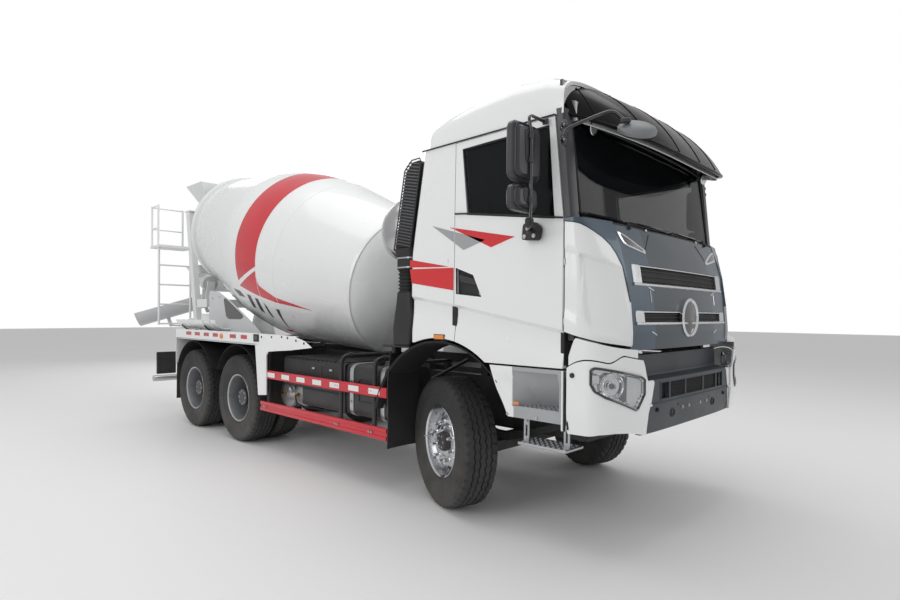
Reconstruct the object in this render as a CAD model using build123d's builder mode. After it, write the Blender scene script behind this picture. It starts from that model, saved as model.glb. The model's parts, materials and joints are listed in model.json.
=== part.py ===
from build123d import *
import math
import os

# Concrete mixer truck, three axles, forward-control cab. Millimetres.
# +X forward, +Y left, +Z up. Origin on the ground under the middle of the overall length.

os.makedirs("parts", exist_ok=True)

# ---------------------------------------------------------------- driving dimensions
front_axle_x = 3059          # front axle, measured from the middle of the overall length
wheelbase = 3640             # front axle to first rear axle
tandem_spacing = 1350        # first rear axle to second rear axle
tyre_radius = 542.5
tyre_width = 300
rim_radius = 286             # bead seat
front_track = 2020           # between the front wheel centres
twin_outer_track = 2160      # between the outer rear wheel centres
twin_spacing = 345           # between the two tyres of a twin wheel
kingpin_y = 880
rest_steer = -20             # degrees the stored front wheels are turned, about +Z
spindle_radius = 45
running_gap = 0.08           # radial, between a shaft and its bore
seat_gap = 0.3               # between a curved piece and its seat

rail_outer_y = 430
rail_flange = 80
rail_web = 8
rail_bottom = 760
rail_height = 280
subframe_height = 120
rail_front = 1400            # ahead of the front axle
rail_rear = -6650
subframe_front = -950

cab_half_width = 1245
cab_wall = 50
cab_rear = -350
cab_bottom = 1252            # door sill
cab_roof_z = 3340
floor_z = 1440
floor_thickness = 60
arch_radius = 875            # wheel arch in the cab sides, about the front axle
door_rear = 195
door_front = 1200
door_top = 2960
door_gap = 7
door_thickness = 60
tilt_pivot_x = 1400          # cab tilt hinge, ahead of the front axle
tilt_pivot_rise = 20         # and above the frame rails
lid_pivot = (1310, 2235)     # front lid hinge

drum_tilt = 14               # degrees, rising rearwards
drum_seam = (-1800, 1930)    # front seam circle centre: ahead of the front axle, height
drum_wall = 10
drum_head_depth = 300
drum_seam_radius = 820
drum_front_length = 1600
drum_front_radius = 1120
drum_barrel_end = 2450
drum_barrel_radius = 1152
ring_station = 4180          # along the drum's axis from the front seam
ring_radius = 917
ring_width = 90
mouth_station = 5000
mouth_radius = 580
roller_radius = 125
roller_width = 120
roller_angle = 33            # degrees from straight below the ring's centre
roller_pin = 30
drum_shaft_radius = 60

guard_y = 1195               # inner face of the side guard rails
guard_depth = 35
guard_front = -661
guard_rear = -3007

chute_axis_x = -7000         # chute swivel
chute_heading = -116.6       # degrees from +X that the stored chute points
chute_slope = -18            # degrees, its outer end down
chute_length = 1150
chute_radius = 230
chute_wall = 8
tilt_hinge_out = 190         # chute tilt hinge, outwards from the swivel axis
tilt_hinge_z = 1640
cylinder_foot_out = 130      # lower pin of the chute cylinder
cylinder_foot_z = 1330
cylinder_eye_along = 640     # upper pin, along the chute from the tilt hinge
cylinder_eye_drop = 60       # and below the hinge line
chute_pin = 14
swivel_pin_radius = 40
swivel_pin_z = (1290, 1560)  # foot and top of the swivel's upright pin

tilt_pin_radius = 20         # cab tilt hinge
leg_y = (500, 560)           # the cab's front legs, either side of the frame

# ---------------------------------------------------------------- derived places
fx = front_axle_x
px = tilt_pivot_x
lx, lz = lid_pivot
swivel_x = fx + chute_axis_x
rear_axles = (fx - wheelbase, fx - wheelbase - tandem_spacing)
trunnion_x = sum(rear_axles) / 2
rail_top = rail_bottom + rail_height
pz = rail_top + tilt_pivot_rise
subframe_top = rail_top + subframe_height
rail_inner_y = rail_outer_y - rail_flange
wheel_z = tyre_radius
arch_back = arch_radius - 25
tilt = math.radians(drum_tilt)
drum_axis = Vector(-math.cos(tilt), 0, math.sin(tilt))
drum_up = Vector(math.sin(tilt), 0, math.cos(tilt))
drum_origin = Vector(fx + drum_seam[0], 0, drum_seam[1])
drum_plane = Plane(origin=drum_origin, x_dir=drum_axis, z_dir=(0, 1, 0))


# ---------------------------------------------------------------- small helpers
def span(side, near, far):
    """Low and high Y of a piece on one side of the truck."""
    return tuple(sorted((side * near, side * far)))


def block(x, y, z, mode=Mode.ADD):
    """A box between two corners; each of x, y and z is (low, high)."""
    middle = ((x[0] + x[1]) / 2, (y[0] + y[1]) / 2, (z[0] + z[1]) / 2)
    with Locations(middle):
        Box(x[1] - x[0], y[1] - y[0], z[1] - z[0], mode=mode)


def face_on(plane, outline):
    """A closed face of straight edges on a plane."""
    with BuildSketch(plane) as profile:
        with BuildLine():
            Polyline(*outline, close=True)
        make_face()
    return profile.sketch


def slab_x(outline, low, high, mode=Mode.ADD):
    """A (y, z) outline, thick along X from low to high."""
    extrude(face_on(Plane.YZ.offset(low), outline), amount=high - low, mode=mode)


def slab_y(outline, low, high, mode=Mode.ADD):
    """An (x, z) outline with x counted from the front axle, thick along Y from low to high."""
    placed = [(fx + x, z) for x, z in outline]
    extrude(face_on(Plane.XZ.offset(-high), placed), amount=high - low, mode=mode)


def slab_z(outline, low, high, mode=Mode.ADD):
    """An (x, y) outline with x counted from the front axle, thick along Z from low to high."""
    placed = [(fx + x, y) for x, y in outline]
    extrude(face_on(Plane.XY.offset(low), placed), amount=high - low, mode=mode)


def bar(start, end, radius, mode=Mode.ADD):
    """A round bar from point to point."""
    run = Vector(*end) - Vector(*start)
    with Locations(Plane(origin=start, z_dir=run)):
        Cylinder(radius, run.length, align=(Align.CENTER, Align.CENTER, Align.MIN), mode=mode)


def beam(start, end, width, depth, mode=Mode.ADD):
    """A square-cut bar in a plane of constant Y; width is along Y."""
    run = Vector(*end) - Vector(*start)
    with Locations(Plane(origin=start, x_dir=(0, 1, 0), z_dir=run)):
        Box(width, depth, run.length, align=(Align.CENTER, Align.CENTER, Align.MIN), mode=mode)


def bent_tube(points, radius, bend):
    """A round tube along straight runs joined by arcs."""
    with BuildLine(mode=Mode.PRIVATE) as path:
        FilletPolyline(*points, radius=bend)
    with BuildSketch(Plane(origin=path.line @ 0, z_dir=path.line % 0)) as section:
        Circle(radius)
    sweep(section.sketch, path.line)


def turned(plane, outline, mode=Mode.ADD):
    """An (along, radius) outline turned about the plane's x direction."""
    revolve(face_on(plane, outline), axis=Axis(plane.origin, plane.x_dir), mode=mode)


def wheel_plane(centre, outward):
    """Local x along the axle, away from the truck, and local y up."""
    direction = Vector(*outward)
    return Plane(origin=centre, x_dir=direction, z_dir=direction.cross(Vector(0, 0, 1)))


# ---------------------------------------------------------------- chassis frame
with BuildPart() as frame_rails:
    # Two channel rails with the mixer's subframe members lying on them.
    for side in (-1, 1):
        channel = [
            (side * rail_outer_y, rail_bottom),
            (side * rail_outer_y, rail_top),
            (side * rail_inner_y, rail_top),
            (side * rail_inner_y, rail_top - rail_web),
            (side * (rail_outer_y - rail_web), rail_top - rail_web),
            (side * (rail_outer_y - rail_web), rail_bottom + rail_web),
            (side * rail_inner_y, rail_bottom + rail_web),
            (side * rail_inner_y, rail_bottom),
        ]
        slab_x(channel, fx + rail_rear, fx + rail_front)
        across = span(side, rail_inner_y, rail_outer_y)
        block((fx + rail_rear, fx + subframe_front), across, (rail_top, subframe_top))
frame_rails.part.label = "frame_rails"
export_step(frame_rails.part, "parts/frame_rails.step")

tandem_middle = -wheelbase - tandem_spacing / 2
crossmember_x = (1340, -1250, -2300, tandem_middle, -6590)   # ahead of the front axle
web_inner_y = rail_outer_y - rail_web
with BuildPart() as crossmembers:
    for x in crossmember_x:
        block((fx + x - 45, fx + x + 45), (-web_inner_y, web_inner_y), (rail_top - 160, rail_top - rail_web))
    # Fixed front hinge brackets and rear rests of the cab.
    for side in (-1, 1):
        block((fx + px - 70, fx + px + 30), span(side, rail_inner_y, rail_outer_y), (rail_top, pz + 40))
        pin_start, pin_end = side * (rail_outer_y - 10), side * (leg_y[1] + 10)
        bar((fx + px, pin_start, pz), (fx + px, pin_end, pz), tilt_pin_radius)
        block((fx - 240, fx - 160), span(side, rail_inner_y, rail_outer_y), (rail_top, floor_z - seat_gap))
    # End member with the upright pin of the chute's swivel.
    block((fx + rail_rear - 50, fx + rail_rear), (-rail_outer_y, rail_outer_y), (rail_top, swivel_pin_z[0]))
    block((swivel_x - 60, fx + rail_rear - 50), (-60, 60), (swivel_pin_z[0] - 60, swivel_pin_z[0]))
    bar((swivel_x, 0, swivel_pin_z[0] - 20), (swivel_x, 0, swivel_pin_z[1]), swivel_pin_radius)
crossmembers.part.label = "crossmembers"
export_step(crossmembers.part, "parts/crossmembers.step")

# ---------------------------------------------------------------- front axle and springs
eye_low, eye_high = wheel_z - 62, wheel_z + 58       # kingpin eye of the axle beam
fork_gap = 4
ear_thickness = 44
kingpin_radius = 25
spring_y = (352, 428)
beam_top = -72.5             # middle of the axle beam, counted from the wheel centre
half_leaf = [(80, beam_top), (400, 17.5), (760, 147.5), (760, rail_bottom - wheel_z)]
half_leaf += [(700, rail_bottom - wheel_z), (700, 187.5), (380, 77.5), (80, -2.5)]
front_leaf = half_leaf + [(-x, z) for x, z in reversed(half_leaf)]
with BuildPart() as front_axle:
    # Dropped beam with its kingpins, and the leaf springs on it.
    half_beam = [(540, -162.5), (640, -72.5), (820, -57.5), (820, 47.5), (700, 37.5), (560, beam_top)]
    beam_outline = half_beam + [(-y, z) for y, z in reversed(half_beam)]
    slab_x([(y, wheel_z + z) for y, z in beam_outline], fx - 45, fx + 45)
    for side in (-1, 1):
        bar((fx, side * kingpin_y, eye_low), (fx, side * kingpin_y, eye_high), 62)
        pin_end = fork_gap + ear_thickness
        pin_foot = (fx, side * kingpin_y, eye_low - pin_end)
        bar(pin_foot, (fx, side * kingpin_y, eye_high + pin_end), kingpin_radius)
        slab_y([(x, wheel_z + z) for x, z in front_leaf], *span(side, *spring_y))
front_axle.part.label = "front_axle"
export_step(front_axle.part, "parts/front_axle.step")

# ---------------------------------------------------------------- rear axles
shaft_z = wheel_z + 77.5
spindle_end = 1120
axle_tube_radius = 75
spring_seat = wheel_z + axle_tube_radius
saddle = rail_bottom - spring_seat
rear_leaf = [(-740, 0), (740, 0), (740, 24), (250, 110), (150, 110), (150, saddle)]
rear_leaf += [(-150, saddle), (-150, 110), (-250, 110), (-740, 24)]
with BuildPart() as rear_axles_and_springs:
    for index, x in enumerate(rear_axles):
        bar((x, -560, wheel_z), (x, 560, wheel_z), axle_tube_radius)
        bar((x, -spindle_end, wheel_z), (x, spindle_end, wheel_z), spindle_radius)
        with Locations((x, 0, wheel_z)):
            Sphere(200)
        rear_nose = x - 230 if index == 0 else x
        bar((rear_nose, 0, shaft_z), (x + 230, 0, shaft_z), 80)
    for side in (-1, 1):
        # The springs lie across both axle tubes and carry the frame at their middle.
        slab_y([(trunnion_x - fx + x, spring_seat + z) for x, z in rear_leaf], *span(side, *spring_y))
rear_axles_and_springs.part.label = "rear_axles"
export_step(rear_axles_and_springs.part, "parts/rear_axles.step")

# ---------------------------------------------------------------- engine, gearbox and shafts
engine_span = (-300, 850)
engine_z = (560, 1380)
gearbox_rear = -1100
with BuildPart() as drivetrain:
    block((fx + engine_span[0], fx + engine_span[1]), (-320, 320), engine_z)
    block((fx + 200, fx + 320), (-web_inner_y, web_inner_y), (870, 950))
    block((fx + gearbox_rear, fx + engine_span[0]), (-220, 220), (540, 1080))
    block((fx - 900, fx - 820), (-web_inner_y, web_inner_y), (860, 920))
    bar((fx + gearbox_rear, 0, shaft_z), (rear_axles[0] + 230, 0, shaft_z), 55)
    bar((rear_axles[0] - 230, 0, shaft_z), (rear_axles[1] + 230, 0, shaft_z), 45)
drivetrain.part.label = "drivetrain"
export_step(drivetrain.part, "parts/drivetrain.step")

# ---------------------------------------------------------------- steering
steer = math.radians(rest_steer)
arm_length = 200
arm_z = (-135, -105)         # steering arm, counted from the wheel centre
tie_rod_half = 18            # half the thickness of the tie rod and its ends
tie_pin_radius = 14
for side, hand in ((1, "left"), (-1, "right")):
    forward = (math.cos(steer), math.sin(steer), 0)
    pin_plane = Plane(origin=(fx, side * kingpin_y, wheel_z), x_dir=forward, z_dir=(0, 0, 1))
    with BuildPart(pin_plane) as knuckle:
        for low in (-62 - fork_gap - ear_thickness, 58 + fork_gap):
            with Locations((0, 0, low)):
                Cylinder(64, ear_thickness, align=(Align.CENTER, Align.CENTER, Align.MIN))
            block((-60, 60), span(side, 40, 100), (low, low + ear_thickness))
        block((-60, 60), span(side, 70, 100), (-110, 106))
        with Locations(Plane(origin=(0, side * 106, 0), z_dir=(0, side, 0))):
            Cylinder(190, 12)
        with Locations(Plane(origin=(0, side * 100, 0), z_dir=(0, side, 0))):
            Cylinder(spindle_radius, 120, align=(Align.CENTER, Align.CENTER, Align.MIN))
        block((-arm_length - 25, -20), (-22, 22), arm_z)
        with Locations((-arm_length, 0, arm_z[1])):
            Cylinder(tie_pin_radius, 45, align=(Align.CENTER, Align.CENTER, Align.MIN))
        with Locations((0, 0, 0)):
            Cylinder(kingpin_radius + running_gap, 240, mode=Mode.SUBTRACT)
    knuckle.part.label = f"{hand}_knuckle"
    export_step(knuckle.part, f"parts/{hand}_knuckle.step")

arm_x = fx - arm_length * math.cos(steer)
arm_dy = -arm_length * math.sin(steer)
tie_z = wheel_z + arm_z[1] + 4 + tie_rod_half
with BuildPart() as tie_rod:
    bar((arm_x, -kingpin_y + arm_dy, tie_z), (arm_x, kingpin_y + arm_dy, tie_z), tie_rod_half - 2)
    for side in (-1, 1):
        with Locations((arm_x, side * kingpin_y + arm_dy, tie_z)):
            Cylinder(34, 2 * tie_rod_half)
            Cylinder(tie_pin_radius + running_gap, 60, mode=Mode.SUBTRACT)
tie_rod.part.label = "tie_rod"
export_step(tie_rod.part, "parts/tie_rod.step")

# ---------------------------------------------------------------- wheels
bore = spindle_radius + running_gap
hub_radius = 115
hub_seat = hub_radius + seat_gap
half_tyre = tyre_width / 2
bead_radius = rim_radius + seat_gap
bead_half = 115 - seat_gap   # between the rim's flanges
flange_radius = rim_radius + 12.5


def sidewall(share):
    """A radius between the rim's flange and the tread."""
    return flange_radius + share * (tyre_radius - flange_radius)


half_outside = [(112, tyre_radius), (128, sidewall(0.96)), (146, sidewall(0.805))]
half_outside += [(half_tyre, sidewall(0.52))]
half_outside += [(142, sidewall(0.19)), (bead_half, sidewall(0.015)), (bead_half, bead_radius)]
half_inside = [(92, bead_radius), (92, sidewall(0.03)), (116, sidewall(0.21)), (125, sidewall(0.52))]
half_inside += [(118, sidewall(0.785)), (100, sidewall(0.875))]
half_section = half_outside + half_inside
tyre_outline = half_section + [(-a, r) for a, r in reversed(half_section)]
barrel_outline = [(-125, 268), (125, 268), (125, flange_radius), (115, flange_radius), (115, rim_radius)]
barrel_outline += [(-115, rim_radius), (-115, flange_radius), (-125, flange_radius)]

# hand, side, whether the twin rear wheels, centre x, name
wheel_table = [
    (1, False, fx, "front_left"),
    (-1, False, fx, "front_right"),
    (1, True, rear_axles[0], "middle_left"),
    (-1, True, rear_axles[0], "middle_right"),
    (1, True, rear_axles[1], "rear_left"),
    (-1, True, rear_axles[1], "rear_right"),
]
front_wheel_out = front_track / 2 - kingpin_y
twin_middle = (twin_outer_track - twin_spacing) / 2
for side, twin, x, name in wheel_table:
    if twin:
        plane = wheel_plane((x, side * twin_middle, wheel_z), (0, side, 0))
        offsets = (-twin_spacing / 2, twin_spacing / 2)
    else:
        out = (-math.sin(steer) * side, math.cos(steer) * side, 0)
        centre = (x + front_wheel_out * out[0], side * kingpin_y + front_wheel_out * out[1], wheel_z)
        plane = wheel_plane(centre, out)
        offsets = (0,)
    with BuildPart() as tyre:
        for offset_along in offsets:
            turned(plane, [(a + offset_along, r) for a, r in tyre_outline])
    tyre.part.label = f"{name}_tyre"
    export_step(tyre.part, f"parts/{name}_tyre.step")
    with BuildPart() as rim:
        for offset_along in offsets:
            turned(plane, [(a + offset_along, r) for a, r in barrel_outline])
        if twin:
            # Two dished discs back to back on the hub, with the brake drum inboard.
            for way in (-1, 1):
                disc = [(0.15, hub_seat), (12, hub_seat), (12, 190), (70, 272), (48, 272), (0.15, 205)]
                turned(plane, [(way * a, r) for a, r in disc])
            turned(plane, [(-340, bore), (220, bore), (220, 0), (245, 0), (245, 95), (60, hub_radius),
                           (-340, hub_radius)])
            turned(plane, [(-290, 110), (-60, 110), (-60, 205), (-290, 205), (-290, 190), (-80, 190),
                           (-80, hub_radius), (-290, hub_radius)])
        else:
            turned(plane, [(58, hub_seat), (74, hub_seat), (74, 190), (40, 272), (18, 272), (58, 180)])
            turned(plane, [(-14, bore), (95, bore), (95, 0), (118, 0), (118, 70), (80, hub_radius),
                           (-14, hub_radius)])
    rim.part.label = f"{name}_rim"
    export_step(rim.part, f"parts/{name}_rim.step")

# ---------------------------------------------------------------- bumper
bumper_front = 1600
bumper_bottom = 795
bumper_ledge = 1170
bumper_half = 800
lid_half = cab_half_width - 345   # half width of the front lid above the bumper
lid_hinge_y = lid_half - 200
tow_socket_y = 390
tow_socket_z = 910
tow_socket_radius = 22
with BuildPart() as bumper:
    slab_y([(1540, bumper_bottom), (1585, bumper_bottom), (bumper_front, 960), (bumper_front, 1120),
            (1560, bumper_ledge), (1440, bumper_ledge), (1440, 1110), (1540, 1110)],
           -bumper_half, bumper_half)
    block((fx + 1440, fx + 1480), (-bumper_half, bumper_half), (bumper_ledge - 5, 1340))
    for side in (-1, 1):
        block((fx + rail_front, fx + 1545), span(side, rail_inner_y, rail_outer_y), (820, 1000))
        socket_mouth = (fx + bumper_front + 10, side * tow_socket_y, tow_socket_z)
        bar(socket_mouth, (fx + rail_front - 10, side * tow_socket_y, tow_socket_z), tow_socket_radius,
            mode=Mode.SUBTRACT)
bumper.part.label = "bumper"
export_step(bumper.part, "parts/bumper.step")

corner_z = (bumper_bottom, 1360)
panel_bottom = 1400          # lower edge of the cab's corner panels
# Radii about the cab's tilt hinge that the doors and the corner panels sweep, less a clearance.
door_sweep = math.hypot(px - door_front, cab_bottom - pz) - 15
panel_sweep = panel_bottom - pz - 12
with BuildPart() as bumper_corners:
    for side in (-1, 1):
        outer = [(1600, 800), (1600, 880), (1560, 1060), (1460, 1210), (1400, 1240), (1240, 1250)]
        inner = [(1240, 1190), (1390, 1180), (1420, 1160), (1500, 1040), (1540, 870), (1540, 800)]
        slab_z([(x, side * y) for x, y in outer + inner], *corner_z)
        block((fx + 1400, fx + 1650), span(side, 795, lid_half), (1240, 1400), mode=Mode.SUBTRACT)
        for near, sweep_radius in ((795, panel_sweep), (cab_half_width - door_thickness - 7, door_sweep)):
            low, high = span(side, near, 1260)
            with BuildSketch(Plane.XZ.offset(-high)) as swept:
                with Locations((fx + px, pz + 300)):
                    Rectangle(600, 600)
                with Locations((fx + px, pz)):
                    Circle(sweep_radius, mode=Mode.SUBTRACT)
            extrude(swept.sketch, amount=high - low, mode=Mode.SUBTRACT)
bumper_corners.part.label = "bumper_corners"
export_step(bumper_corners.part, "parts/bumper_corners.step")

# ---------------------------------------------------------------- entry steps
with BuildPart() as entry_steps:
    for side in (-1, 1):
        fairing = [(545, 1240), (700, 875), (1232, 875), (1232, 1240)]
        slab_y(fairing, *span(side, 1180, 1240))
        block((fx + 700, fx + 1232), span(side, 950, 1185), (875, 960))
        block((fx + 860, fx + 960), span(side, rail_outer_y, 960), (885, 955))
        for strap in (850, 1190):
            block((fx + strap - 25, fx + strap + 25), span(side, 1150, 1175), (690, 880))
        block((fx + 820, fx + 1230), span(side, 1000, 1230), (680, 705))
entry_steps.part.label = "entry_steps"
export_step(entry_steps.part, "parts/entry_steps.step")

# ---------------------------------------------------------------- mudguards
liner_thickness = 8
liner_front = 430            # where the entry step takes over from the liner
flap_x = -637
rear_guard = (-wheelbase - tandem_spacing - 610, 590 - wheelbase)
rear_guard_z = (1235, 1370)
skirt_bottom = 640
with BuildPart() as front_mudguards:
    for side in (-1, 1):
        # An arc over the tyre that turns down into the rear flap.
        low, high = span(side, 860, 1238)
        with BuildSketch(Plane.XZ.offset(-high)) as liner:
            with Locations((fx, wheel_z)):
                Circle(arch_back)
                Circle(arch_back - liner_thickness, mode=Mode.SUBTRACT)
            with Locations((fx, wheel_z - 480)):
                Rectangle(3000, 2000, mode=Mode.SUBTRACT)
            with Locations((fx + liner_front + 1000, wheel_z)):
                Rectangle(2000, 2000, mode=Mode.SUBTRACT)
        extrude(liner.sketch, amount=high - low)
        flap_top = wheel_z + math.sqrt(arch_back ** 2 - flap_x ** 2) - 2
        block((fx + flap_x - liner_thickness, fx + flap_x), (low, high), (400, flap_top))
        stay = (fx + flap_x - 60, fx + flap_x - liner_thickness)
        block(stay, span(side, rail_outer_y, 1000), (1000, 1040))
front_mudguards.part.label = "front_mudguards"
export_step(front_mudguards.part, "parts/front_mudguards.step")

guard_edge = 1245            # outer face of the rear mudguards
with BuildPart() as rear_mudguards:
    # Deck over the twin wheels with its edge strip, front skirt and rear drop.
    x_low, x_high = fx + rear_guard[0], fx + rear_guard[1]
    for side in (-1, 1):
        block((x_low, x_high), span(side, 600, guard_edge), (rear_guard_z[0], rear_guard_z[0] + 12))
        edge = span(side, guard_edge - 12, guard_edge)
        block((x_low, x_high), edge, rear_guard_z)
        block((x_high - 10, x_high + 350), edge, (skirt_bottom, rear_guard_z[1] - 60))
        block((x_low, x_low + 12), span(side, 640, guard_edge), (550, rear_guard_z[0] + 5))
        for x in (x_high - 150, fx + tandem_middle, x_low + 100):
            across = span(side, rail_outer_y, 620)
            block((x - 40, x + 40), across, (subframe_top - 60, rear_guard_z[0] + 12))
rear_mudguards.part.label = "rear_mudguards"
export_step(rear_mudguards.part, "parts/rear_mudguards.step")

# ---------------------------------------------------------------- tanks, boxes, side guards
with BuildPart() as tanks_and_boxes:
    block((fx - 1410, fx - 700), (-1150, -640), (600, 1120))
    fillet(tanks_and_boxes.edges().filter_by(Axis.X), 90)
    for x in (-1300, -820):
        block((fx + x - 30, fx + x + 30), (-700, -rail_outer_y), (800, 900))
    # Battery and tool box on the right, exhaust box on the left.
    block((fx - 2690, fx - 1480), (-1100, -rail_outer_y), (780, 1120))
    block((fx - 2300, fx - 1480), (-1100, -560), (600, 790))
    block((fx - 1500, fx - 700), (rail_outer_y, 1120), (600, 1110))
tanks_and_boxes.part.label = "tanks_and_boxes"
export_step(tanks_and_boxes.part, "parts/tanks_and_boxes.step")

guard_rails_z = ((850, 945), (466, 577))
guard_post_x = (-2900, -1440, -900)
with BuildPart() as side_guards:
    for side in (-1, 1):
        for z in guard_rails_z:
            block((fx + guard_rear, fx + guard_front), span(side, guard_y, guard_y + guard_depth), z)
        for x in guard_post_x:
            post_y = side * (guard_y - 22)
            route = [(fx + x, post_y, 460), (fx + x, post_y, 1190), (fx + x, side * rail_outer_y, 1190)]
            bent_tube(route, 22, 90)
            block((fx + x - 30, fx + x + 30), span(side, guard_y - 24, guard_y + 2), (470, 570))
            block((fx + x - 30, fx + x + 30), span(side, guard_y - 24, guard_y + 2), (860, 940))
            block((fx + x - 30, fx + x + 30), span(side, rail_outer_y, rail_outer_y + 30), (1130, 1215))
side_guards.part.label = "side_guards"
export_step(side_guards.part, "parts/side_guards.step")

# ---------------------------------------------------------------- rear underrun bar and lamps
underrun_x = -7000
underrun_z = 500
hitch_z = 860
hitch_radius = 20
hitch_length = 100
with BuildPart() as rear_bumper:
    bar((fx + underrun_x, -1100, underrun_z), (fx + underrun_x, 1100, underrun_z), 50)
    for side in (-1, 1):
        beam((fx + rail_rear - 45, side * 390, 900), (fx + underrun_x + 10, side * 390, underrun_z), 76, 90)
        block((fx + rail_rear - 100, fx + rail_rear), span(side, rail_inner_y, rail_outer_y), (780, 1020))
        block((fx + rail_rear - 60, fx + rail_rear - 30), span(side, 400, 1150), (820, 960))
        block((fx + rail_rear - 60, fx + rail_rear - 30), span(side, 850, 1150), (600, 830))
    block((fx + rail_rear - 60, fx + rail_rear), (-360, 360), (800, 920))
    # Tow jaw: two plates with one upright pin hole.
    for low in (hitch_z - hitch_length / 2, hitch_z + hitch_length / 2 - 20):
        block((fx + rail_rear - 200, fx + rail_rear - 50), (-60, 60), (low, low + 20))
    bar((fx + rail_rear - 150, 0, hitch_z - 80), (fx + rail_rear - 150, 0, hitch_z + 80), hitch_radius,
        mode=Mode.SUBTRACT)
rear_bumper.part.label = "rear_bumper"
export_step(rear_bumper.part, "parts/rear_bumper.step")

# ---------------------------------------------------------------- mixer pedestals
reducer_face = -drum_head_depth - 70
reducer_back = reducer_face - 320
with BuildPart() as front_pedestal:
    legs = [(-1560, subframe_top), (-1060, subframe_top), (-1120, 1700), (-1380, 1700)]
    for side in (-1, 1):
        slab_y(legs, *span(side, rail_inner_y + 10, rail_inner_y + 34))
    block((fx - 1380, fx - 1120), (-384, 384), (1560, 1645))
    turned(drum_plane, [(reducer_back, 0), (reducer_face, 0), (reducer_face, 190), (reducer_back, 150)])
    shaft_bore = drum_shaft_radius + running_gap
    turned(drum_plane, [(reducer_face - 120, 0), (reducer_face + 10, 0), (reducer_face + 10, shaft_bore),
                        (reducer_face - 120, shaft_bore)], mode=Mode.SUBTRACT)
    # Two posts carry the water tank.
    for side in (-1, 1):
        post_y = span(side, rail_inner_y + 10, rail_inner_y + 60)
        block((fx - 1160, fx - 1090), post_y, (subframe_top + 30, 1980))
        block((fx - 1170, fx - 640), post_y, (1980, 2060))
front_pedestal.part.label = "front_pedestal"
export_step(front_pedestal.part, "parts/front_pedestal.step")

water_tank_centre = (-905, 2420)
water_tank_radius = 280
with BuildPart() as water_tank:
    tank_plane = wheel_plane((fx + water_tank_centre[0], 0, water_tank_centre[1]), (0, -1, 0))
    turned(tank_plane, [(-1000, 0), (-985, 120), (-930, 230), (-880, water_tank_radius),
                        (880, water_tank_radius), (930, 230), (985, 120), (1000, 0)])
    for side in (-1, 1):
        block((fx - 1170, fx - 640), span(side, rail_inner_y + 10, rail_inner_y + 60), (2060, 2240))
water_tank.part.label = "water_tank"
export_step(water_tank.part, "parts/water_tank.step")


def on_drum(station, radius, angle):
    """A point about the drum's axis; angle is from straight below, towards +Y."""
    turn = math.radians(angle)
    across = Vector(0, 1, 0) * (radius * math.sin(turn))
    return drum_origin + drum_axis * station - drum_up * (radius * math.cos(turn)) + across


roller_reach = ring_radius + seat_gap + roller_radius
with BuildPart() as rear_pedestal:
    side_plate = [(-6620, subframe_top), (-5650, subframe_top), (-5950, 1760), (-6330, 1760)]
    for side in (-1, 1):
        slab_y(side_plate, *span(side, rail_inner_y + 30, rail_inner_y + 60))
        # Leaning post that carries the hopper.
        beam((fx - 6480, side * 560, 1240), (fx - 6870, side * 560, 3330), 90, 130)
        block((fx - 6600, fx - 6400), span(side, rail_inner_y + 55, 600), (subframe_top, 1300))
        # Roller bracket: two plates and a pin.
        roller_plane = Plane(origin=on_drum(ring_station, roller_reach, side * roller_angle),
                             x_dir=(0, -1, 0), z_dir=drum_axis)
        for near, far in ((70, 90), (-90, -70)):
            with Locations(roller_plane.offset((near + far) / 2)):
                with Locations((0, -150, 0)):
                    Box(120, 380, 20)
        with Locations(roller_plane):
            Cylinder(roller_pin, 180)
    block((fx - 6330, fx - 5950), (-650, 650), (1700, 1830))
rear_pedestal.part.label = "rear_pedestal"
export_step(rear_pedestal.part, "parts/rear_pedestal.step")

for side, hand in ((1, "left"), (-1, "right")):
    roller_plane = Plane(origin=on_drum(ring_station, roller_reach, side * roller_angle),
                         x_dir=drum_axis, z_dir=(0, 1, 0))
    half = roller_width / 2
    with BuildPart() as roller:
        turned(roller_plane, [(-half, roller_pin + running_gap), (half, roller_pin + running_gap),
                              (half, roller_radius - 6), (half - 6, roller_radius),
                              (6 - half, roller_radius), (-half, roller_radius - 6)])
    roller.part.label = f"{hand}_roller"
    export_step(roller.part, f"parts/{hand}_roller.step")

# ---------------------------------------------------------------- drum
barrel_start = drum_front_length
rear_radius = 872            # shell radius under the track ring


def shell_strip(points):
    """Outer (station, radius) points closed by the same line one wall thickness inwards."""
    return points + [(station, radius - drum_wall) for station, radius in reversed(points)]


drive_flange_radius = 150
flange_face = reducer_face + 10
shaft_end = flange_face - 110
with BuildPart() as drum_front:
    # Dished head with its drive flange and shaft, and the front cone.
    depth = drum_head_depth
    seam = drum_seam_radius
    dish_radius = (seam ** 2 + depth ** 2) / (2 * depth)
    dish_centre = dish_radius - depth

    def on_dish(radius, inset=0):
        """Station of the dished head at a distance from the drum's axis."""
        return dish_centre - math.sqrt((dish_radius - inset) ** 2 - radius ** 2)

    flange_root = on_dish(drive_flange_radius)
    inner_edge = seam - drum_wall
    edge_station = on_dish(inner_edge, drum_wall)
    inner_flat = drive_flange_radius / 2
    flat_station = on_dish(inner_flat, drum_wall)
    with BuildSketch(drum_plane) as head:
        with BuildLine():
            Polyline((flat_station, inner_flat), (flat_station, 0), (shaft_end, 0),
                     (shaft_end, drum_shaft_radius), (flange_face, drum_shaft_radius),
                     (flange_face, drive_flange_radius), (flange_root, drive_flange_radius))
            ThreePointArc((flange_root, drive_flange_radius), (on_dish(seam / 2), seam / 2), (0, seam))
            Polyline((0, seam), (drum_front_length, drum_front_radius),
                     (drum_front_length, drum_front_radius - drum_wall), (edge_station, inner_edge))
            ThreePointArc((edge_station, inner_edge), (on_dish(seam / 2, drum_wall), seam / 2),
                          (flat_station, inner_flat))
        make_face()
    revolve(head.sketch, axis=Axis(drum_origin, drum_axis))
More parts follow.
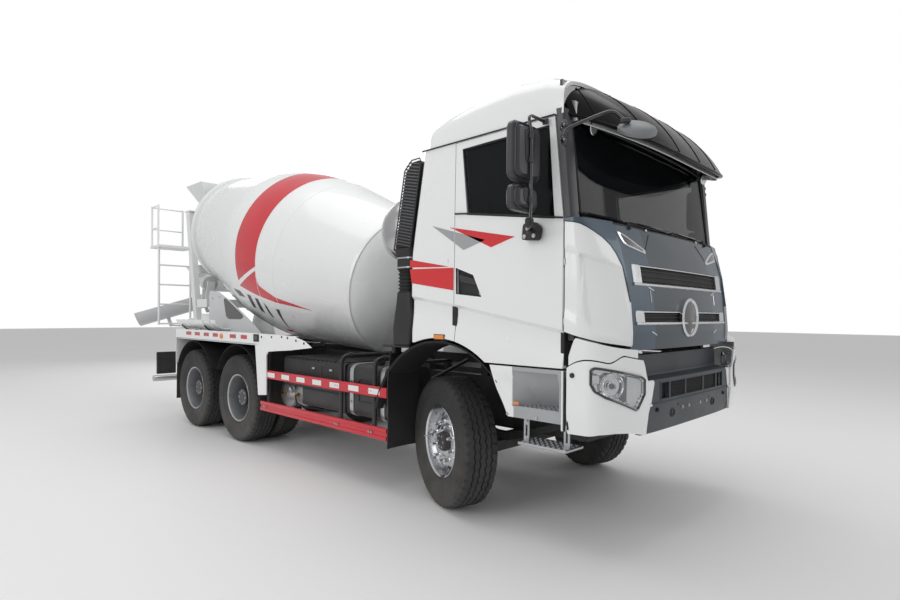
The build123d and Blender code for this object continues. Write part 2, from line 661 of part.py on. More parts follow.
drum_front.part.label = "drum_front"
export_step(drum_front.part, "parts/drum_front.step")

with BuildPart() as drum_barrel:
    turned(drum_plane, shell_strip([(barrel_start, drum_front_radius), (1900, drum_barrel_radius - 4),
                                    (2150, drum_barrel_radius), (drum_barrel_end, drum_barrel_radius - 6)]))
drum_barrel.part.label = "drum_barrel"
export_step(drum_barrel.part, "parts/drum_barrel.step")

with BuildPart() as drum_rear:
    rear_line = [(drum_barrel_end, drum_barrel_radius - 6), (ring_station - 100, rear_radius + 8)]
    rear_line += [(ring_station + 100, rear_radius - 12), (mouth_station, mouth_radius)]
    turned(drum_plane, shell_strip(rear_line))
    half = ring_width / 2
    turned(drum_plane, [(ring_station - half, rear_radius - 15), (ring_station + half, rear_radius - 15),
                        (ring_station + half, ring_radius), (ring_station - half, ring_radius)])
drum_rear.part.label = "drum_rear"
export_step(drum_rear.part, "parts/drum_rear.step")

# ---------------------------------------------------------------- hopper and discharge funnel
hopper_wall = 8
hopper_top = (3850, (-7260, -6620), 480)             # height, X range, half width
hopper_bottom = (3440, (-7010, -6750), 260)
funnel_top = (2430, (-7300, -6680), 470)
funnel_bottom = (2000, (-7140, -6860), 200)


def open_funnel(top, bottom, wall):
    """A four-sided funnel, open at both ends."""
    for inset, reach, mode in ((0, 0, Mode.ADD), (wall, 1, Mode.SUBTRACT)):
        ends = []
        for (z, x, half_y), past in ((top, reach), (bottom, -reach)):
            corners = [(fx + x[0] + inset, -half_y + inset), (fx + x[1] - inset, -half_y + inset),
                       (fx + x[1] - inset, half_y - inset), (fx + x[0] + inset, half_y - inset)]
            ends.append(face_on(Plane.XY.offset(z + past), corners))
        loft(ends, mode=mode)


with BuildPart() as hoppers:
    # Charging hopper over the drum's mouth, on two ears bolted to the leaning posts.
    open_funnel(hopper_top, hopper_bottom, hopper_wall)
    for side in (-1, 1):
        block((fx - 6980, fx - 6780), span(side, 330, 610), (3342.5, 3362))
        block((fx - 6980, fx - 6780), span(side, 330, 345), (3342.5, 3600))
    # Discharge funnel below the mouth, on two ears from the same posts.
    open_funnel(funnel_top, funnel_bottom, hopper_wall)
    for side in (-1, 1):
        block((fx - 6900, fx - 6640), span(side, 330, 514.5), (2220, 2290))
hoppers.part.label = "hoppers"
export_step(hoppers.part, "parts/hoppers.step")

# ---------------------------------------------------------------- chute
heading = math.radians(chute_heading)
chute_out = Vector(math.cos(heading), math.sin(heading), 0)
chute_side = Vector(-math.sin(heading), math.cos(heading), 0)
swivel = Vector(swivel_x, 0, 0)
slope = math.radians(chute_slope)
along = chute_out * math.cos(slope) + Vector(0, 0, math.sin(slope))
above = Vector(0, 0, math.cos(slope)) - chute_out * math.sin(slope)
tilt_hinge = swivel + chute_out * tilt_hinge_out + Vector(0, 0, tilt_hinge_z)
cylinder_foot = swivel + chute_out * cylinder_foot_out + Vector(0, 0, cylinder_foot_z)
cylinder_eye = tilt_hinge + along * cylinder_eye_along - above * cylinder_eye_drop


def cross_pin(centre, radius, length, mode=Mode.ADD):
    """A pin or hole across the chute."""
    with Locations(Plane(origin=centre, z_dir=chute_side)):
        Cylinder(radius, length, mode=mode)


swivel_plane = Plane(origin=swivel, x_dir=chute_out, z_dir=(0, 0, 1))
sleeve_z = (swivel_pin_z[0] + 6, swivel_pin_z[1] - 10)
arm_back = tilt_hinge_out - 70
with BuildPart(swivel_plane) as chute_swivel:
    with Locations((0, 0, sleeve_z[0])):
        Cylinder(68, sleeve_z[1] - sleeve_z[0], align=(Align.CENTER, Align.CENTER, Align.MIN))
    block((40, arm_back + 40), (-20, 20), (sleeve_z[1] - 60, sleeve_z[1]))
    block((arm_back, arm_back + 40), (-20, 20), (sleeve_z[1] - 40, tilt_hinge_z + 20))
    block((arm_back, tilt_hinge_out), (-20, 20), (tilt_hinge_z - 25, tilt_hinge_z + 20))
    block((40, cylinder_foot_out), (-12, 12), (cylinder_foot_z - 20, cylinder_foot_z + 20))
    with Locations(Plane(origin=(tilt_hinge_out, 0, tilt_hinge_z), z_dir=(0, 1, 0))):
        Cylinder(28, 40)
        Cylinder(chute_pin, 90)
    with Locations(Plane(origin=(cylinder_foot_out, 0, cylinder_foot_z), z_dir=(0, 1, 0))):
        Cylinder(24, 24)
        Cylinder(chute_pin, 52)
    Cylinder(swivel_pin_radius + running_gap, 4000, mode=Mode.SUBTRACT)
chute_swivel.part.label = "chute_swivel"
export_step(chute_swivel.part, "parts/chute_swivel.step")

trough_height = 70           # trough bottom above the tilt hinge line
with BuildPart() as chute:
    # Half-round trough on a pair of lugs under its upper end, and a lug for the cylinder's eye.
    start = tilt_hinge - along * 60 + above * (trough_height + chute_radius)
    with BuildSketch(Plane(origin=start, x_dir=chute_side, z_dir=along)) as trough:
        Circle(chute_radius)
        Circle(chute_radius - chute_wall, mode=Mode.SUBTRACT)
        with Locations((0, -chute_radius)):
            Rectangle(3 * chute_radius, 2 * chute_radius, mode=Mode.INTERSECT)
    extrude(trough.sketch, amount=chute_length)
    chute_plane = Plane(origin=tilt_hinge, x_dir=along, z_dir=above)
    for side in (-1, 1):
        with Locations(chute_plane):
            with Locations((0, side * 32, trough_height / 2 + 2)):
                Box(56, 20, trough_height + 10)
        with Locations(chute_plane):
            with Locations((cylinder_eye_along, side * 24, (trough_height - cylinder_eye_drop) / 2)):
                Box(50, 14, trough_height + cylinder_eye_drop + 12)
    cross_pin(tilt_hinge, chute_pin + running_gap, 200, mode=Mode.SUBTRACT)
    cross_pin(cylinder_eye, chute_pin, 60)
chute.part.label = "chute"
export_step(chute.part, "parts/chute.step")

stroke_run = cylinder_eye - cylinder_foot
stroke = stroke_run.normalized()
barrel_radius = 30
rod_radius = 13
barrel_length = 0.6 * stroke_run.length
with BuildPart() as chute_cylinder:
    barrel_start = cylinder_foot + stroke * 30
    barrel_top = cylinder_foot + stroke * barrel_length
    bar(barrel_start, barrel_top, barrel_radius)
    bar(cylinder_foot + stroke * 60, barrel_top + stroke * 5, rod_radius + running_gap, mode=Mode.SUBTRACT)
    for side in (-1, 1):
        bar(cylinder_foot + chute_side * side * 14, cylinder_foot + chute_side * side * 25, 24)
        bridge = cylinder_foot + chute_side * side * 19.5
        with Locations(Plane(origin=bridge, x_dir=stroke, z_dir=chute_side)):
            with Locations((25, 0, 0)):
                Box(50, 36, 11)
    cross_pin(cylinder_foot, chute_pin + running_gap, 120, mode=Mode.SUBTRACT)
chute_cylinder.part.label = "chute_cylinder"
export_step(chute_cylinder.part, "parts/chute_cylinder.step")

with BuildPart() as chute_rod:
    bar(cylinder_foot + stroke * 180, cylinder_eye - stroke * 22, rod_radius)
    cross_pin(cylinder_eye, 26, 30)
    cross_pin(cylinder_eye, chute_pin + 3, 60, mode=Mode.SUBTRACT)
chute_rod.part.label = "chute_rod"
export_step(chute_rod.part, "parts/chute_rod.step")

# ---------------------------------------------------------------- ladder and platform
post_foot, post_head = (-6480, 1240), (-6870, 3330)


def post_face(z):
    """X of the leaning post's rear face at a height, counted from the front axle."""
    lean = math.atan2(post_foot[0] - post_head[0], post_head[1] - post_foot[1])
    return post_foot[0] - (z - post_foot[1]) * math.tan(lean) - 65 / math.cos(lean)


ladder_x = -6960
ladder_y = (-1030, -520)
ladder_foot = 1400
platform_z = 2700
guard_top = 3400
rung_pitch = 330
with BuildPart() as ladder:
    for y in ladder_y:
        bar((fx + ladder_x, y, ladder_foot), (fx + ladder_x, y, platform_z + 20), 18)
    for rung in range(4):
        z = ladder_foot + 20 + rung * rung_pitch
        bar((fx + ladder_x, ladder_y[0], z), (fx + ladder_x, ladder_y[1], z), 13)
    for z in (1500, 2300):
        bar((fx + ladder_x, ladder_y[1], z), (fx + post_face(z + 13) - 0.5, ladder_y[1] - 20, z), 13)
    block((fx - 7280, fx + post_face(platform_z + 40) - 0.5), (-1060, -520), (platform_z, platform_z + 40))
    for x, y in ((-7260, -1040), (ladder_x, -1040), (-7260, -540)):
        bar((fx + x, y, platform_z + 20), (fx + x, y, guard_top + 18), 16)
    for z in (platform_z + 330, guard_top):
        bar((fx - 7260, -1040, z), (fx + ladder_x, -1040, z), 11)
        bar((fx - 7260, -1040, z), (fx - 7260, -540, z), 11)
ladder.part.label = "ladder"
export_step(ladder.part, "parts/ladder.step")

# ---------------------------------------------------------------- air intake
with BuildPart() as air_intake:
    block((fx - 590, fx - 375), (-1215, -1010), (1325, 2180))
    slab_y([(-590, 2170), (-375, 2170), (-240, 2930), (-455, 2930)], -1215, -960)
    block((fx - 760, fx - 375), (-1215, -1010), (1315, 1335))
    block((fx - 760, fx - 700), (-1100, -1010), (1135, 1330))
    block((fx - 760, fx - 700), (-1100, -rail_inner_y), (1135, 1165))
    block((fx - 760, fx - 700), (-rail_outer_y, -rail_inner_y), (rail_top, 1165))
air_intake.part.label = "air_intake"
export_step(air_intake.part, "parts/air_intake.step")

# ---------------------------------------------------------------- cab
wall_inner = cab_half_width - cab_wall
floor_top = floor_z + floor_thickness
with BuildPart() as cab_floor:
    floor_half = wall_inner - 17
    block((fx + cab_rear + cab_wall, fx + 1249.5), (-floor_half, floor_half), (floor_z, floor_top))
    for side in (-1, 1):
        leg = [(px, pz - 34), (px, pz + 34), (px - 230, pz + 34), (px - 230, floor_z), (px - 300, floor_z),
               (px - 300, pz - 34)]
        low, high = span(side, *leg_y)
        slab_y(leg, low, high)
        bar((fx + px, low, pz), (fx + px, high, pz), 34)
        pin_hole = tilt_pin_radius + running_gap
        bar((fx + px, low - 5, pz), (fx + px, high + 5, pz), pin_hole, mode=Mode.SUBTRACT)
cab_floor.part.label = "cab_floor"
export_step(cab_floor.part, "parts/cab_floor.step")

roof_seam = door_top + 3
with BuildPart() as cab_rear_shell:
    # Rear wall and the side panels behind the doors.
    wall = [(-350, 1350), (-350, 2100), (-215, 2894), (-203, roof_seam), (-153, roof_seam), (-165, 2894),
            (-300, 2100), (-300, 1350)]
    slab_y(wall, -wall_inner, wall_inner)
    panel = [(-350, 1300), (door_rear - door_gap, 1300), (door_rear - door_gap, roof_seam),
             (-203, roof_seam), (-215, 2894), (-350, 2100)]
    for side in (-1, 1):
        slab_y(panel, *span(side, wall_inner, cab_half_width))
    past_side = cab_half_width + 5
    bar((fx, -past_side, wheel_z), (fx, past_side, wheel_z), arch_radius, mode=Mode.SUBTRACT)
cab_rear_shell.part.label = "cab_rear"
export_step(cab_rear_shell.part, "parts/cab_rear.step")

pillar_y = cab_half_width - 105
with BuildPart() as cab_roof:
    roof_outer = [(-203, roof_seam), (-133, 3146), (86, 3257), (400, 3325), (754, cab_roof_z), (1030, 3290),
                  (1190, 3200), (1190, roof_seam)]
    roof_inner = [(-150, roof_seam - 10), (-90, 3110), (105, 3208), (410, 3275), (754, 3290),
                  (1015, 3243), (1140, 3170), (1140, roof_seam - 10)]
    slab_y(roof_outer, -cab_half_width, cab_half_width)
    slab_y(roof_inner, -wall_inner, wall_inner, mode=Mode.SUBTRACT)
    for side in (-1, 1):
        pillar = [(1130, roof_seam + 5), (1190, roof_seam + 5), (1258, 2262), (1210, 2262)]
        slab_y(pillar, *span(side, pillar_y, cab_half_width))
cab_roof.part.label = "cab_roof"
export_step(cab_roof.part, "parts/cab_roof.step")

door_pivot = (1207.5, cab_half_width - 5)
hinge_heights = (1600, 2150)
hinge_pin = 4
corner_panel = (
    # height, outline in plan with y counted inwards from the cab's side
    (panel_bottom, [(1215, 0), (1330, 17), (1440, 105), (1530, 340),
            (1480, 340), (1400, 135), (1310, 65), (1215, 50)]),
    (2257, [(1215, 0), (1290, 17), (1330, 105), (1375, 340),
            (1330, 340), (1290, 135), (1270, 65), (1215, 50)]),
)
with BuildPart() as cab_front:
    block((fx + 1250, fx + 1290), (5 - wall_inner, wall_inner - 5), (panel_bottom, 2257))
    for side in (-1, 1):
        ends = []
        for z, outline in corner_panel:
            placed = [(fx + x, side * (cab_half_width - y)) for x, y in outline]
            ends.append(face_on(Plane.XY.offset(z), placed))
        loft(ends)
        block((fx + 1285, fx + lx + 12), span(side, lid_hinge_y + 12, lid_hinge_y + 25), (lz - 12, lz + 12))
        bar((fx + lx, side * (lid_hinge_y - 12), lz), (fx + lx, side * (lid_hinge_y + 25), lz), 6)
        for z in hinge_heights:
            block((fx + 1203.5, fx + 1216), span(side, cab_half_width - 10, cab_half_width), (z - 10, z))
            foot = (fx + door_pivot[0], side * door_pivot[1], z - 5)
            bar(foot, (foot[0], foot[1], z + 40), hinge_pin)
cab_front.part.label = "cab_front"
export_step(cab_front.part, "parts/cab_front.step")

with BuildPart() as windscreen:
    screen_half = pillar_y - 0.5
    screen = [(1240, 2262), (1246, 2262), (1178, roof_seam - 1), (1172, roof_seam - 1)]
    slab_y(screen, -screen_half, screen_half)
windscreen.part.label = "windscreen"
export_step(windscreen.part, "parts/windscreen.step")

with BuildPart() as sun_visor:
    slab_y([(1190.3, 3190), (1400, 3080), (1560, 2920), (1610, 2790), (1590, 2785), (1530, 2890),
            (1390, 3040), (1190.3, 3130)], 95 - cab_half_width, cab_half_width - 95)
    # Rounded in plan towards its ends.
    visor_half = cab_half_width - 85
    half_plan = [(1610, 0), (1590, 500), (1510, visor_half - 310), (1380, visor_half - 80)]
    half_plan += [(1180, visor_half)]
    plan = half_plan + [(x, -y) for x, y in reversed(half_plan[1:])]
    slab_z(plan, 2700, 3300, mode=Mode.INTERSECT)
sun_visor.part.label = "sun_visor"
export_step(sun_visor.part, "parts/sun_visor.step")

wheel_centre = Vector(fx + 800, 600, 2120)
column_axis = Vector(-0.5, 0, math.sqrt(0.75))
with BuildPart() as dashboard:
    dash_half = wall_inner - 65
    slab_y([(1000, 1750), (1249.5, 1750), (1249.5, 2200), (1150, 2230), (1000, 2150)], -dash_half, dash_half)
    bar(wheel_centre - column_axis * 440, wheel_centre - column_axis * 32, 30)
    bar(wheel_centre - column_axis * 40, wheel_centre + column_axis * 12, 16)
dashboard.part.label = "dashboard"
export_step(dashboard.part, "parts/dashboard.step")

with BuildPart(Plane(origin=wheel_centre, x_dir=(0, 1, 0), z_dir=column_axis)) as steering_wheel:
    Torus(215, 15)
    for angle in (0, 120, 240):
        with Locations(Location((0, 0, 0), (0, 0, angle))):
            with Locations((0, 115, -3)):
                Box(34, 180, 14)
    Cylinder(48, 44)
    Cylinder(16 + running_gap, 60, mode=Mode.SUBTRACT)
steering_wheel.part.label = "steering_wheel"
export_step(steering_wheel.part, "parts/steering_wheel.step")

with BuildPart() as seats:
    for side in (-1, 1):
        block((fx + 150, fx + 640), span(side, 360, 840), (floor_top, 1950))
        block((fx + 60, fx + 180), span(side, 370, 830), (1900, 2620))
seats.part.label = "seats"
export_step(seats.part, "parts/seats.step")

with BuildPart() as front_lid:
    lid_outer = [(1520, 1372), (1520, 1500), (1470, 1950), (1372, 2258)]
    lid_inner = [(1332, 2250), (1430, 1940), (1480, 1500), (1480, 1372)]
    slab_y(lid_outer + lid_inner, -lid_half, lid_half)
    for z in ((1510, 1650), (1820, 1960)):
        block((fx + 1300, fx + 1700), (80 - lid_half, lid_half - 80), z, mode=Mode.SUBTRACT)
    for side in (-1, 1):
        block((fx + lx - 12, fx + lx + 38), span(side, lid_hinge_y - 10, lid_hinge_y + 10), (lz - 12, lz + 12))
        bar((fx + lx, side * (lid_hinge_y - 20), lz), (fx + lx, side * (lid_hinge_y + 20), lz),
            6 + running_gap, mode=Mode.SUBTRACT)
front_lid.part.label = "front_lid"
export_step(front_lid.part, "parts/front_lid.step")

# ---------------------------------------------------------------- doors
pane = [(261, 2894), (326, 2384), (1129, 2268), (1078, 2902)]
for side, hand in ((1, "left"), (-1, "right")):
    inner_face, outer_face = cab_half_width - door_thickness, cab_half_width
    with BuildPart() as door:
        shell = [(door_rear, cab_bottom), (door_front, cab_bottom), (door_front, 2262), (1122, door_top - 7),
                 (door_rear, door_top - 7)]
        slab_y(shell, *span(side, inner_face, outer_face))
        through = span(side, inner_face - 5, outer_face + 5)
        bar((fx, through[0], wheel_z), (fx, through[1], wheel_z), arch_radius, mode=Mode.SUBTRACT)
        slab_y(pane, *through, mode=Mode.SUBTRACT)
        for z in hinge_heights:
            block((fx + door_front - 1, fx + door_pivot[0] + 4), span(side, outer_face - 10, outer_face),
                  (z + 2, z + 38))
            foot = (fx + door_pivot[0], side * door_pivot[1], z - 5)
            bar(foot, (foot[0], foot[1], z + 45), hinge_pin + running_gap, mode=Mode.SUBTRACT)
    door.part.label = f"{hand}_door"
    export_step(door.part, f"parts/{hand}_door.step")

    with BuildPart() as door_glass:
        slab_y([(262, 2893), (327, 2385), (1128, 2269), (1077, 2901)],
               *span(side, outer_face - 35, outer_face - 30))
    door_glass.part.label = f"{hand}_door_glass"
    export_step(door_glass.part, f"parts/{hand}_door_glass.step")

    with BuildPart() as mirrors:
        # Two rear-view heads on a bracket bolted to the door.
        mirror_post = outer_face + 215
        block((fx + 900, fx + 1060), span(side, outer_face + 0.3, outer_face + 75), (2120, 2250))
        block((fx + 1010, fx + 1050), span(side, outer_face + 55, outer_face + 235), (2150, 2190))
        bar((fx + 1030, side * mirror_post, 2170), (fx + 1030, side * mirror_post, 2960), 14)
        bar((fx + 1030, side * mirror_post, 2940), (fx + 1060, side * (outer_face + 12), 2935), 11)
        block((fx + 1040, fx + 1080), span(side, outer_face + seat_gap, outer_face + 20), (2915, 2950))
        for low, high in ((2480, 2870), (2285, 2460)):
            block((fx + 960, fx + 1080), span(side, outer_face + 70, outer_face + 345), (low, high))
    mirrors.part.label = f"{hand}_mirrors"
    export_step(mirrors.part, f"parts/{hand}_mirrors.step")

with BuildPart() as front_mirror:
    # Close-range mirror on an arm from the right-hand pillar.
    block((fx + 1190, fx + 1230), (-cab_half_width - 20, -cab_half_width - 0.3), (2680, 2900))
    disc = (fx + 1600, 345 - cab_half_width, 2845)
    arm_foot = -cab_half_width - 10
    route = [(fx + 1210, arm_foot, 2840), (fx + 1330, arm_foot - 55, 2960)]
    route += [(fx + 1530, arm_foot + 175, 2960), disc]
    bent_tube(route, 11, 50)
    with Locations(Plane(origin=disc, x_dir=(0, 1, 0), z_dir=(1, -0.4, -0.25))):
        Cylinder(135, 45)
front_mirror.part.label = "front_mirror"
export_step(front_mirror.part, "parts/front_mirror.step")
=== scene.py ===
# %% [markdown]
# # A concrete mixer truck in Blender
# The truck's frame comes from CAD: every hinge, wheel and bracket already sits at its real size.
# Blender adds what the eye reads: painted skins, rubber, tread, glass, lamps, bolts and stripes.
# The frame is loaded first, because each piece made here rides on one of its bodies.

# %% Load the frame
import bmesh
import bpy
import json
import math
import numpy as np
from mathutils import Matrix, Vector


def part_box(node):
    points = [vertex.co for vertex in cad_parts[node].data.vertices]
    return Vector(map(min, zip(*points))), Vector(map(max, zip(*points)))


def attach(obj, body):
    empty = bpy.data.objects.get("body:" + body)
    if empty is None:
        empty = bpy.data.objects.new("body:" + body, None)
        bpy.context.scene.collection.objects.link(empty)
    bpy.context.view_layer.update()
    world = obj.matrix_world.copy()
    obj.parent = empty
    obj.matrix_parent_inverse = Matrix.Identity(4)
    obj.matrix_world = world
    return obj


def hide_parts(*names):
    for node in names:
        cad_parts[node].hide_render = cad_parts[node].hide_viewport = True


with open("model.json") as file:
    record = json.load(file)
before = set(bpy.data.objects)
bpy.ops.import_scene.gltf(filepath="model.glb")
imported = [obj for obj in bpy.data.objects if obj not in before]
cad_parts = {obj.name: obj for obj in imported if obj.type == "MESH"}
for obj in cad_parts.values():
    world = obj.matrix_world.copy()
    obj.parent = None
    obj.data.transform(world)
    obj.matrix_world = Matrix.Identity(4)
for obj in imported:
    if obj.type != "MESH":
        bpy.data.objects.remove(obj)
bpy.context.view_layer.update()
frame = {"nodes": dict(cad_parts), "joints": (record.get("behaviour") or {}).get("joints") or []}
joint_table = {joint["name"]: joint for joint in frame["joints"]}
cad_nodes = frame["nodes"]
axle_low, axle_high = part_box("front_axle")
FRONT_AXLE_X = (axle_low.x + axle_high.x) / 2
WHEEL_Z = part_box("front_left_tyre")[1].z / 2
print("front axle at x", round(FRONT_AXLE_X, 3), "wheel centre height", round(WHEEL_Z, 4))

# %% [markdown]
# ## Camera, floor and light
# The camera stands low at the front right corner with a wide lens, so the cab looms and the drum runs away
# from it. Its turn is given by where it looks, and a small roll. The light is a white room: a pale floor,
# a white world and four soft boxes, so the white paint shows its creases by soft shading alone.

# %% Camera, floor and soft boxes
CAMERA_PLACE = Vector((FRONT_AXLE_X + 3.331, -4.453, 1.609))
CAMERA_YAW, CAMERA_PITCH, CAMERA_ROLL = (math.radians(a) for a in (133.593, -0.508, 0.419))


def add_camera():
    """The main view, its axes worked out from yaw, pitch and roll."""
    forward = Vector(
        (math.cos(CAMERA_YAW) * math.cos(CAMERA_PITCH), math.sin(CAMERA_YAW) * math.cos(CAMERA_PITCH),
        math.sin(CAMERA_PITCH)))
    right = forward.cross(Vector((0, 0, 1))).normalized()
    up = right.cross(forward)
    rolled_right = right * math.cos(CAMERA_ROLL) + up * math.sin(CAMERA_ROLL)
    rolled_up = up * math.cos(CAMERA_ROLL) - right * math.sin(CAMERA_ROLL)
    data = bpy.data.cameras.new("main_view")
    data.lens, data.sensor_width = 22.773, 36.0
    data.shift_x, data.shift_y = -0.01288, 0.02182
    camera = bpy.data.objects.new("main_view", data)
    turn = Matrix((rolled_right, rolled_up, -forward)).transposed().to_4x4()
    camera.matrix_world = Matrix.Translation(CAMERA_PLACE) @ turn
    bpy.context.scene.collection.objects.link(camera)
    bpy.context.scene.camera = camera


def add_soft_box(name, place, target, size, power):
    """A large square lamp that looks at a point."""
    data = bpy.data.lights.new(name, "AREA")
    data.shape, data.size, data.energy = "SQUARE", size, power
    lamp = bpy.data.objects.new(name, data)
    lamp.location = place
    lamp.rotation_euler = (Vector(target) - Vector(place)).to_track_quat("-Z", "Y").to_euler()
    bpy.context.scene.collection.objects.link(lamp)


def wire(tree, *links):
    """Joins node sockets; each link is a node, its output, the next node and that node's input."""
    for source, output, target, socket in links:
        tree.links.new(source.outputs[output], target.inputs[socket])


add_camera()
add_soft_box("overhead_box", (1, 0, 9), (0, 0, 0), 9, 330)
add_soft_box("right_box", (1, -12, 6), (0, 0, 1.4), 7, 320)
add_soft_box("left_front_box", (12, 6, 5), (3, 0, 1.4), 5, 120)
add_soft_box("rear_box", (-11, 5, 6), (-2, 0, 2), 6, 200)

world = bpy.data.worlds.new("white_room")
world.use_nodes = True
background = world.node_tree.nodes["Background"]
background.inputs["Color"].default_value = (1, 1, 1, 1)
# Seen straight on, the room is pure white; as a light and in reflections it is dimmer.
seen = world.node_tree.nodes.new("ShaderNodeLightPath")
strength = world.node_tree.nodes.new("ShaderNodeMapRange")
strength.inputs["To Min"].default_value = 0.56
strength.inputs["To Max"].default_value = 1.0
wire(world.node_tree, (seen, "Is Camera Ray", strength, "Value"), (strength, "Result", background, "Strength"))
bpy.context.scene.world = world
bpy.context.scene.view_settings.view_transform = "Standard"

# %% [markdown]
# ## Finishes
# Paint, rubber and plastic share three effects: a slow mottle of the colour, a film of road dust that
# thickens towards the ground, and a fine grain that tips the surface. Each effect is a node group with
# named inputs, so one group serves every finish with its own numbers. The shader stays in the material.

# %% Shared effect groups
MATERIALS = {}


def new_group(name, inputs, outputs):
    """A shader node group with typed sockets; returns the group, its input node and its output node."""
    group = bpy.data.node_groups.new(name, "ShaderNodeTree")
    for label, kind, value in inputs:
        socket = group.interface.new_socket(name=label, in_out="INPUT", socket_type=kind)
        socket.default_value = value
    for label, kind in outputs:
        group.interface.new_socket(name=label, in_out="OUTPUT", socket_type=kind)
    return group, group.nodes.new("NodeGroupInput"), group.nodes.new("NodeGroupOutput")


COLOUR, NUMBER = "NodeSocketColor", "NodeSocketFloat"
WHITE = (1.0, 1.0, 1.0, 1.0)


def noise_at(group, scale_socket=None, scale=5.0, detail=3.0):
    """A noise texture on the piece's own coordinates, so it moves with the piece."""
    coordinates = group.nodes.new("ShaderNodeTexCoord")
    noise = group.nodes.new("ShaderNodeTexNoise")
    noise.inputs["Detail"].default_value = detail
    noise.inputs["Scale"].default_value = scale
    wire(group, (coordinates, "Object", noise, "Vector"))
    if scale_socket is not None:
        group.links.new(scale_socket, noise.inputs["Scale"])
    return noise


def mottle_group():
    """Colour and roughness that wander slowly over the surface."""
    group, start, end = new_group(
        "slow_mottle", [("Color", COLOUR, WHITE), ("Second Color", COLOUR, WHITE), ("Scale", NUMBER, 4.0),
        ("Low Roughness", NUMBER, 0.3), ("High Roughness", NUMBER, 0.5)],
        [("Color", COLOUR), ("Roughness", NUMBER)])
    noise = noise_at(group, start.outputs["Scale"])
    spread = group.nodes.new("ShaderNodeMapRange")
    spread.inputs["From Min"].default_value = 0.3
    spread.inputs["From Max"].default_value = 0.7
    mix = group.nodes.new("ShaderNodeMix")
    mix.data_type = "RGBA"
    rough = group.nodes.new("ShaderNodeMapRange")
    wire(
        group, (noise, "Fac", spread, "Value"), (spread, "Result", mix, "Factor"), (start, "Color", mix, "A"),
        (start, "Second Color", mix, "B"), (spread, "Result", rough, "Value"),
        (start, "Low Roughness", rough, "To Min"), (start, "High Roughness", rough, "To Max"),
        (mix, "Result", end, "Color"), (rough, "Result", end, "Roughness"))
    return group


def dust_group():
    """Road dust, thick near the ground and gone above a height."""
    group, start, end = new_group(
        "road_dust", [("Color", COLOUR, WHITE), ("Dust Color", COLOUR, (0.35, 0.33, 0.3, 1.0)),
        ("Amount", NUMBER, 0.2), ("Top Height", NUMBER, 1.3)], [("Color", COLOUR)])
    coordinates = group.nodes.new("ShaderNodeTexCoord")
    split = group.nodes.new("ShaderNodeSeparateXYZ")
    fade = group.nodes.new("ShaderNodeMapRange")
    fade.inputs["From Min"].default_value = 0.0
    fade.inputs["To Min"].default_value = 1.0
    fade.inputs["To Max"].default_value = 0.0
    noise = noise_at(group, scale=7.0, detail=5.0)
    patch = group.nodes.new("ShaderNodeMath")
    patch.operation = "MULTIPLY"
    weight = group.nodes.new("ShaderNodeMath")
    weight.operation = "MULTIPLY"
    mix = group.nodes.new("ShaderNodeMix")
    mix.data_type = "RGBA"
    wire(
        group, (coordinates, "Object", split, "Vector"), (split, "Z", fade, "Value"),
        (start, "Top Height", fade, "From Max"), (fade, "Result", patch, 0), (noise, "Fac", patch, 1),
        (patch, "Value", weight, 0), (start, "Amount", weight, 1), (weight, "Value", mix, "Factor"),
        (start, "Color", mix, "A"), (start, "Dust Color", mix, "B"), (mix, "Result", end, "Color"))
    return group


def grain_group():
    """A height that makes orange peel in paint or the pebbled face of moulded plastic."""
    group, start, end = new_group("fine_grain", [("Scale", NUMBER, 200.0)], [("Grain", NUMBER)])
    noise = noise_at(group, start.outputs["Scale"], detail=2.0)
    wire(group, (noise, "Fac", end, "Grain"))
    return group


MOTTLE, DUST, GRAIN = mottle_group(), dust_group(), grain_group()
print("effect groups:", MOTTLE.name, DUST.name, GRAIN.name)


# %% [markdown]
# A finish is one call with plain numbers. Constants that are the same all over, such as the metal and the
# clear coat, are set on the shader's own sockets; only what varies arrives through the groups.

# %% The finish maker and the list of finishes
def finish(
        name, colour, rough, metal=0.0, coat=0.0, shade=0.92, mottle_scale=2.0, dust=0.0, dust_top=1.3,
        grain_scale=300.0, grain=0.0, glow=0.0, gleam=0.5):
    """A painted, plastic or metal finish; colour and rough wander a little, dust gathers low down."""
    material = bpy.data.materials.new(name)
    material.use_nodes = True
    tree = material.node_tree
    shader = tree.nodes["Principled BSDF"]
    first = (*colour, 1.0)
    second = (*[channel * shade for channel in colour], 1.0)
    mottle = tree.nodes.new("ShaderNodeGroup")
    mottle.node_tree = MOTTLE
    for label, value in (
            ("Color", first), ("Second Color", second), ("Scale", mottle_scale), ("Low Roughness", rough[0]),
            ("High Roughness", rough[1])):
        mottle.inputs[label].default_value = value
    film = tree.nodes.new("ShaderNodeGroup")
    film.node_tree = DUST
    film.inputs["Amount"].default_value = dust
    film.inputs["Top Height"].default_value = dust_top
    wire(
        tree, (mottle, "Color", film, "Color"), (film, "Color", shader, "Base Color"),
        (mottle, "Roughness", shader, "Roughness"))
    shader.inputs["Metallic"].default_value = metal
    shader.inputs["Specular IOR Level"].default_value = gleam
    shader.inputs["Coat Weight"].default_value = coat
    shader.inputs["Coat Roughness"].default_value = 0.04
    if grain:
        pebble = tree.nodes.new("ShaderNodeGroup")
        pebble.node_tree = GRAIN
        pebble.inputs["Scale"].default_value = grain_scale
        bump = tree.nodes.new("ShaderNodeBump")
        bump.inputs["Strength"].default_value = grain
        bump.inputs["Distance"].default_value = 0.002
        wire(tree, (pebble, "Grain", bump, "Height"), (bump, "Normal", shader, "Normal"))
    if glow:
        shader.inputs["Emission Color"].default_value = first
        shader.inputs["Emission Strength"].default_value = glow
    MATERIALS[name] = material
    return material


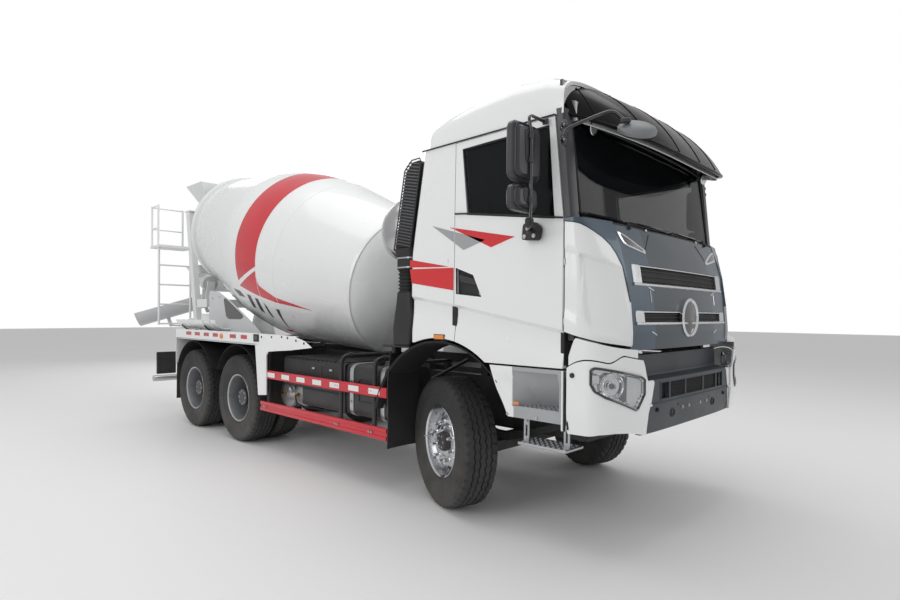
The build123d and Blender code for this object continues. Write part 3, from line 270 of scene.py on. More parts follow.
def glass_finish(name, colour, rough, alpha):
    """Tinted glass: partly see-through, with a weak mirror so that the cab behind it stays dark."""
    material = finish(name, colour, rough, coat=0.15, shade=0.8, gleam=0.2)
    shader = material.node_tree.nodes["Principled BSDF"]
    shader.inputs["Alpha"].default_value = alpha
    return material


finish("white_paint", (0.86, 0.865, 0.87), (0.2, 0.28), coat=0.6, shade=0.985, dust=0.12, dust_top=1.2)
finish("drum_paint", (0.82, 0.83, 0.83), (0.24, 0.34), coat=0.5, shade=0.97, mottle_scale=1.2)
finish("drum_red", (0.62, 0.015, 0.03), (0.22, 0.32), coat=0.6, shade=0.9)
finish("stripe_red", (0.66, 0.015, 0.02), (0.22, 0.3), coat=0.5, shade=0.95)
finish("stripe_white", (0.86, 0.86, 0.86), (0.25, 0.32), coat=0.4, shade=0.98)
finish("stripe_grey", (0.36, 0.37, 0.38), (0.25, 0.32), coat=0.4, shade=0.95)
finish("stripe_black", (0.015, 0.016, 0.018), (0.25, 0.35), coat=0.4)
finish(
    "lid_paint", (0.06, 0.092, 0.128), (0.28, 0.38), metal=0.4, coat=0.5, shade=0.88, grain=0.05,
    grain_scale=900)
finish(
    "lid_centre", (0.036, 0.052, 0.066), (0.28, 0.38), metal=0.35, coat=0.5, shade=0.88, grain=0.05,
    grain_scale=900)
finish("fairing_grey", (0.4, 0.41, 0.42), (0.35, 0.45), coat=0.2, shade=0.92, dust=0.2)
finish("mirror_bowl", (0.19, 0.2, 0.21), (0.4, 0.5), shade=0.9, grain=0.1, grain_scale=400)
finish("visor_gloss", (0.008, 0.007, 0.008), (0.14, 0.22), coat=0.06, shade=0.9, gleam=0.12)
finish("bumper_plastic", (0.036, 0.044, 0.054), (0.38, 0.5), shade=0.85, dust=0.15, grain=0.12, grain_scale=450)
finish("gloss_black", (0.008, 0.008, 0.01), (0.08, 0.15), coat=1.0)
finish("black_plastic", (0.018, 0.018, 0.02), (0.42, 0.58), shade=0.8, dust=0.2, grain=0.15, grain_scale=500)
finish("black_liner_and_shade", (0.01, 0.01, 0.011), (0.65, 0.8), shade=0.8, dust=0.25)
finish("mirror_shell", (0.045, 0.045, 0.052), (0.3, 0.42), shade=0.85, grain=0.08, grain_scale=600)
finish("seal_rubber", (0.008, 0.008, 0.009), (0.5, 0.65), shade=0.8)
finish(
    "tyre_rubber", (0.014, 0.014, 0.015), (0.55, 0.75), shade=0.75, dust=0.3, dust_top=1.1, grain=0.2,
    grain_scale=260)
finish("chassis_black", (0.016, 0.017, 0.019), (0.38, 0.55), shade=0.8, dust=0.3)
finish("cast_black", (0.022, 0.022, 0.024), (0.55, 0.7), shade=0.7, dust=0.35, grain=0.35, grain_scale=160)
finish("mixer_grey", (0.6, 0.61, 0.62), (0.35, 0.48), coat=0.2, shade=0.94, dust=0.15, dust_top=1.6)
finish("guard_red", (0.62, 0.012, 0.03), (0.3, 0.42), coat=0.35, shade=0.9, dust=0.1, dust_top=0.9)
finish("plate_white", (0.8, 0.8, 0.79), (0.3, 0.4), shade=0.95)
finish("bright_alloy", (0.72, 0.73, 0.75), (0.16, 0.3), metal=1.0, shade=0.9, mottle_scale=9)
finish("rim_silver", (0.46, 0.47, 0.49), (0.34, 0.48), metal=0.7, shade=0.85, dust=0.15, dust_top=1.0)
finish("dish_dark", (0.1, 0.1, 0.105), (0.45, 0.6), metal=0.4, shade=0.8, dust=0.3, dust_top=1.0)
finish("chrome", (0.8, 0.81, 0.83), (0.05, 0.12), metal=1.0, shade=0.95)
finish("satin_silver", (0.55, 0.56, 0.58), (0.28, 0.38), metal=0.9, shade=0.93)
finish("polished_steel", (0.55, 0.55, 0.56), (0.18, 0.3), metal=1.0, shade=0.86, mottle_scale=5)
finish("brushed_steel", (0.42, 0.42, 0.43), (0.3, 0.45), metal=1.0, shade=0.85, mottle_scale=8)
finish("step_alloy", (0.52, 0.53, 0.55), (0.35, 0.5), metal=0.9, shade=0.85, dust=0.2, dust_top=1.1)
finish("brass", (0.55, 0.4, 0.16), (0.25, 0.35), metal=1.0, shade=0.85)
finish("amber_lens", (0.85, 0.25, 0.03), (0.12, 0.2), coat=1.0, shade=0.8, glow=0.05)
finish("red_lens", (0.55, 0.01, 0.01), (0.12, 0.2), coat=1.0, shade=0.8)
finish("lamp_white", (0.75, 0.76, 0.78), (0.1, 0.2), coat=1.0, shade=0.9)
finish("seat_cloth", (0.06, 0.06, 0.07), (0.75, 0.9), shade=0.75, grain=0.6, grain_scale=420)
finish("dash_plastic", (0.035, 0.035, 0.038), (0.5, 0.65), shade=0.85, grain=0.2, grain_scale=500)
finish("cab_lining", (0.1, 0.1, 0.105), (0.7, 0.85), shade=0.85, grain=0.2, grain_scale=350)
finish("lamp_mirror", (0.85, 0.86, 0.88), (0.04, 0.1), metal=1.0, shade=0.93, mottle_scale=20)
glass_finish("cab_glass", (0.01, 0.012, 0.014), (0.03, 0.06), 0.5)
glass_finish("lens_glass", (0.75, 0.78, 0.8), (0.03, 0.06), 0.12)
finish("floor_white", (0.86, 0.86, 0.86), (0.5, 0.6), shade=0.99, mottle_scale=0.5)
print(len(MATERIALS), "finishes")

# %% Floor
FLOOR_REACH = 60
floor_mesh = bpy.data.meshes.new("floor")
floor_mesh.from_pydata(
    [(-FLOOR_REACH, -FLOOR_REACH, 0), (FLOOR_REACH, -FLOOR_REACH, 0), (FLOOR_REACH, FLOOR_REACH, 0),
    (-FLOOR_REACH, FLOOR_REACH, 0)], [], [(0, 1, 2, 3)])
floor_mesh.materials.append(MATERIALS["floor_white"])
floor = bpy.data.objects.new("floor", floor_mesh)
bpy.context.scene.collection.objects.link(floor)

# %% [markdown]
# ## A maker for pieces
# Every piece below is a handful of closed forms: sheets with thickness, turned rings, bent tubes, plates
# and bolts. One small class collects such forms in a mesh, remembers each form's finish, and at the end
# ties the piece to its CAD body. Writing the forms as numbers keeps them exactly where the frame is.

# %% Places and curves
ACROSS, UP, AHEAD = Vector((0, 1, 0)), Vector((0, 0, 1)), Vector((1, 0, 0))


def at(x, y, z):
    """A point whose x is counted from the front axle."""
    return Vector((FRONT_AXLE_X + x, y, z))


def ahead(outline):
    """A flat outline whose first number is counted from the front axle."""
    return [(FRONT_AXLE_X + x, across) for x, across in outline]


def towards(x, y, z):
    """A direction that is the same all over a sheet, as skin() asks for it."""
    return lambda point: Vector((x, y, z))


def table(keys, values):
    """A function that reads a smooth-ish curve from a few numbers."""
    return lambda key: float(np.interp(key, keys, values))


def smooth_step(low, high, value):
    """0 below low, 1 above high, and an S curve between."""
    t = min(1.0, max(0.0, (value - low) / (high - low)))
    return t * t * (3 - 2 * t)


def square_to(direction):
    """Two unit vectors square to a direction and to each other."""
    direction = direction.normalized()
    helper = UP if abs(direction.z) < 0.9 else AHEAD
    first = direction.cross(helper).normalized()
    return first, direction.cross(first).normalized()


def rounded_route(points, bend, steps=5):
    """The points of a bent tube: straight runs with an arc at each corner."""
    points = [Vector(p) for p in points]
    route = [points[0]]
    for before, corner, after in zip(points, points[1:], points[2:]):
        reach = min(bend, (before - corner).length * 0.49, (after - corner).length * 0.49)
        start = corner + (before - corner).normalized() * reach
        end = corner + (after - corner).normalized() * reach
        for step in range(steps + 1):
            t = step / steps
            route.append(start * (1 - t) ** 2 + corner * (2 * t * (1 - t)) + end * t * t)
    route.append(points[-1])
    return route


def rounded_outline(outline, radius, steps=4):
    """A flat closed outline with its corners rounded."""
    result = []
    count = len(outline)
    for index, corner in enumerate(outline):
        corner = Vector(corner)
        before, after = Vector(outline[index - 1]), Vector(outline[(index + 1) % count])
        reach = min(radius, (before - corner).length * 0.45, (after - corner).length * 0.45)
        start = corner + (before - corner).normalized() * reach
        end = corner + (after - corner).normalized() * reach
        for step in range(steps + 1):
            t = step / steps
            result.append(start * (1 - t) ** 2 + corner * (2 * t * (1 - t)) + end * t * t)
    return result


# %% The maker class
class Maker:
    """Collects closed forms for one piece and ties the piece to a CAD body."""

    def __init__(self, name, body, slot, replaces=()):
        self.name, self.body, self.slot, self.replaces = name, body, slot, replaces
        self.mesh = bmesh.new()
        self.finishes = []

    def face(self, vertices, finish_name):
        """One face, given its finish; a face that would fold onto itself is left out."""
        if finish_name not in self.finishes:
            self.finishes.append(finish_name)
        corners = []
        for vertex in vertices:
            if vertex not in corners:
                corners.append(vertex)
        if len(corners) < 3:
            return
        try:
            new = self.mesh.faces.new(corners)
        except ValueError:
            return
        new.material_index = self.finishes.index(finish_name)
        new.smooth = True

    def loft(self, rings, finish_name, caps=True, closed=False):
        """A skin over rings of equal count; closed joins the last ring to the first."""
        made = [[self.mesh.verts.new(p) for p in ring] for ring in rings]
        pairs = list(zip(made, made[1:]))
        if closed:
            pairs.append((made[-1], made[0]))
        for first, second in pairs:
            for i in range(len(first)):
                j = (i + 1) % len(first)
                self.face((first[i], first[j], second[j], second[i]), finish_name)
        if caps and not closed:
            self.face(list(reversed(made[0])), finish_name)
            self.face(made[-1], finish_name)

    def prism(self, outline, direction, low, high, finish_name, corner=0.0, edge=0.0):
        """A flat outline, thick along 'x', 'y' or 'z'; edge is a small chamfer all round its ends."""
        low, high = min(low, high), max(low, high)
        if corner:
            outline = rounded_outline(outline, corner)
        flat = [Vector(p) for p in outline]
        middle = sum(flat, Vector((0, 0))) / len(flat)

        def ring(height, inset):
            points = []
            for p in flat:
                away = p - middle
                q = middle + away * max(0.0, 1 - inset / max(away.length, 1e-6))
                points.append(
                    {"x": (height, q[0], q[1]), "y": (q[0], height, q[1]),
                    "z": (q[0], q[1], height)}[direction])
            return points

        if edge:
            rings = [ring(low, edge), ring(low + edge, 0), ring(high - edge, 0), ring(high, edge)]
        else:
            rings = [ring(low, 0), ring(high, 0)]
        self.loft(rings, finish_name)

    def block(self, low, high, finish_name, edge=0.004):
        """A box between two corners with chamfered edges."""
        low, high = Vector(low), Vector(high)
        for i in range(3):
            if low[i] > high[i]:
                low[i], high[i] = high[i], low[i]
        edge = min(edge, min(high - low) * 0.4)
        x0, y0, x1, y1 = low.x, low.y, high.x, high.y
        cut = edge
        outline = [
            (x0 + cut, y0), (x1 - cut, y0), (x1, y0 + cut), (x1, y1 - cut), (x1 - cut, y1), (x0 + cut, y1),
            (x0, y1 - cut), (x0, y0 + cut)]

        def ring(z, inset):
            return [
                (min(max(x, x0 + inset), x1 - inset), min(max(y, y0 + inset), y1 - inset), z) for x,
                y in outline]
        self.loft(
            [ring(low.z, cut), ring(low.z + cut, 0), ring(high.z - cut, 0), ring(high.z, cut)], finish_name)

    def slab(self, centre, x_axis, y_axis, size, finish_name, edge=0.003):
        """A box of a size about a centre, turned to two directions."""
        x_axis, y_axis = Vector(x_axis).normalized(), Vector(y_axis).normalized()
        z_axis = x_axis.cross(y_axis)
        start = len(self.mesh.verts)
        half = [s / 2 for s in size]
        self.block([-h for h in half], half, finish_name, edge)
        self.mesh.verts.ensure_lookup_table()
        for vertex in self.mesh.verts[start:]:
            x, y, z = vertex.co
            vertex.co = centre + x_axis * x + y_axis * y + z_axis * z

    def tube(self, points, radius, finish_name, bend=0.0, sides=12, flat=1.0):
        """A round bar along points, its corners bent; flat squeezes it across."""
        route = rounded_route(points, bend) if bend else [Vector(p) for p in points]
        rings = []
        first = None
        for index, place in enumerate(route):
            before = route[max(index - 1, 0)]
            after = route[min(index + 1, len(route) - 1)]
            run = (after - before).normalized()
            if first is None:
                first, second = square_to(run)
            else:
                first = (first - run * first.dot(run)).normalized()
                second = run.cross(first)
            size = radius(index / (len(route) - 1)) if callable(radius) else radius
            rings.append([place + first * (size * math.cos(2 * math.pi * k / sides))
                          + second * (size * flat * math.sin(2 * math.pi * k / sides)) for k in range(sides)])
        self.loft(rings, finish_name)

    def lathe(self, profile, origin, direction, finish_name, sides=48, closed=False, paint=None):
        """A turned form: (along, radius) points about a direction. paint(i) may give another finish."""
        origin, direction = Vector(origin), Vector(direction).normalized()
        first, second = square_to(direction)
        rings = []
        for along, radius in profile:
            middle = origin + direction * along
            if radius < 1e-6:
                rings.append([self.mesh.verts.new(middle)] * sides)
            else:
                rings.append([self.mesh.verts.new(
                    middle + (first * math.cos(2 * math.pi * k / sides)
                              + second * math.sin(2 * math.pi * k / sides)) * radius) for k in range(sides)])
        pairs = list(zip(rings, rings[1:]))
        if closed:
            pairs.append((rings[-1], rings[0]))
        for index, (one, two) in enumerate(pairs):
            for k in range(sides):
                n = (k + 1) % sides
                self.face((one[k], one[n], two[n], two[k]), paint(index) if paint else finish_name)
        if not closed:
            for ring in (rings[0], rings[-1]):
                if len(set(ring)) > 2:
                    self.face(ring, finish_name)

    def skin(self, rows, thickness, finish_name, inward, hole=None, paint=None, lining=None):
        """A closed sheet: rows of points, thick along inward(point); hole(i, j) leaves cells open."""
        tall, wide = len(rows), len(rows[0])
        outer = [[self.mesh.verts.new(p) for p in row] for row in rows]
        inner = [[self.mesh.verts.new(Vector(p) + inward(Vector(p)) * thickness) for p in row] for row in rows]

        def there(i, j):
            return 0 <= i < tall - 1 and 0 <= j < wide - 1 and not (hole and hole(i, j))

        for i in range(tall - 1):
            for j in range(wide - 1):
                if not there(i, j):
                    continue
                name = (paint and paint(i, j)) or finish_name
                self.face((outer[i][j], outer[i][j + 1], outer[i + 1][j + 1], outer[i + 1][j]), name)
                self.face((inner[i][j], inner[i + 1][j], inner[i + 1][j + 1], inner[i][j + 1]), lining or name)
                for (di, dj), (a, b) in (
                        ((-1, 0), ((i, j), (i, j + 1))), ((1, 0), ((i + 1, j), (i + 1, j + 1))),
                        ((0, -1), ((i, j), (i + 1, j))), ((0, 1), ((i, j + 1), (i + 1, j + 1)))):
                    if not there(i + di, j + dj):
                        self.face(
                            (outer[a[0]][a[1]], outer[b[0]][b[1]], inner[b[0]][b[1]], inner[a[0]][a[1]]), name)

    def bolt(self, place, direction, size=0.012, finish_name="brushed_steel", sides=6, height=0.6):
        """A bolt head on a washer."""
        place, direction = Vector(place), Vector(direction).normalized()
        self.lathe([(0, size * 1.5), (size * 0.2, size * 1.5)], place, direction, finish_name, sides=12)
        self.lathe(
            [(size * 0.2, size), (size * (height + 0.1), size), (size * (height + 0.2), size * 0.8)], place,
            direction, finish_name, sides=sides)

    def done(self, sharp=38.0, bevel=0.0):
        """Turns the forms into one object, sorts its normals and ties it to the frame."""
        bmesh.ops.recalc_face_normals(self.mesh, faces=self.mesh.faces)
        data = bpy.data.meshes.new(self.name)
        self.mesh.to_mesh(data)
        self.mesh.free()
        for finish_name in self.finishes:
            data.materials.append(MATERIALS[finish_name])
        piece = bpy.data.objects.new(self.name, data)
        bpy.context.scene.collection.objects.link(piece)
        data.set_sharp_from_angle(angle=math.radians(sharp))
        if bevel:
            modifier = piece.modifiers.new("softened_edges", "BEVEL")
            modifier.width, modifier.segments, modifier.limit_method = bevel, 2, "ANGLE"
            modifier.angle_limit = math.radians(40)
        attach(piece, self.body)
        if self.replaces:
            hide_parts(*self.replaces)
        low, high = Vector(piece.bound_box[0]), Vector(piece.bound_box[6])
        print(f"{self.name}: {len(data.polygons)} faces, {[round(v, 2) for v in high - low]} m")
        return piece


SIDES = ((-1, "right"), (1, "left"))

# %% [markdown]
# ## The drum
# The drum is a rolled steel shell: a dished head, a front cone, a short barrel and a long rear cone with
# the track ring that its rollers carry. It could be kept from CAD, but its long glossy curve shows every
# facet, so it is turned again about the same tilted axis with fine steps and softly rounded joins.

# %% Drum shell
DRUM_TILT = math.radians(14)
DRUM_AXIS = Vector((-math.cos(DRUM_TILT), 0, math.sin(DRUM_TILT)))
DRUM_UP = Vector((math.sin(DRUM_TILT), 0, math.cos(DRUM_TILT)))
DRUM_SEAM = at(-1.8, 0, 1.93)
DRUM_STATIONS = [0, 1.6, 1.9, 2.15, 2.45, 4.08, 4.28, 5.0]
DRUM_RADII = [0.82, 1.12, 1.148, 1.152, 1.146, 0.88, 0.86, 0.58]


def drum_radius(station):
    """Radius of the shell, its joins rounded over a short length."""
    return sum(
        float(np.interp(station + shift, DRUM_STATIONS, DRUM_RADII))
        for shift in (-0.1, -0.05, 0, 0.05, 0.1)) / 5


def on_drum(station, angle, lift=0.0):
    """A point on the shell; angle is in degrees from straight below, towards the left side."""
    turn = math.radians(angle)
    radius = drum_radius(station) + lift
    return (DRUM_SEAM + DRUM_AXIS * station - DRUM_UP * (radius * math.cos(turn))
            + ACROSS * (radius * math.sin(turn)))


dish_depth = 0.3
dish_radius = (0.82 ** 2 + dish_depth ** 2) / (2 * dish_depth)
head_profile = []
for step in range(13):
    radius = 0.15 + (0.8 - 0.15) * step / 12
    head_profile.append((dish_radius - dish_depth - math.sqrt(dish_radius ** 2 - radius ** 2), radius))
shell_profile = [(0.002, 0.8145), (0.01, 0.8215)]
shell_profile += [(s, drum_radius(s)) for s in np.linspace(0.06, 4.1, 66)]
ring_profile = [(4.13, 0.872), (4.135, 0.915), (4.145, 0.917), (4.215, 0.917), (4.225, 0.915), (4.23, 0.868)]
tail_profile = [(s, drum_radius(s)) for s in np.linspace(4.26, 4.9, 9)] + [(4.985, 0.592), (5.0, 0.586)]
inside_profile = [(5.0, 0.572), (4.3, 0.845), (2.5, 1.13), (1.6, 1.11), (0.02, 0.8)]
drum = Maker("drum_shell", "drum", "drum_white", ["drum_front", "drum_barrel", "drum_rear"])
outline = head_profile + shell_profile + ring_profile + tail_profile
inner_head = [
    (dish_radius - dish_depth + 0.01 - math.sqrt(dish_radius ** 2 - r * r), r)
    for r in (0.78, 0.6, 0.4, 0.2, 0.0)]
drum.lathe(
    [(head_profile[0][0], 0.0)] + outline + inside_profile + inner_head, DRUM_SEAM, DRUM_AXIS, "drum_paint",
    sides=192)
drum.lathe(
    [(-0.48, 0.0), (-0.48, 0.06), (-0.375, 0.06), (-0.37, 0.145), (-0.35, 0.15), (-0.28, 0.15), (-0.27, 0.0)],
    DRUM_SEAM, DRUM_AXIS, "brushed_steel", sides=48)
for station in (0.0, 1.27, 1.6, 2.45, 4.0):
    radius = drum_radius(station)
    drum.lathe(
        [(station - 0.006, radius - 0.002), (station - 0.003, radius + 0.0022),
        (station + 0.003, radius + 0.0022), (station + 0.006, radius - 0.002)], DRUM_SEAM, DRUM_AXIS,
        "drum_paint", sides=192, closed=True)
for k in range(36):
    turn = math.radians(10 * k)
    place = DRUM_SEAM + DRUM_AXIS * 4.238 - DRUM_UP * (
        0.885 * math.cos(turn)) + ACROSS * (0.885 * math.sin(turn))
    drum.bolt(place, DRUM_AXIS, 0.011)
drum.done(sharp=30)

# %% [markdown]
# Two hatches and a few welded lengthwise seams break the plain shell. They are thin closed plates bent to
# the shell's curve, which is how the real ones are made.


# %% Plates bent to the drum
def drum_plate(maker, corners, finish_name, lift=0.0014, depth=0.003):
    """A bent plate between (station, angle) corners given in order round its edge."""
    (s0, a0), (s1, a1), (s2, a2), (s3, a3) = corners
    tall = max(2, math.ceil(max(abs(a3 - a0), abs(a2 - a1)) / 1.8), math.ceil(abs(s3 - s0) / 0.05))
    wide = max(2, math.ceil(max(abs(a1 - a0), abs(a2 - a3)) / 1.8), math.ceil(abs(s1 - s0) / 0.05))
    rows = []
    for i in range(tall + 1):
        t = i / tall
        row = []
        for j in range(wide + 1):
            u = j / wide
            station = (s0 * (1 - u) + s1 * u) * (1 - t) + (s3 * (1 - u) + s2 * u) * t
            angle = (a0 * (1 - u) + a1 * u) * (1 - t) + (a3 * (1 - u) + a2 * u) * t
            row.append(on_drum(station, angle, lift))
        rows.append(row)

    def inward(point):
        away = point - DRUM_SEAM
        return (DRUM_AXIS * away.dot(DRUM_AXIS) - away).normalized()
    maker.skin(rows, depth, finish_name, inward)


fittings = Maker("drum_fittings", "drum", "drum_white")
for start in (-73, 47, 167):
    drum_plate(
        fittings, [(0.08, start), (1.29, start), (1.29, start + 0.35), (0.08, start + 0.35)], "drum_paint",
        lift=0.002)
for middle in (140, 320):
    drum_plate(
        fittings, [(2.65, middle - 9), (3.15, middle - 9), (3.15, middle + 9), (2.65, middle + 9)],
        "drum_paint", lift=0.016, depth=0.02)
    for s in (2.7, 2.9, 3.1):
        for a in (middle - 8, middle + 8):
            place = on_drum(s, a, 0.016)
            fittings.bolt(place, place - (DRUM_SEAM + DRUM_AXIS * s), 0.012)
fittings.done(sharp=30)

# %% [markdown]
# ## Drum stripes
# The red band and its torn tail are film stuck on the shell. They could be painted by a texture, but a
# thin bent plate has a crisp edge at any distance and turns with the drum. Both sides carry a mirror pair.

# %% Red band and black dashes
stripes = Maker("drum_stripes", "drum", "red_paint")
for side, hand in SIDES:
    # Over the top, then down to the slanted end on each side.
    drum_plate(
        stripes, [(1.62, side * 180), (2.12, side * 180), (2.12, side * 100), (1.62, side * 100)], "drum_red")
    drum_plate(
        stripes, [(1.62, side * 100), (2.12, side * 100), (2.073, side * 69.2), (1.607, side * 82.9)],
        "drum_red")
    tail = [
        [(1.61, 80.2), (2.079, 65.6), (1.3, 60.7), (1.584, 71.1)],
        [(1.584, 71.1), (1.3, 60.7), (1.296, 62.6), (1.294, 64.8)]]
    for corners in tail:
        drum_plate(stripes, [(s, side * a) for s, a in corners], "drum_red")
    drum_plate(
        stripes, [(1.294, side * 64.8), (1.3, side * 60.7), (0.659, side * 60.7), (0.659, side * 60.9)],
        "drum_red")
    dashes = [
        [(2.366, 59.9), (2.151, 60.8), (2.058, 57.1), (2.257, 55.4)],
        [(1.949, 60.8), (1.855, 60.6), (1.874, 50.7), (1.96, 49.9)],
        [(1.763, 60), (1.686, 59.9), (1.706, 48), (1.78, 49.3)],
        [(1.588, 58.1), (1.554, 55.4), (1.55, 45.3), (1.6, 46.5)],
        [(1.379, 55), (1.315, 54.9), (1.39, 39), (1.421, 35.2)]]
    for corners in dashes:
        drum_plate(stripes, [(s, side * a) for s, a in corners], "stripe_black")
    drum_plate(
        stripes, [(1.723, side * 29.1), (1.461, side * 33.7), (1.371, side * 32.2), (1.682, side * 26.1)],
        "drum_red")
stripes.done(sharp=30)

# %% [markdown]
# ## The cab's outer surface
# A truck cab is a stamped shell whose sides share one long crease that runs forward and down, with a
# shallow undercut below it. Each panel is a grid of points laid over its outline, pushed inwards by one
# shared function, so the crease lines up from the rear panel across the door without being drawn twice.

# %% The side surface of the cab
CAB_HALF = 1.245
ROOF_SEAM = 2.963
ARCH_RADIUS = 0.875
DOOR_REAR, DOOR_FRONT = 0.195, 1.2
crease_height = table([-0.345, 0.182, 1.209], [1.768, 1.692, 1.511])
belt_height = table([-0.35, 0.326, 1.2], [2.45, 2.384, 2.256])


def side_depth(x, z):
    """How far the side is pushed in from its widest, which is the crease itself."""
    below = crease_height(x) - z
    undercut = 0.034 * smooth_step(0.0, 0.03, below) - 0.028 * smooth_step(0.08, 0.3, below)
    above = 0.004 * smooth_step(0.0, 0.5, -below) + 0.008 * smooth_step(2.3, 2.96, z)
    return undercut + above


def on_side(side, x, z, lift=0.0):
    """A point on the cab's side surface, at x from the front axle."""
    return at(x, side * (CAB_HALF - side_depth(x, z) + lift), z)


def arch_top(x):
    """Height of the wheel arch's edge over the tyre."""
    return WHEEL_Z + math.sqrt(max(ARCH_RADIUS ** 2 - x * x, 0.0))


def sideways(side):
    """The direction into the cab from one side."""
    return towards(0, -side, 0)


def refine(values, steps):
    """Each gap between neighbouring values cut into equal steps."""
    fine = []
    for (first, second), count in zip(zip(values, values[1:]), steps):
        fine += [first + (second - first) * k / count for k in range(count)]
    return fine + [values[-1]]


# %% [markdown]
# ## Doors
# A door is one stamped skin with a window hole and a recess for the handle. A grid whose lines run along
# the window's and the recess's edges keeps both crisp without cutting, and leaves the hole out. The lining
# faces the crew and is dark. The glass stays the CAD pane in its seal.

# %% Door panels
# Points along each line of the door, rear to front: (x, z) at the rear edge, the window's rear, the handle
# recess's front, the window's front and the front edge.
DOOR_LINES = [
    [(0.195, 1.772), (0.212, 1.77), (0.48, 1.742), (1.13, 1.66), (1.2, 1.65)],
    [(0.195, 1.978), (0.207, 1.975), (0.392, 1.912), (1.13, 1.8), (1.2, 1.79)],
    [(0.195, 2.4), (0.322, 2.378), (0.55, 2.345), (1.132, 2.26), (1.2, 2.25)],
    [(0.195, 2.896), (0.262, 2.898), (0.5, 2.902), (1.078, 2.906), (1.127, 2.906)],
    [(0.195, 2.953), (0.258, 2.953), (0.5, 2.953), (1.074, 2.953), (1.122, 2.953)],]
COLUMN_STEPS = [2, 10, 20, 3]


def door_line(corners):
    """A line of the door as many points."""
    xs = refine([c[0] for c in corners], COLUMN_STEPS)
    zs = refine([c[1] for c in corners], COLUMN_STEPS)
    return list(zip(xs, zs))


def door_rows():
    """All rows of the door grid, with the row number where the handle recess and window start."""
    first = door_line(DOOR_LINES[0])
    stations = [x for x, z in first]
    rows = []
    drops = [-0.9, -0.3, -0.2, -0.14, -0.08, -0.05, -0.03, -0.015, 0.0, 0.012]
    for drop in drops:
        row = []
        for x in stations:
            low = max(1.252, arch_top(x)) if abs(x) < 0.875 else 1.252
            z = max(low, crease_height(x) + drop) if drop > -0.9 else low
            row.append((x, z))
        rows.append(row)
    for row in range(len(drops)):
        for k, (x, z) in enumerate(rows[row]):
            low = rows[0][k][1]
            floor_z = low + 0.004 * row
            rows[row][k] = (x, max(z, floor_z))
    base = len(rows)
    lines = [door_line(corners) for corners in DOOR_LINES]
    rows.append(lines[0])
    for (one, two), count in zip(zip(lines, lines[1:]), (4, 5, 10, 2)):
        for k in range(1, count + 1):
            t = k / count
            rows.append([(a[0] * (1 - t) + b[0] * t, a[1] * (1 - t) + b[1] * t) for a, b in zip(one, two)])
    return rows, base


DOOR_GRID, RECESS_ROW = door_rows()
WINDOW_ROW = RECESS_ROW + 9
for side, hand in SIDES:
    door = Maker(f"{hand}_door_panel", f"{hand}_door", "white_paint", [f"{hand}_door"])
    points = [[on_side(side, x, z) for x, z in row] for row in DOOR_GRID]

    def opening(i, j):
        in_recess = RECESS_ROW <= i < RECESS_ROW + 4 and 2 <= j < 12
        in_window = WINDOW_ROW <= i < WINDOW_ROW + 10 and 2 <= j < 32
        return in_recess or in_window

    door.skin(points, 0.048, "white_paint", sideways(side), hole=opening, lining="cab_lining")
    # Handle recess: a black cup with its lever.
    recess = [DOOR_LINES[0][1], DOOR_LINES[0][2], DOOR_LINES[1][2], DOOR_LINES[1][1]]
    face = side * (CAB_HALF - 0.006)
    door.prism(ahead(recess), "y", face - side * 0.034, face - side * 0.028, "black_plastic")
    rim = ahead(recess)
    for (x0, z0), (x1, z1) in zip(rim, rim[1:] + rim[:1]):
        door.tube([(x0, face - side * 0.002, z0), (x1, face - side * 0.002, z1)], 0.006, "seal_rubber", sides=8)
    door.prism(
        ahead([(0.235, 1.925), (0.4, 1.885), (0.43, 1.83), (0.25, 1.865)]), "y", face - side * 0.02,
        face + side * 0.002, "gloss_black", corner=0.02, edge=0.004)
    door.lathe(
        [(0.0, 0.013), (0.004, 0.013), (0.005, 0.009)], at(0.44, face - side * 0.03, 1.77), (0, side, 0),
        "satin_silver", sides=16)
    # Window seal: an inner lip and the belt strip along the window's lower edge.
    window = [(0.262, 2.894), (0.325, 2.384), (1.129, 2.268), (1.078, 2.902)]
    loop = rounded_route([at(x, side * 1.221, z) for x, z in window + window[:1]], 0.035)
    door.tube(loop, 0.01, "seal_rubber", sides=8)
    belt = [on_side(side, x, belt_height(x) + 0.004, 0.003) for x in (0.198, 0.322, 0.7, 1.13, 1.198)]
    door.tube(belt, 0.011, "seal_rubber", sides=8, flat=0.6)
    # Door card, arm rest and inner grip.
    card_low, card_high = sorted((side * 1.15, side * 1.196))
    door.prism(
        ahead([(0.24, 1.46), (0.56, 1.32), (1.15, 1.32), (1.15, 2.2), (0.3, 2.33)]), "y", card_low, card_high,
        "cab_lining", corner=0.05, edge=0.006)
    door.block(at(0.45, side * 1.1, 1.86), at(0.95, side * 1.155, 1.92), "dash_plastic", edge=0.015)
    door.done(sharp=32)
print("door grid", len(DOOR_GRID), "rows of", len(DOOR_GRID[0]))

# %% [markdown]
# ## Rear shell of the cab
# The side panels behind the doors and the rear wall are one sheet that wraps the rear corners, so it is
# made as one skin that follows a U in plan. Its rear edge leans forward above the belt as the real cab's
# does, and its lower edge follows the wheel arch.

# %% Rear shell
rear_edge = table([1.3, 2.1, 2.894, 2.963], [-0.35, -0.35, -0.215, -0.203])
CORNER = 0.07


def wrap_columns():
    """The U in plan as (kind, share) columns: right side, right corner, wall, left corner, left side."""
    columns = [("side", -1, k / 10) for k in range(11)]
    columns += [("corner", -1, k / 6) for k in range(1, 6)]
    columns += [("wall", 0, k / 24) for k in range(25)]
    columns += [("corner", 1, k / 6) for k in range(5, 0, -1)]
    return columns + [("side", 1, k / 10) for k in range(10, -1, -1)]


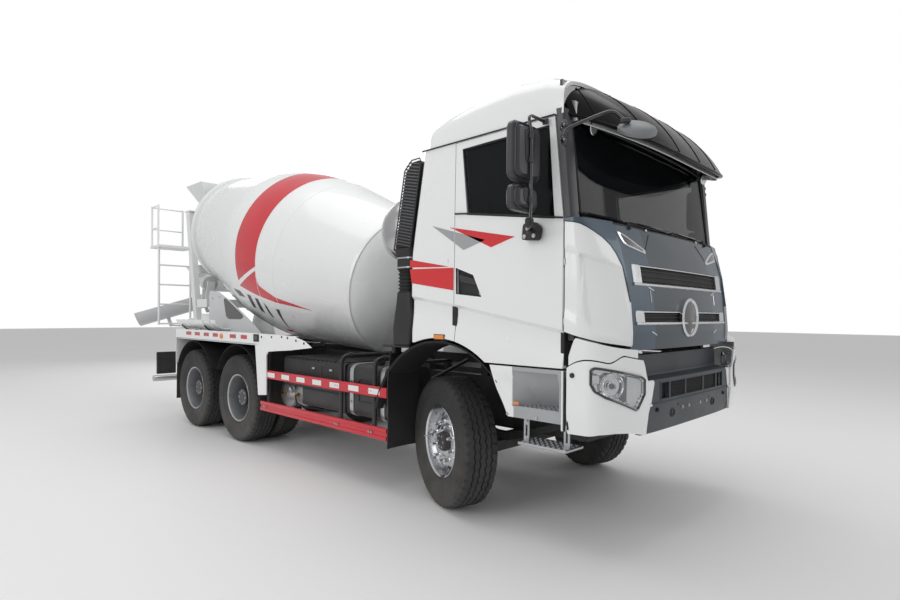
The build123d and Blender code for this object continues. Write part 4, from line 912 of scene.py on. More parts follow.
def wrap_point(column, z):
    """The point of a column at a height, with its direction into the cab."""
    kind, side, share = column
    back = rear_edge(z)
    if kind == "side":
        x = 0.188 + (back + CORNER - 0.188) * share
        return on_side(side, x, z), Vector((0, -side, 0))
    if kind == "wall":
        return at(back, -(CAB_HALF - CORNER) + 2 * (CAB_HALF - CORNER) * share, z), AHEAD
    turn = share * math.pi / 2
    centre = at(back + CORNER, side * (CAB_HALF - CORNER), z)
    out = Vector((-math.sin(turn), side * math.cos(turn), 0))
    dip = side_depth(back + CORNER, z) * math.cos(turn)
    return centre + out * (CORNER - dip), -out


shell = Maker("cab_rear_shell", "cab", "white_paint", ["cab_rear"])
columns = wrap_columns()
drops = [-0.3, -0.2, -0.14, -0.08, -0.05, -0.03, -0.015, 0.0, 0.012, 0.1, 0.3]
rows, inwards = [], {}
for level in range(2 + len(drops) + 12):
    row = []
    for column in columns:
        kind, side, share = column
        x = 0.188 + (-0.28 - 0.188) * share if kind == "side" else -0.28
        low = arch_top(x)
        if level == 0:
            z = low
        elif level <= len(drops):
            z = max(low + 0.004 * level, crease_height(x) + drops[level - 1])
        else:
            start = crease_height(x) + drops[-1]
            z = start + (ROOF_SEAM - start) * (level - len(drops)) / 13
        point, inward = wrap_point(column, z)
        inwards[tuple(round(v, 6) for v in point)] = inward
        row.append(point)
    rows.append(row)
shell.skin(rows, 0.045, "white_paint", lambda p: inwards[tuple(round(v, 6) for v in p)], lining="cab_lining")
for side, hand in SIDES:
    # Black seals in the door gap, made solid so that they also paint the shade in the gap, and the grip behind
    # the door.
    shell.block(at(0.15, side * 1.15, 1.42), at(0.205, side * 1.222, 2.955), "seal_rubber")
    shell.tube([on_side(side, 0.12, z, 0.004) for z in (2.02, 2.05)], 0.004, "white_paint", sides=8)
shell.done(sharp=32)

# %% [markdown]
# ## Roof
# The roof is a tall pressing with a boxy cross-section and rounded shoulders. A superellipse gives that
# section, and its height follows the roof's side line from the rear lip over the crown to the visor.

# %% Roof
roof_height = table(
    [-0.203, -0.19, -0.16, -0.125, -0.06, 0.086, 0.4, 0.754, 1.03, 1.19],
    [2.966, 3.03, 3.1, 3.155, 3.2, 3.262, 3.325, 3.35, 3.318, 3.245])
ROOF_POWER = 2 / 5.5


def roof_section(x, steps=28):
    """Points across the roof at a station, from the right seam over to the left seam."""
    height = roof_height(x) - ROOF_SEAM
    half = CAB_HALF - 0.012 - 0.05 * smooth_step(-0.08, -0.203, x) if x < -0.08 else CAB_HALF - 0.012
    points = []
    for k in range(steps + 1):
        turn = math.pi * k / steps
        c, s = math.cos(turn), math.sin(turn)
        y = -half * math.copysign(abs(c) ** ROOF_POWER, c)
        points.append(at(x, y, ROOF_SEAM + height * abs(s) ** ROOF_POWER))
    return points


def roof_top(x, y):
    """Height of the roof at a station and a distance from the middle."""
    share = max(0.0, 1 - (abs(y) / (CAB_HALF - 0.012)) ** (2 / ROOF_POWER))
    return ROOF_SEAM + (roof_height(x) - ROOF_SEAM) * share ** (ROOF_POWER / 2)


def towards_cab_middle(point):
    """Into the cab from the roof."""
    return (at(0.5, 0, 2.4) - point).normalized()


roof = Maker("cab_roof_panel", "cab", "white_paint", ["cab_roof"])
stations = [
    -0.203, -0.195, -0.185, -0.16, -0.125, -0.09, -0.06, 0.0, 0.086, 0.2, 0.3, 0.4, 0.52, 0.64, 0.754, 0.86,
    0.95, 1.03, 1.1, 1.15, 1.19]
roof.skin([roof_section(x) for x in stations], 0.03, "white_paint", towards_cab_middle, lining="cab_lining")
for side, hand in SIDES:
    # Drip line over the door, and the pillar with its two bolts.
    drip = [at(x, side * (CAB_HALF - 0.006), ROOF_SEAM + 0.001) for x in (-0.19, 0.2, 0.7, 1.12)]
    roof.tube(drip + [at(1.185, side * 1.222, 2.93)], 0.006, "seal_rubber", sides=8)
    pillar = []
    for z in np.linspace(2.262, 3.0, 9):
        front = 1.262 - (z - 2.262) * 0.098
        back = 1.212 - (z - 2.262) * 0.104
        pillar.append(
            [at(back, side * 1.238, z), at(front - 0.012, side * 1.232, z), at(front, side * 1.215, z),
            at(front + 0.004, side * 1.145, z), at(front - 0.05, side * 1.12, z), at(back, side * 1.15, z)])
    roof.loft(pillar, "mirror_shell")
    for z in (2.86, 2.8):
        x = 1.262 - (z - 2.262) * 0.098
        roof.lathe(
            [(-0.004, 0.02), (0.004, 0.02), (0.008, 0.014)], at(x - 0.02, side * 1.236, z), (0, side, 0),
            "gloss_black", sides=20)
        roof.bolt(at(x - 0.02, side * 1.242, z), (0, side, 0), 0.006)
# Black header between the windscreen and the visor.
header = [
    [at(1.165 + 0.02 * (1 - (y / 1.2) ** 2), y, z) for y in np.linspace(-1.21, 1.21, 25)]
    for z in (2.94, 3.0, 3.08, 3.15, 3.2)]
roof.skin(header, 0.02, "gloss_black", towards(-1, 0, 0))
roof.done(sharp=34)

# %% [markdown]
# ## Cab corners
# The corner panels bend from the door round to the front lid. Each has a raised post behind, a scoop that
# guides air along the door, and a bright edge at the lid. The plan is a cubic curve at the top and at the
# bottom, blended in between, and the scoop is a depth that fades in and out across that sheet. Rows follow
# the ledges and the colour break, so both stay crisp.

# %% Corner panels and bulkhead
def through(points, steps=8):
    """A smooth route that passes through every point."""
    points = [Vector(p) for p in points]
    padded = [points[0] * 2 - points[1]] + points + [points[-1] * 2 - points[-2]]
    route = []
    for a, b, c, d in zip(padded, padded[1:], padded[2:], padded[3:]):
        for k in range(steps):
            t = k / steps
            route.append(0.5 * (2 * b + (c - a) * t + (2 * a - 5 * b + 4 * c - d) * t * t
                                + (3 * b - a - 3 * c + d) * t ** 3))
    return route + [points[-1]]


lid_line = table([1.372, 1.5, 1.72, 1.95, 2.1, 2.258], [1.516, 1.52, 1.502, 1.47, 1.428, 1.372])
PLAN_LOW = through([(1.215, 1.243, 0), (1.33, 1.228, 0), (1.44, 1.14, 0), (1.53, 0.905, 0)])
PLAN_HIGH = through([(1.215, 1.243, 0), (1.29, 1.228, 0), (1.33, 1.14, 0), (1.375, 0.905, 0)])
LAST = len(PLAN_LOW) - 1
panel_edge = table([0, 1], [1.5, 1.402])
low_ledge = table([0, 1], [1.592, 1.413])
high_ledge = table([0, 0.15, 0.5, 0.75, 1], [2.065, 2.05, 2.02, 1.982, 1.94])
colour_break = table(
    [0, 0.258, 0.45, 0.6, 0.7, 0.8, 0.88, 0.94, 0.98, 1],
    [2.236, 2.225, 2.214, 2.196, 2.172, 2.135, 2.08, 2.0, 1.88, 1.7])
post_edge = table([1.45, 1.55, 1.65, 2.02], [0.58, 0.44, 0.39, 0.33])


def scoop(s, z):
    """Depth of the corner panel's scoop at a share round the corner and a height."""
    inside = smooth_step(0, 0.03, high_ledge(s) - z) * smooth_step(0, 0.07, z - low_ledge(s))
    behind_post = smooth_step(post_edge(z), post_edge(z) + 0.07, s) * (1 - smooth_step(0.55, 0.97, s))
    return inside * (0.01 * (1 - smooth_step(0.6, 1, s)) + 0.026 * behind_post)


def corner_point(side, k, z):
    """A point on the corner panel's outside, at a column and a height."""
    share = (lid_line(1.4) - lid_line(z)) / (lid_line(1.4) - lid_line(2.257))
    plan = PLAN_LOW[k].lerp(PLAN_HIGH[k], share)
    inwards = (Vector((1.1, 0.8, 0)) - plan).normalized()
    plan = plan + inwards * scoop(k / LAST, z)
    return at(plan.x, side * plan.y, z)


corners = Maker("cab_corner_panels", "cab", "white_paint", ["cab_front"])
for side, hand in SIDES:
    def to_cab(point):
        return (at(1.05, side * 0.8, point.z) - point).normalized()

    rows = []
    for level in range(31):
        row = []
        for k in range(LAST + 1):
            s = k / LAST
            top = colour_break(s)
            stops = [
                panel_edge(s), low_ledge(s), low_ledge(s) + 0.07, min(high_ledge(s), top - 0.03) - 0.035,
                min(high_ledge(s), top - 0.03), top, 2.257]
            row.append(corner_point(side, k, float(np.interp(level, [0, 3, 9, 16, 22, 27, 30], stops))))
        rows.append(row)
    corners.skin(
        rows, 0.016, "white_paint", to_cab, paint=lambda i, j: "lid_paint" if i >= 27 else None,
        lining="chassis_black")
    seam = [corner_point(side, k, colour_break(k / LAST)) for k in range(LAST + 1)]
    corners.tube(seam, 0.0035, "seal_rubber", sides=6)
    corners.tube(
        [corner_point(side, LAST, z) for z in np.linspace(1.41, 1.7, 8)], 0.0045, "white_paint", sides=8)
    # Black seal behind the door's front gap, made solid so that it also paints the shade in the gap.
    corners.block(at(1.172, side * 1.15, 1.27), at(1.204, side * 1.22, 2.26), "seal_rubber")
    for z in (1.55, 1.95):
        corners.lathe(
            [(0, 0.01), (0.045, 0.01)], at(1.2085, side * 1.232, z - 0.005), UP, "satin_silver", sides=16)
    corners.block(at(1.27, side * 0.712, 2.223), at(1.322, side * 0.725, 2.247), "chassis_black")
    corners.lathe(
        [(0, 0.006), (0.037, 0.006)], at(1.31, side * 0.688, 2.235), (0, side, 0), "satin_silver", sides=12)
# Bulkhead with pressed ribs, and the service boxes that the lid gives access to.
corners.block(at(1.25, -1.15, 1.42), at(1.275, 1.15, 2.245), "chassis_black", edge=0.006)
for y in np.linspace(-1.0, 1.0, 9):
    corners.prism(
        ahead([(1.275, y - 0.03), (1.285, y - 0.018), (1.285, y + 0.018), (1.275, y + 0.03)]), "z", 1.5, 2.18,
        "chassis_black")
for low, high, name in (
        ((-0.62, 1.62), (-0.34, 1.92), "black_plastic"), ((-0.2, 1.55), (0.16, 1.8), "lamp_white"),
        ((0.34, 1.6), (0.66, 2.0), "black_plastic")):
    corners.prism(
        [(low[0], low[1]), (high[0], low[1]), (high[0], high[1]), (low[0], high[1])], "x", FRONT_AXLE_X + 1.28,
        FRONT_AXLE_X + 1.345, name, corner=0.03, edge=0.01)
corners.lathe([(0, 0.035), (0.02, 0.035), (0.026, 0.028)], at(1.33, -0.02, 1.82), UP, "amber_lens", sides=24)
corners.done(sharp=32)

# %% [markdown]
# ## Front lid
# The lid below the windscreen lifts on two hinges for the daily checks. It has two long slots with bright
# frames and end caps, a chromed vent in each upper corner and a round badge ring, which stays bare here. The
# sheet is a grid with the slots left open. Trim is laid on the same surface function, so it follows the bow.

# %% The lid's surface
LID_HALF = 0.897


def on_lid(y, z, lift=0.0):
    """A point on the lid's outside."""
    return at(lid_line(z) + 0.03 * (1 - (y / LID_HALF) ** 2) + lift, y, z)


def lid_plate(maker, outline, finish_name, lift=0.004, depth=0.012):
    """A flat piece of trim with a (y, z) outline, laid on the lid."""
    back = [on_lid(y, z, lift - depth) for y, z in outline]
    middle = sum(back, Vector()) / len(back)
    edge = [on_lid(y, z, lift - 0.002) for y, z in outline]
    front = [p.lerp(middle + AHEAD * depth, 0.03) + AHEAD * 0.002 for p in edge]
    maker.loft([back, edge, front], finish_name)


def mirrored(outline, side):
    """An outline drawn for the right side, on either side."""
    return [(y * -side, z) for y, z in outline]


lid = Maker("front_lid_panel", "front_lid", "grey_blue_paint", ["front_lid"])
SLOTS = ((1.547, 1.645, 0.83), (1.82, 1.967, 0.82))
ys = refine([-LID_HALF, -0.82, -0.56, -0.44, 0.44, 0.56, 0.82, LID_HALF], [2, 5, 3, 12, 3, 5, 2])
zs = refine([1.372, 1.4, 1.547, 1.645, 1.82, 1.967, 2.1, 2.228, 2.238], [1, 4, 3, 5, 4, 4, 4, 1])
slot_rows = [(5, 8), (13, 17)]


def in_slot(i, j):
    return any(low <= i < high for low, high in slot_rows) and 2 <= j < len(ys) - 3


def lid_colour(i, j):
    return "lid_centre" if 7 <= j < len(ys) - 8 else None


lid.skin(
    [[on_lid(y, z) for y in ys] for z in zs], 0.022, "lid_paint", towards(-1, 0, 0), hole=in_slot,
    paint=lid_colour, lining="chassis_black")
for low, high, half in SLOTS:
    # Dark louvre panel set back in the slot, with its bright frame and end caps. The panel is a flat black
    # sheet: partly the grille's own black, partly painted shade behind the louvres.
    back = [
        [on_lid(y, z, -0.02) for y in np.linspace(-0.8, 0.8, 21)]
        for z in np.linspace(low + 0.002, high - 0.002, 4)]
    lid.skin(back, 0.004, "black_liner_and_shade", towards(-1, 0, 0))
    for k in range(1, 4):
        z = low + (high - low) * k / 4
        lid.tube([on_lid(y, z, -0.016) for y in np.linspace(-0.7, 0.7, 17)], 0.0035, "black_plastic", sides=6)
    frame_line = [on_lid(y, low + 0.009, 0.002) for y in np.linspace(-half, half, 25)]
    lid.tube(frame_line, 0.011, "bright_alloy", sides=10)
    lid.tube(
        [on_lid(y, high - 0.007, -0.006) for y in np.linspace(-half, half, 25)], 0.006, "bright_alloy", sides=8)
    for side, hand in SIDES:
        cap = [
            (-half, low + 0.02), (-half + 0.02, low), (-half + 0.1, low), (-half + 0.115, low + 0.02),
            (-half + 0.11, high - 0.015), (-half + 0.095, high), (-half + 0.005, high),
            (-half - 0.004, high - 0.02)]
        lid_plate(lid, mirrored(cap, side), "bright_alloy", lift=0.006, depth=0.026)
for side, hand in SIDES:
    vent = [
        (-0.893, 2.19), (-0.85, 2.186), (-0.78, 2.165), (-0.6, 2.092), (-0.572, 2.078), (-0.574, 2.058),
        (-0.6, 2.055), (-0.8, 2.09), (-0.85, 2.105), (-0.88, 2.15)]
    lid_plate(lid, mirrored(vent, side), "chrome", lift=0.007)
    # Flat gloss-black plate on the chrome: painted shade of the vent's open mouth.
    vent_mouth_shade = [
        (-0.862, 2.172), (-0.846, 2.173), (-0.78, 2.151), (-0.61, 2.082), (-0.606, 2.073), (-0.79, 2.105),
        (-0.832, 2.118)]
    lid_plate(lid, mirrored(vent_mouth_shade, side), "gloss_black", lift=0.0095, depth=0.004)
    for dash in (
            [(-0.617, 1.817), (-0.549, 1.795), (-0.549, 1.786), (-0.617, 1.806)],
            [(-0.617, 1.502), (-0.549, 1.478), (-0.549, 1.468), (-0.617, 1.491)]):
        lid_plate(lid, mirrored(dash, side), "chrome", lift=0.005)
    lid.tube([on_lid(side * 0.6, z, 0.002) for z in (1.705, 1.75, 1.79)], 0.0035, "chrome", sides=8)
    lid.tube(
        [on_lid(side * 0.436, 2.208, 0.001), on_lid(side * 0.561, 2.087, 0.001)], 0.0028, "seal_rubber",
        sides=6)
    lid.lathe(
        [(0, 0.012), (0.012, 0.012), (0.016, 0.008)], on_lid(side * 0.47, 2.236, -0.002), (1, 0, 0.4), "chrome",
        sides=16)
    hinge = at(1.31, side * 0.7, 2.235)
    lid.block(hinge - Vector((0.012, 0.01, 0.012)), hinge + Vector((0.1, 0.01, 0.01)), "chassis_black")
# The bare badge: a bright ring round a plain dark disc.
badge = on_lid(0.0, 1.596, 0.01)
lid.lathe(
    [(-0.02, 0.15), (0.006, 0.152), (0.016, 0.144), (0.016, 0.136), (0.004, 0.128), (-0.02, 0.128)], badge,
    AHEAD, "chrome", sides=64, closed=True)
lid.lathe([(-0.02, 0.13), (0.0, 0.13), (0.006, 0.05), (0.007, 0.012)], badge, AHEAD, "gloss_black", sides=64)
lid.done(sharp=30)
print("lid", len(ys), "by", len(zs))

# %% [markdown]
# ## Windscreen, cowl and wipers
# The screen is bowed in plan. A sheet with real thickness bends the light as glass does. The black cowl
# below it hides the wiper spindles.

# %% Windscreen
def on_screen(y, z, lift=0.0):
    """A point on the windscreen's outside."""
    return at(1.262 - (z - 2.262) * 0.125 + 0.055 * (1 - (y / 1.14) ** 2) + lift, y, z)


screen = Maker("windscreen_pane", "cab", "glass", ["windscreen"])
screen.skin(
    [[on_screen(y, z) for y in np.linspace(-1.125, 1.125, 31)] for z in np.linspace(2.28, 2.958, 12)], 0.006,
    "cab_glass", towards(-1, 0, 0))
screen.done(sharp=40)

cowl = Maker("cowl_and_wipers", "cab", "black_plastic")
cowl_rows = [
    [on_screen(y, 2.29, 0.002) for y in np.linspace(-1.12, 1.12, 25)],
    [on_screen(y, 2.272, 0.02) for y in np.linspace(-1.12, 1.12, 25)],
    [at(1.335 + 0.03 * (1 - y * y), y, 2.262) for y in np.linspace(-1.1, 1.1, 25)],
    [at(1.345 + 0.028 * (1 - y * y), y * 0.8, 2.254) for y in np.linspace(-1.1, 1.1, 25)]]
cowl.skin(cowl_rows, 0.008, "black_plastic", towards(0, 0, -1))
seal = [
    on_screen(y, z, 0.001) for y, z in [(-1.125, 2.3), (-1.12, 2.94)] + [(y, 2.955)
    for y in np.linspace(-1.1, 1.1, 15)] + [(1.12, 2.94), (1.125, 2.3)]]
cowl.tube(seal, 0.01, "seal_rubber", sides=8)
for pivot, reach in ((-0.62, 0.52), (0.1, 0.62), (0.8, 0.6)):
    # Spindle, arm and blade, parked along the foot of the screen.
    foot = at(1.325 + 0.02 * (1 - pivot * pivot), pivot, 2.262)
    cowl.lathe([(0, 0.022), (0.02, 0.02), (0.028, 0.012)], foot, (0.3, 0, 1), "black_plastic", sides=20)
    tip = on_screen(pivot - reach * 0.86, 2.3, 0.02)
    cowl.tube(
        [foot + Vector((0, 0, 0.018)), foot.lerp(tip, 0.35) + Vector((0.004, 0, 0.014)), tip], 0.008,
        "gloss_black", bend=0.05, sides=8, flat=0.6)
    blade = [
        on_screen(y, 2.298 + 0.01 * (pivot - y) * (y - pivot + reach), 0.012)
        for y in np.linspace(pivot - reach, pivot - 0.02, 13)]
    cowl.tube(blade, 0.008, "seal_rubber", sides=8)
    cowl.tube([p + Vector((0.009, 0, 0.003)) for p in blade[2:-2]], 0.004, "gloss_black", sides=6)
cowl.done(sharp=36)

# %% [markdown]
# ## Sun visor
# The deep tinted visor hangs in front of the header, closed at its ends and open below. Each section is a
# quadratic curve from its fixing to its lip, and the three control points move back and up towards the ends.

# %% Visor
def visor_point(y, t, lift=0.0):
    """A point on the visor: t runs from the header to the lip."""
    a = min(1.0, abs(y) / 1.18)
    first = Vector((1.15 - 0.04 * a ** 4, y, roof_top(1.15, y) + 0.006 - 0.035 * a ** 8))
    bow = Vector((1.47 - 0.3 * a ** 3, y, 3.13 - 0.06 * a ** 2))
    last = Vector((1.63 - 0.44 * a ** 3, y, 2.775 + 0.2 * a ** 2.5))
    p = first * (1 - t) ** 2 + bow * 2 * t * (1 - t) + last * t * t
    out = Vector((last.z * -1 + first.z, 0, last.x - first.x)).normalized()
    p = p + out * lift
    return at(p.x, p.y, p.z)


VISOR_YS = refine([-1.175, -1.1, -0.9, 0.9, 1.1, 1.175], [3, 4, 24, 4, 3])
visor = Maker("visor_shell", "cab", "visor_black", ["sun_visor"])
visor.skin(
    [[visor_point(y, t) for y in VISOR_YS] for t in np.linspace(0, 1, 17)], 0.014, "visor_gloss",
    towards(-0.75, 0, -0.66), lining="black_plastic")
visor.tube([visor_point(y, 1.0, -0.004) for y in VISOR_YS], 0.013, "visor_gloss", sides=10)
visor.skin(
    [[visor_point(y, t, -0.045) for y in VISOR_YS[3:-3]] for t in (0.86, 0.93, 0.99)], 0.006, "mixer_grey",
    towards(-0.75, 0, -0.66))
for y in (-1.04, -0.7, -0.35, 0.0, 0.35, 0.7, 1.04):
    visor.tube([visor_point(y, t, 0.0015) for t in np.linspace(0.03, 0.97, 10)], 0.0035, "visor_gloss", sides=6)
    visor.bolt(visor_point(y, 0.16, 0.001), (0.5, 0, 0.85), 0.01, "satin_silver", sides=12, height=0.4)
for side, hand in SIDES:
    # Closed cheeks, the end brackets and the small lamps behind them.
    cheek = [visor_point(side * 1.172, t) for t in np.linspace(0, 1, 9)]
    wall = [at(1.1, side * 1.19, z) for z in np.linspace(3.11, 2.945, 9)]
    visor.skin([cheek, wall], 0.01, "visor_gloss", sideways(side))
    visor.prism(
        ahead([(1.16, 2.92), (1.24, 2.92), (1.22, 3.06), (1.15, 3.08)]), "y", side * 1.1, side * 1.14,
        "satin_silver", edge=0.003)
    lamp = at(1.27, side * 0.99, 2.905)
    visor.lathe(
        [(-0.03, 0.02), (0.0, 0.052), (0.008, 0.056), (0.012, 0.052)], lamp, (1, -side * 0.1, -0.2), "chrome",
        sides=28)
    visor.lathe(
        [(0.01, 0.05), (0.018, 0.03), (0.02, 0.002)], lamp, (1, -side * 0.1, -0.2), "lens_glass", sides=28)
    visor.tube([lamp - AHEAD * 0.02, lamp + Vector((-0.02, 0, 0.09))], 0.01, "black_plastic", sides=8)
visor.done(sharp=34)

# %% [markdown]
# ## Front mirror
# A round mirror on a bent tube lets the driver see the ground before the bumper. The bowl and the tube are
# each one sweep, and the tube's foot is bolted to the pillar.

# %% Front mirror
near_mirror = Maker("front_mirror_assembly", "cab", "mirror_black", ["front_mirror"])
foot = at(1.205, -1.252, 2.86)
near_mirror.prism(
    ahead([(1.19, 2.74), (1.225, 2.73), (1.235, 2.9), (1.2, 2.91)]), "y", -1.262, -1.246, "mirror_shell",
    corner=0.012, edge=0.003)
for z in (2.87, 2.77):
    near_mirror.bolt(at(1.213, -1.262, z), (0, -1, 0), 0.012, "gloss_black")
    near_mirror.lathe(
        [(0, 0.022), (0.006, 0.022), (0.01, 0.016)], at(1.213, -1.262, z), (0, -1, 0), "gloss_black")
head = at(1.557, -0.915, 2.845)
look = Vector((0.42, -0.4, 0.81)).normalized()
neck = head + look * 0.055 + Vector((-0.06, -0.07, 0.0))
near_mirror.tube(
    [at(1.215, -1.268, 2.8), at(1.24, -1.262, 2.84), at(1.36, -1.12, 2.925), at(1.44, -1.03, 2.972), neck],
    0.011, "gloss_black", bend=0.05, sides=12)
near_mirror.slab(neck, (1, 0.9, 0.1), (-0.9, 1, 0.2), (0.07, 0.045, 0.035), "mirror_shell", edge=0.008)
near_mirror.lathe(
    [(-0.028, 0.02), (-0.024, 0.118), (-0.016, 0.129), (0.004, 0.13), (0.02, 0.118), (0.034, 0.088),
    (0.042, 0.045), (0.044, 0.004)], head, look, "mirror_bowl", sides=56)
near_mirror.lathe([(-0.03, 0.003), (-0.0295, 0.116)], head, look, "lamp_mirror", sides=56)
near_mirror.done(sharp=34)

# %% [markdown]
# ## Door mirrors
# Each door carries a tall main mirror with a wide-angle one below it, on a bracket with two joints. The
# shells are rounded boxes with a scooped front where the arm runs, and the panes face the driver.

# %% Door mirrors
def mirror_head(maker, side, low, high, inner, outer):
    """A rounded shell with its pane, between two heights and two distances from the middle."""
    near, far = sorted((side * inner, side * outer))
    height = high - low
    shell = [(near, low), (far, low), (far, high), (near, high)]
    maker.prism(
        shell, "x", FRONT_AXLE_X + 0.985, FRONT_AXLE_X + 1.045, "mirror_shell", corner=0.055, edge=0.012)
    dome = [
        (near + 0.012, low + 0.014), (far - 0.012, low + 0.014), (far - 0.012, high - 0.014),
        (near + 0.012, high - 0.014)]
    maker.prism(dome, "x", FRONT_AXLE_X + 1.03, FRONT_AXLE_X + 1.074, "mirror_shell", corner=0.06, edge=0.03)
    trough = [
        ((near + far) / 2 - 0.05, low + height * 0.3), ((near + far) / 2 + 0.05, low + height * 0.3),
        ((near + far) / 2 + 0.06, high - height * 0.12), ((near + far) / 2 - 0.06, high - height * 0.12)]
    maker.prism(
        trough, "x", FRONT_AXLE_X + 1.066, FRONT_AXLE_X + 1.0785, "black_plastic", corner=0.03, edge=0.006)
    pane = [
        (near + 0.016, low + 0.016), (far - 0.016, low + 0.016), (far - 0.016, high - 0.016),
        (near + 0.016, high - 0.016)]
    maker.prism(pane, "x", FRONT_AXLE_X + 0.98, FRONT_AXLE_X + 0.986, "lamp_mirror", corner=0.045)


for side, hand in SIDES:
    pair = Maker(f"{hand}_door_mirrors", f"{hand}_door", "mirror_black", [f"{hand}_mirrors"])
    mirror_head(pair, side, 2.485, 2.872, 1.305, 1.587)
    mirror_head(pair, side, 2.29, 2.462, 1.33, 1.587)
    post = side * 1.447
    pair.tube(
        [at(1.082, post, 2.2), at(1.084, post, 2.42), at(1.084, post, 2.6)], 0.012, "gloss_black", sides=12)
    pair.tube(
        [at(1.084, post, 2.52), at(1.086, post, 2.8), at(1.06, post, 2.925), at(1.045, side * 1.33, 2.935),
        at(1.052, side * 1.262, 2.925)], 0.011, "gloss_black", bend=0.05, sides=12)
    for z in (2.36, 2.62, 2.78):
        pair.lathe([(-0.018, 0.018), (0.018, 0.018)], at(1.083, post, z), UP, "mirror_shell", sides=20)
    # Upper foot, the lower bracket's block, its clamp and pinch bolts.
    pair.block(at(1.04, side * 1.248, 2.905), at(1.085, side * 1.268, 2.945), "mirror_shell", edge=0.005)
    near, far = sorted((side * 1.25, side * 1.31))
    pair.prism(
        ahead([(0.9, 2.13), (1.03, 2.12), (1.05, 2.2), (1.0, 2.25), (0.91, 2.24)]), "y", near, far,
        "black_plastic", corner=0.02, edge=0.008)
    pair.tube(
        [at(0.975, side * 1.29, 2.2), at(1.0, side * 1.37, 2.185), at(1.07, post, 2.19),
        at(1.082, post, 2.215)], 0.015, "gloss_black", bend=0.04, sides=12)
    pair.slab(at(1.075, post, 2.215), (1, 0, 0), (0, 1, 0), (0.05, 0.05, 0.06), "black_plastic", edge=0.01)
    pair.lathe(
        [(0, 0.026), (0.05, 0.026), (0.056, 0.02)], at(0.955, side * 1.285, 2.165), UP, "mirror_shell",
        sides=24)
    pair.bolt(at(0.93, side * 1.311, 2.15), (0, side, 0), 0.01, "satin_silver")
    pair.bolt(at(1.01, side * 1.311, 2.15), (0, side, 0), 0.01, "satin_silver")
    pair.done(sharp=34)

# %% [markdown]
# ## Bumper
# The dark middle of the bumper is a steel pressing with a lip under its air slot, and the recess above it
# takes the lid's foot. Its profile runs across the truck as one sheet with the slot left open. A diamond
# mesh of thin bars closes the slot, and a flat black plate behind the mesh paints the shade in the slot.

# %% Bumper middle
BUMPER_PROFILE = [
    (1.54, 0.797), (1.576, 0.797), (1.585, 0.806), (1.59, 0.86), (1.594, 0.93), (1.598, 0.988), (1.611, 0.993),
    (1.611, 1.002), (1.6, 1.009), (1.6, 1.024), (1.6, 1.142), (1.6, 1.154), (1.59, 1.166), (1.56, 1.172),
    (1.478, 1.176), (1.47, 1.188), (1.466, 1.33), (1.456, 1.338)]
SLOT_ROW = 9


def bumper_point(y, k, lift=0.0):
    """A point on the bumper's profile, bowed back a little towards the ends."""
    x, z = BUMPER_PROFILE[k]
    return at(x - 0.018 * (y / 0.8) ** 4 + lift, y, z)


def into_bumper(point):
    """From the sheet towards its own back."""
    if point.z < 1.165:
        return (at(1.5, point.y, 1.06) - point).normalized()
    return Vector((-1, 0, 0)) if point.x < FRONT_AXLE_X + 1.474 else Vector((0, 0, -1))


bumper = Maker("bumper_middle", "chassis", "bumper_grey", ["bumper"])
ys = refine([-0.825, -0.59, -0.46, -0.17, 0.17, 0.46, 0.59, 0.825], [3, 2, 4, 5, 4, 2, 3])
bumper.skin(
    [[bumper_point(y, k) for y in ys] for k in range(len(BUMPER_PROFILE))], 0.012, "bumper_plastic",
    into_bumper, hole=lambda i, j: i == SLOT_ROW and 3 <= j < 20)
# Flat black plate behind the mesh: painted shade of the hollow behind the slot.
bumper.block(at(1.555, -0.62, 1.012), at(1.562, 0.62, 1.155), "black_liner_and_shade")
for y in (-0.6, -0.46, -0.445, -0.18, -0.165, 0.165, 0.18, 0.445, 0.46, 0.6):
    bumper.block(at(1.575, y - 0.006, 1.015), at(1.598, y + 0.006, 1.15), "bumper_plastic", edge=0.002)
pitch, low, high = 0.022, 1.022, 1.146
for k in range(-3, int(0.9 / pitch)):
    for slope in (-1, 1):
        y0 = -0.45 + k * pitch
        y1 = y0 + 0.07
        ends = ((y0, y1) if slope > 0 else (y1, y0))
        if -0.45 < min(ends) and max(ends) < 0.45:
            bumper.tube([at(1.588, ends[0], low), at(1.588, ends[1], high)], 0.0026, "black_plastic", sides=4)
for y, z in ((-0.64, 0.955), (-0.3, 0.965), (0.3, 0.965), (0.64, 0.955)):
    bumper.lathe(
        [(-0.002, 0.016), (0.002, 0.016), (0.002, 0.01), (-0.008, 0.009)], at(1.5945, y, z), AHEAD,
        "black_liner_and_shade", sides=20, closed=True)
for y in (-0.22, -0.1, 0.12, 0.25):
    bumper.bolt(at(1.594, y, 0.93), AHEAD, 0.009, "satin_silver")
for side, hand in SIDES:
    # Tow socket with its turned rim and the bracket behind it.
    bumper.lathe(
        [(-0.19, 0.0225), (0.003, 0.0225), (0.006, 0.027), (0.003, 0.033), (-0.004, 0.034), (-0.19, 0.034)],
        at(1.594, side * 0.39, 0.91), AHEAD, "cast_black", sides=32, closed=True)
    near, far = sorted((side * 0.352, side * 0.43))
    bumper.block(at(1.401, near, 0.822), at(1.54, far, 0.872), "chassis_black", edge=0.006)
    bumper.block(at(1.401, near, 0.95), at(1.54, far, 0.998), "chassis_black", edge=0.006)
    for z in (0.845, 0.975):
        bumper.bolt(at(1.47, side * 0.43, z), (0, side, 0), 0.014, "satin_silver")
bumper.done(sharp=32)

# %% [markdown]
# ## Bumper corners and headlamps
# Each white corner wraps from the step to the bumper's middle, and its top stays clear of the door and the
# corner panel when the cab tips. The headlamp sits in a window in it: a chromed bowl, a round reflector
# with a shrouded bulb, a row of ribs at the inner end and a clear cover that continues the corner's bend.

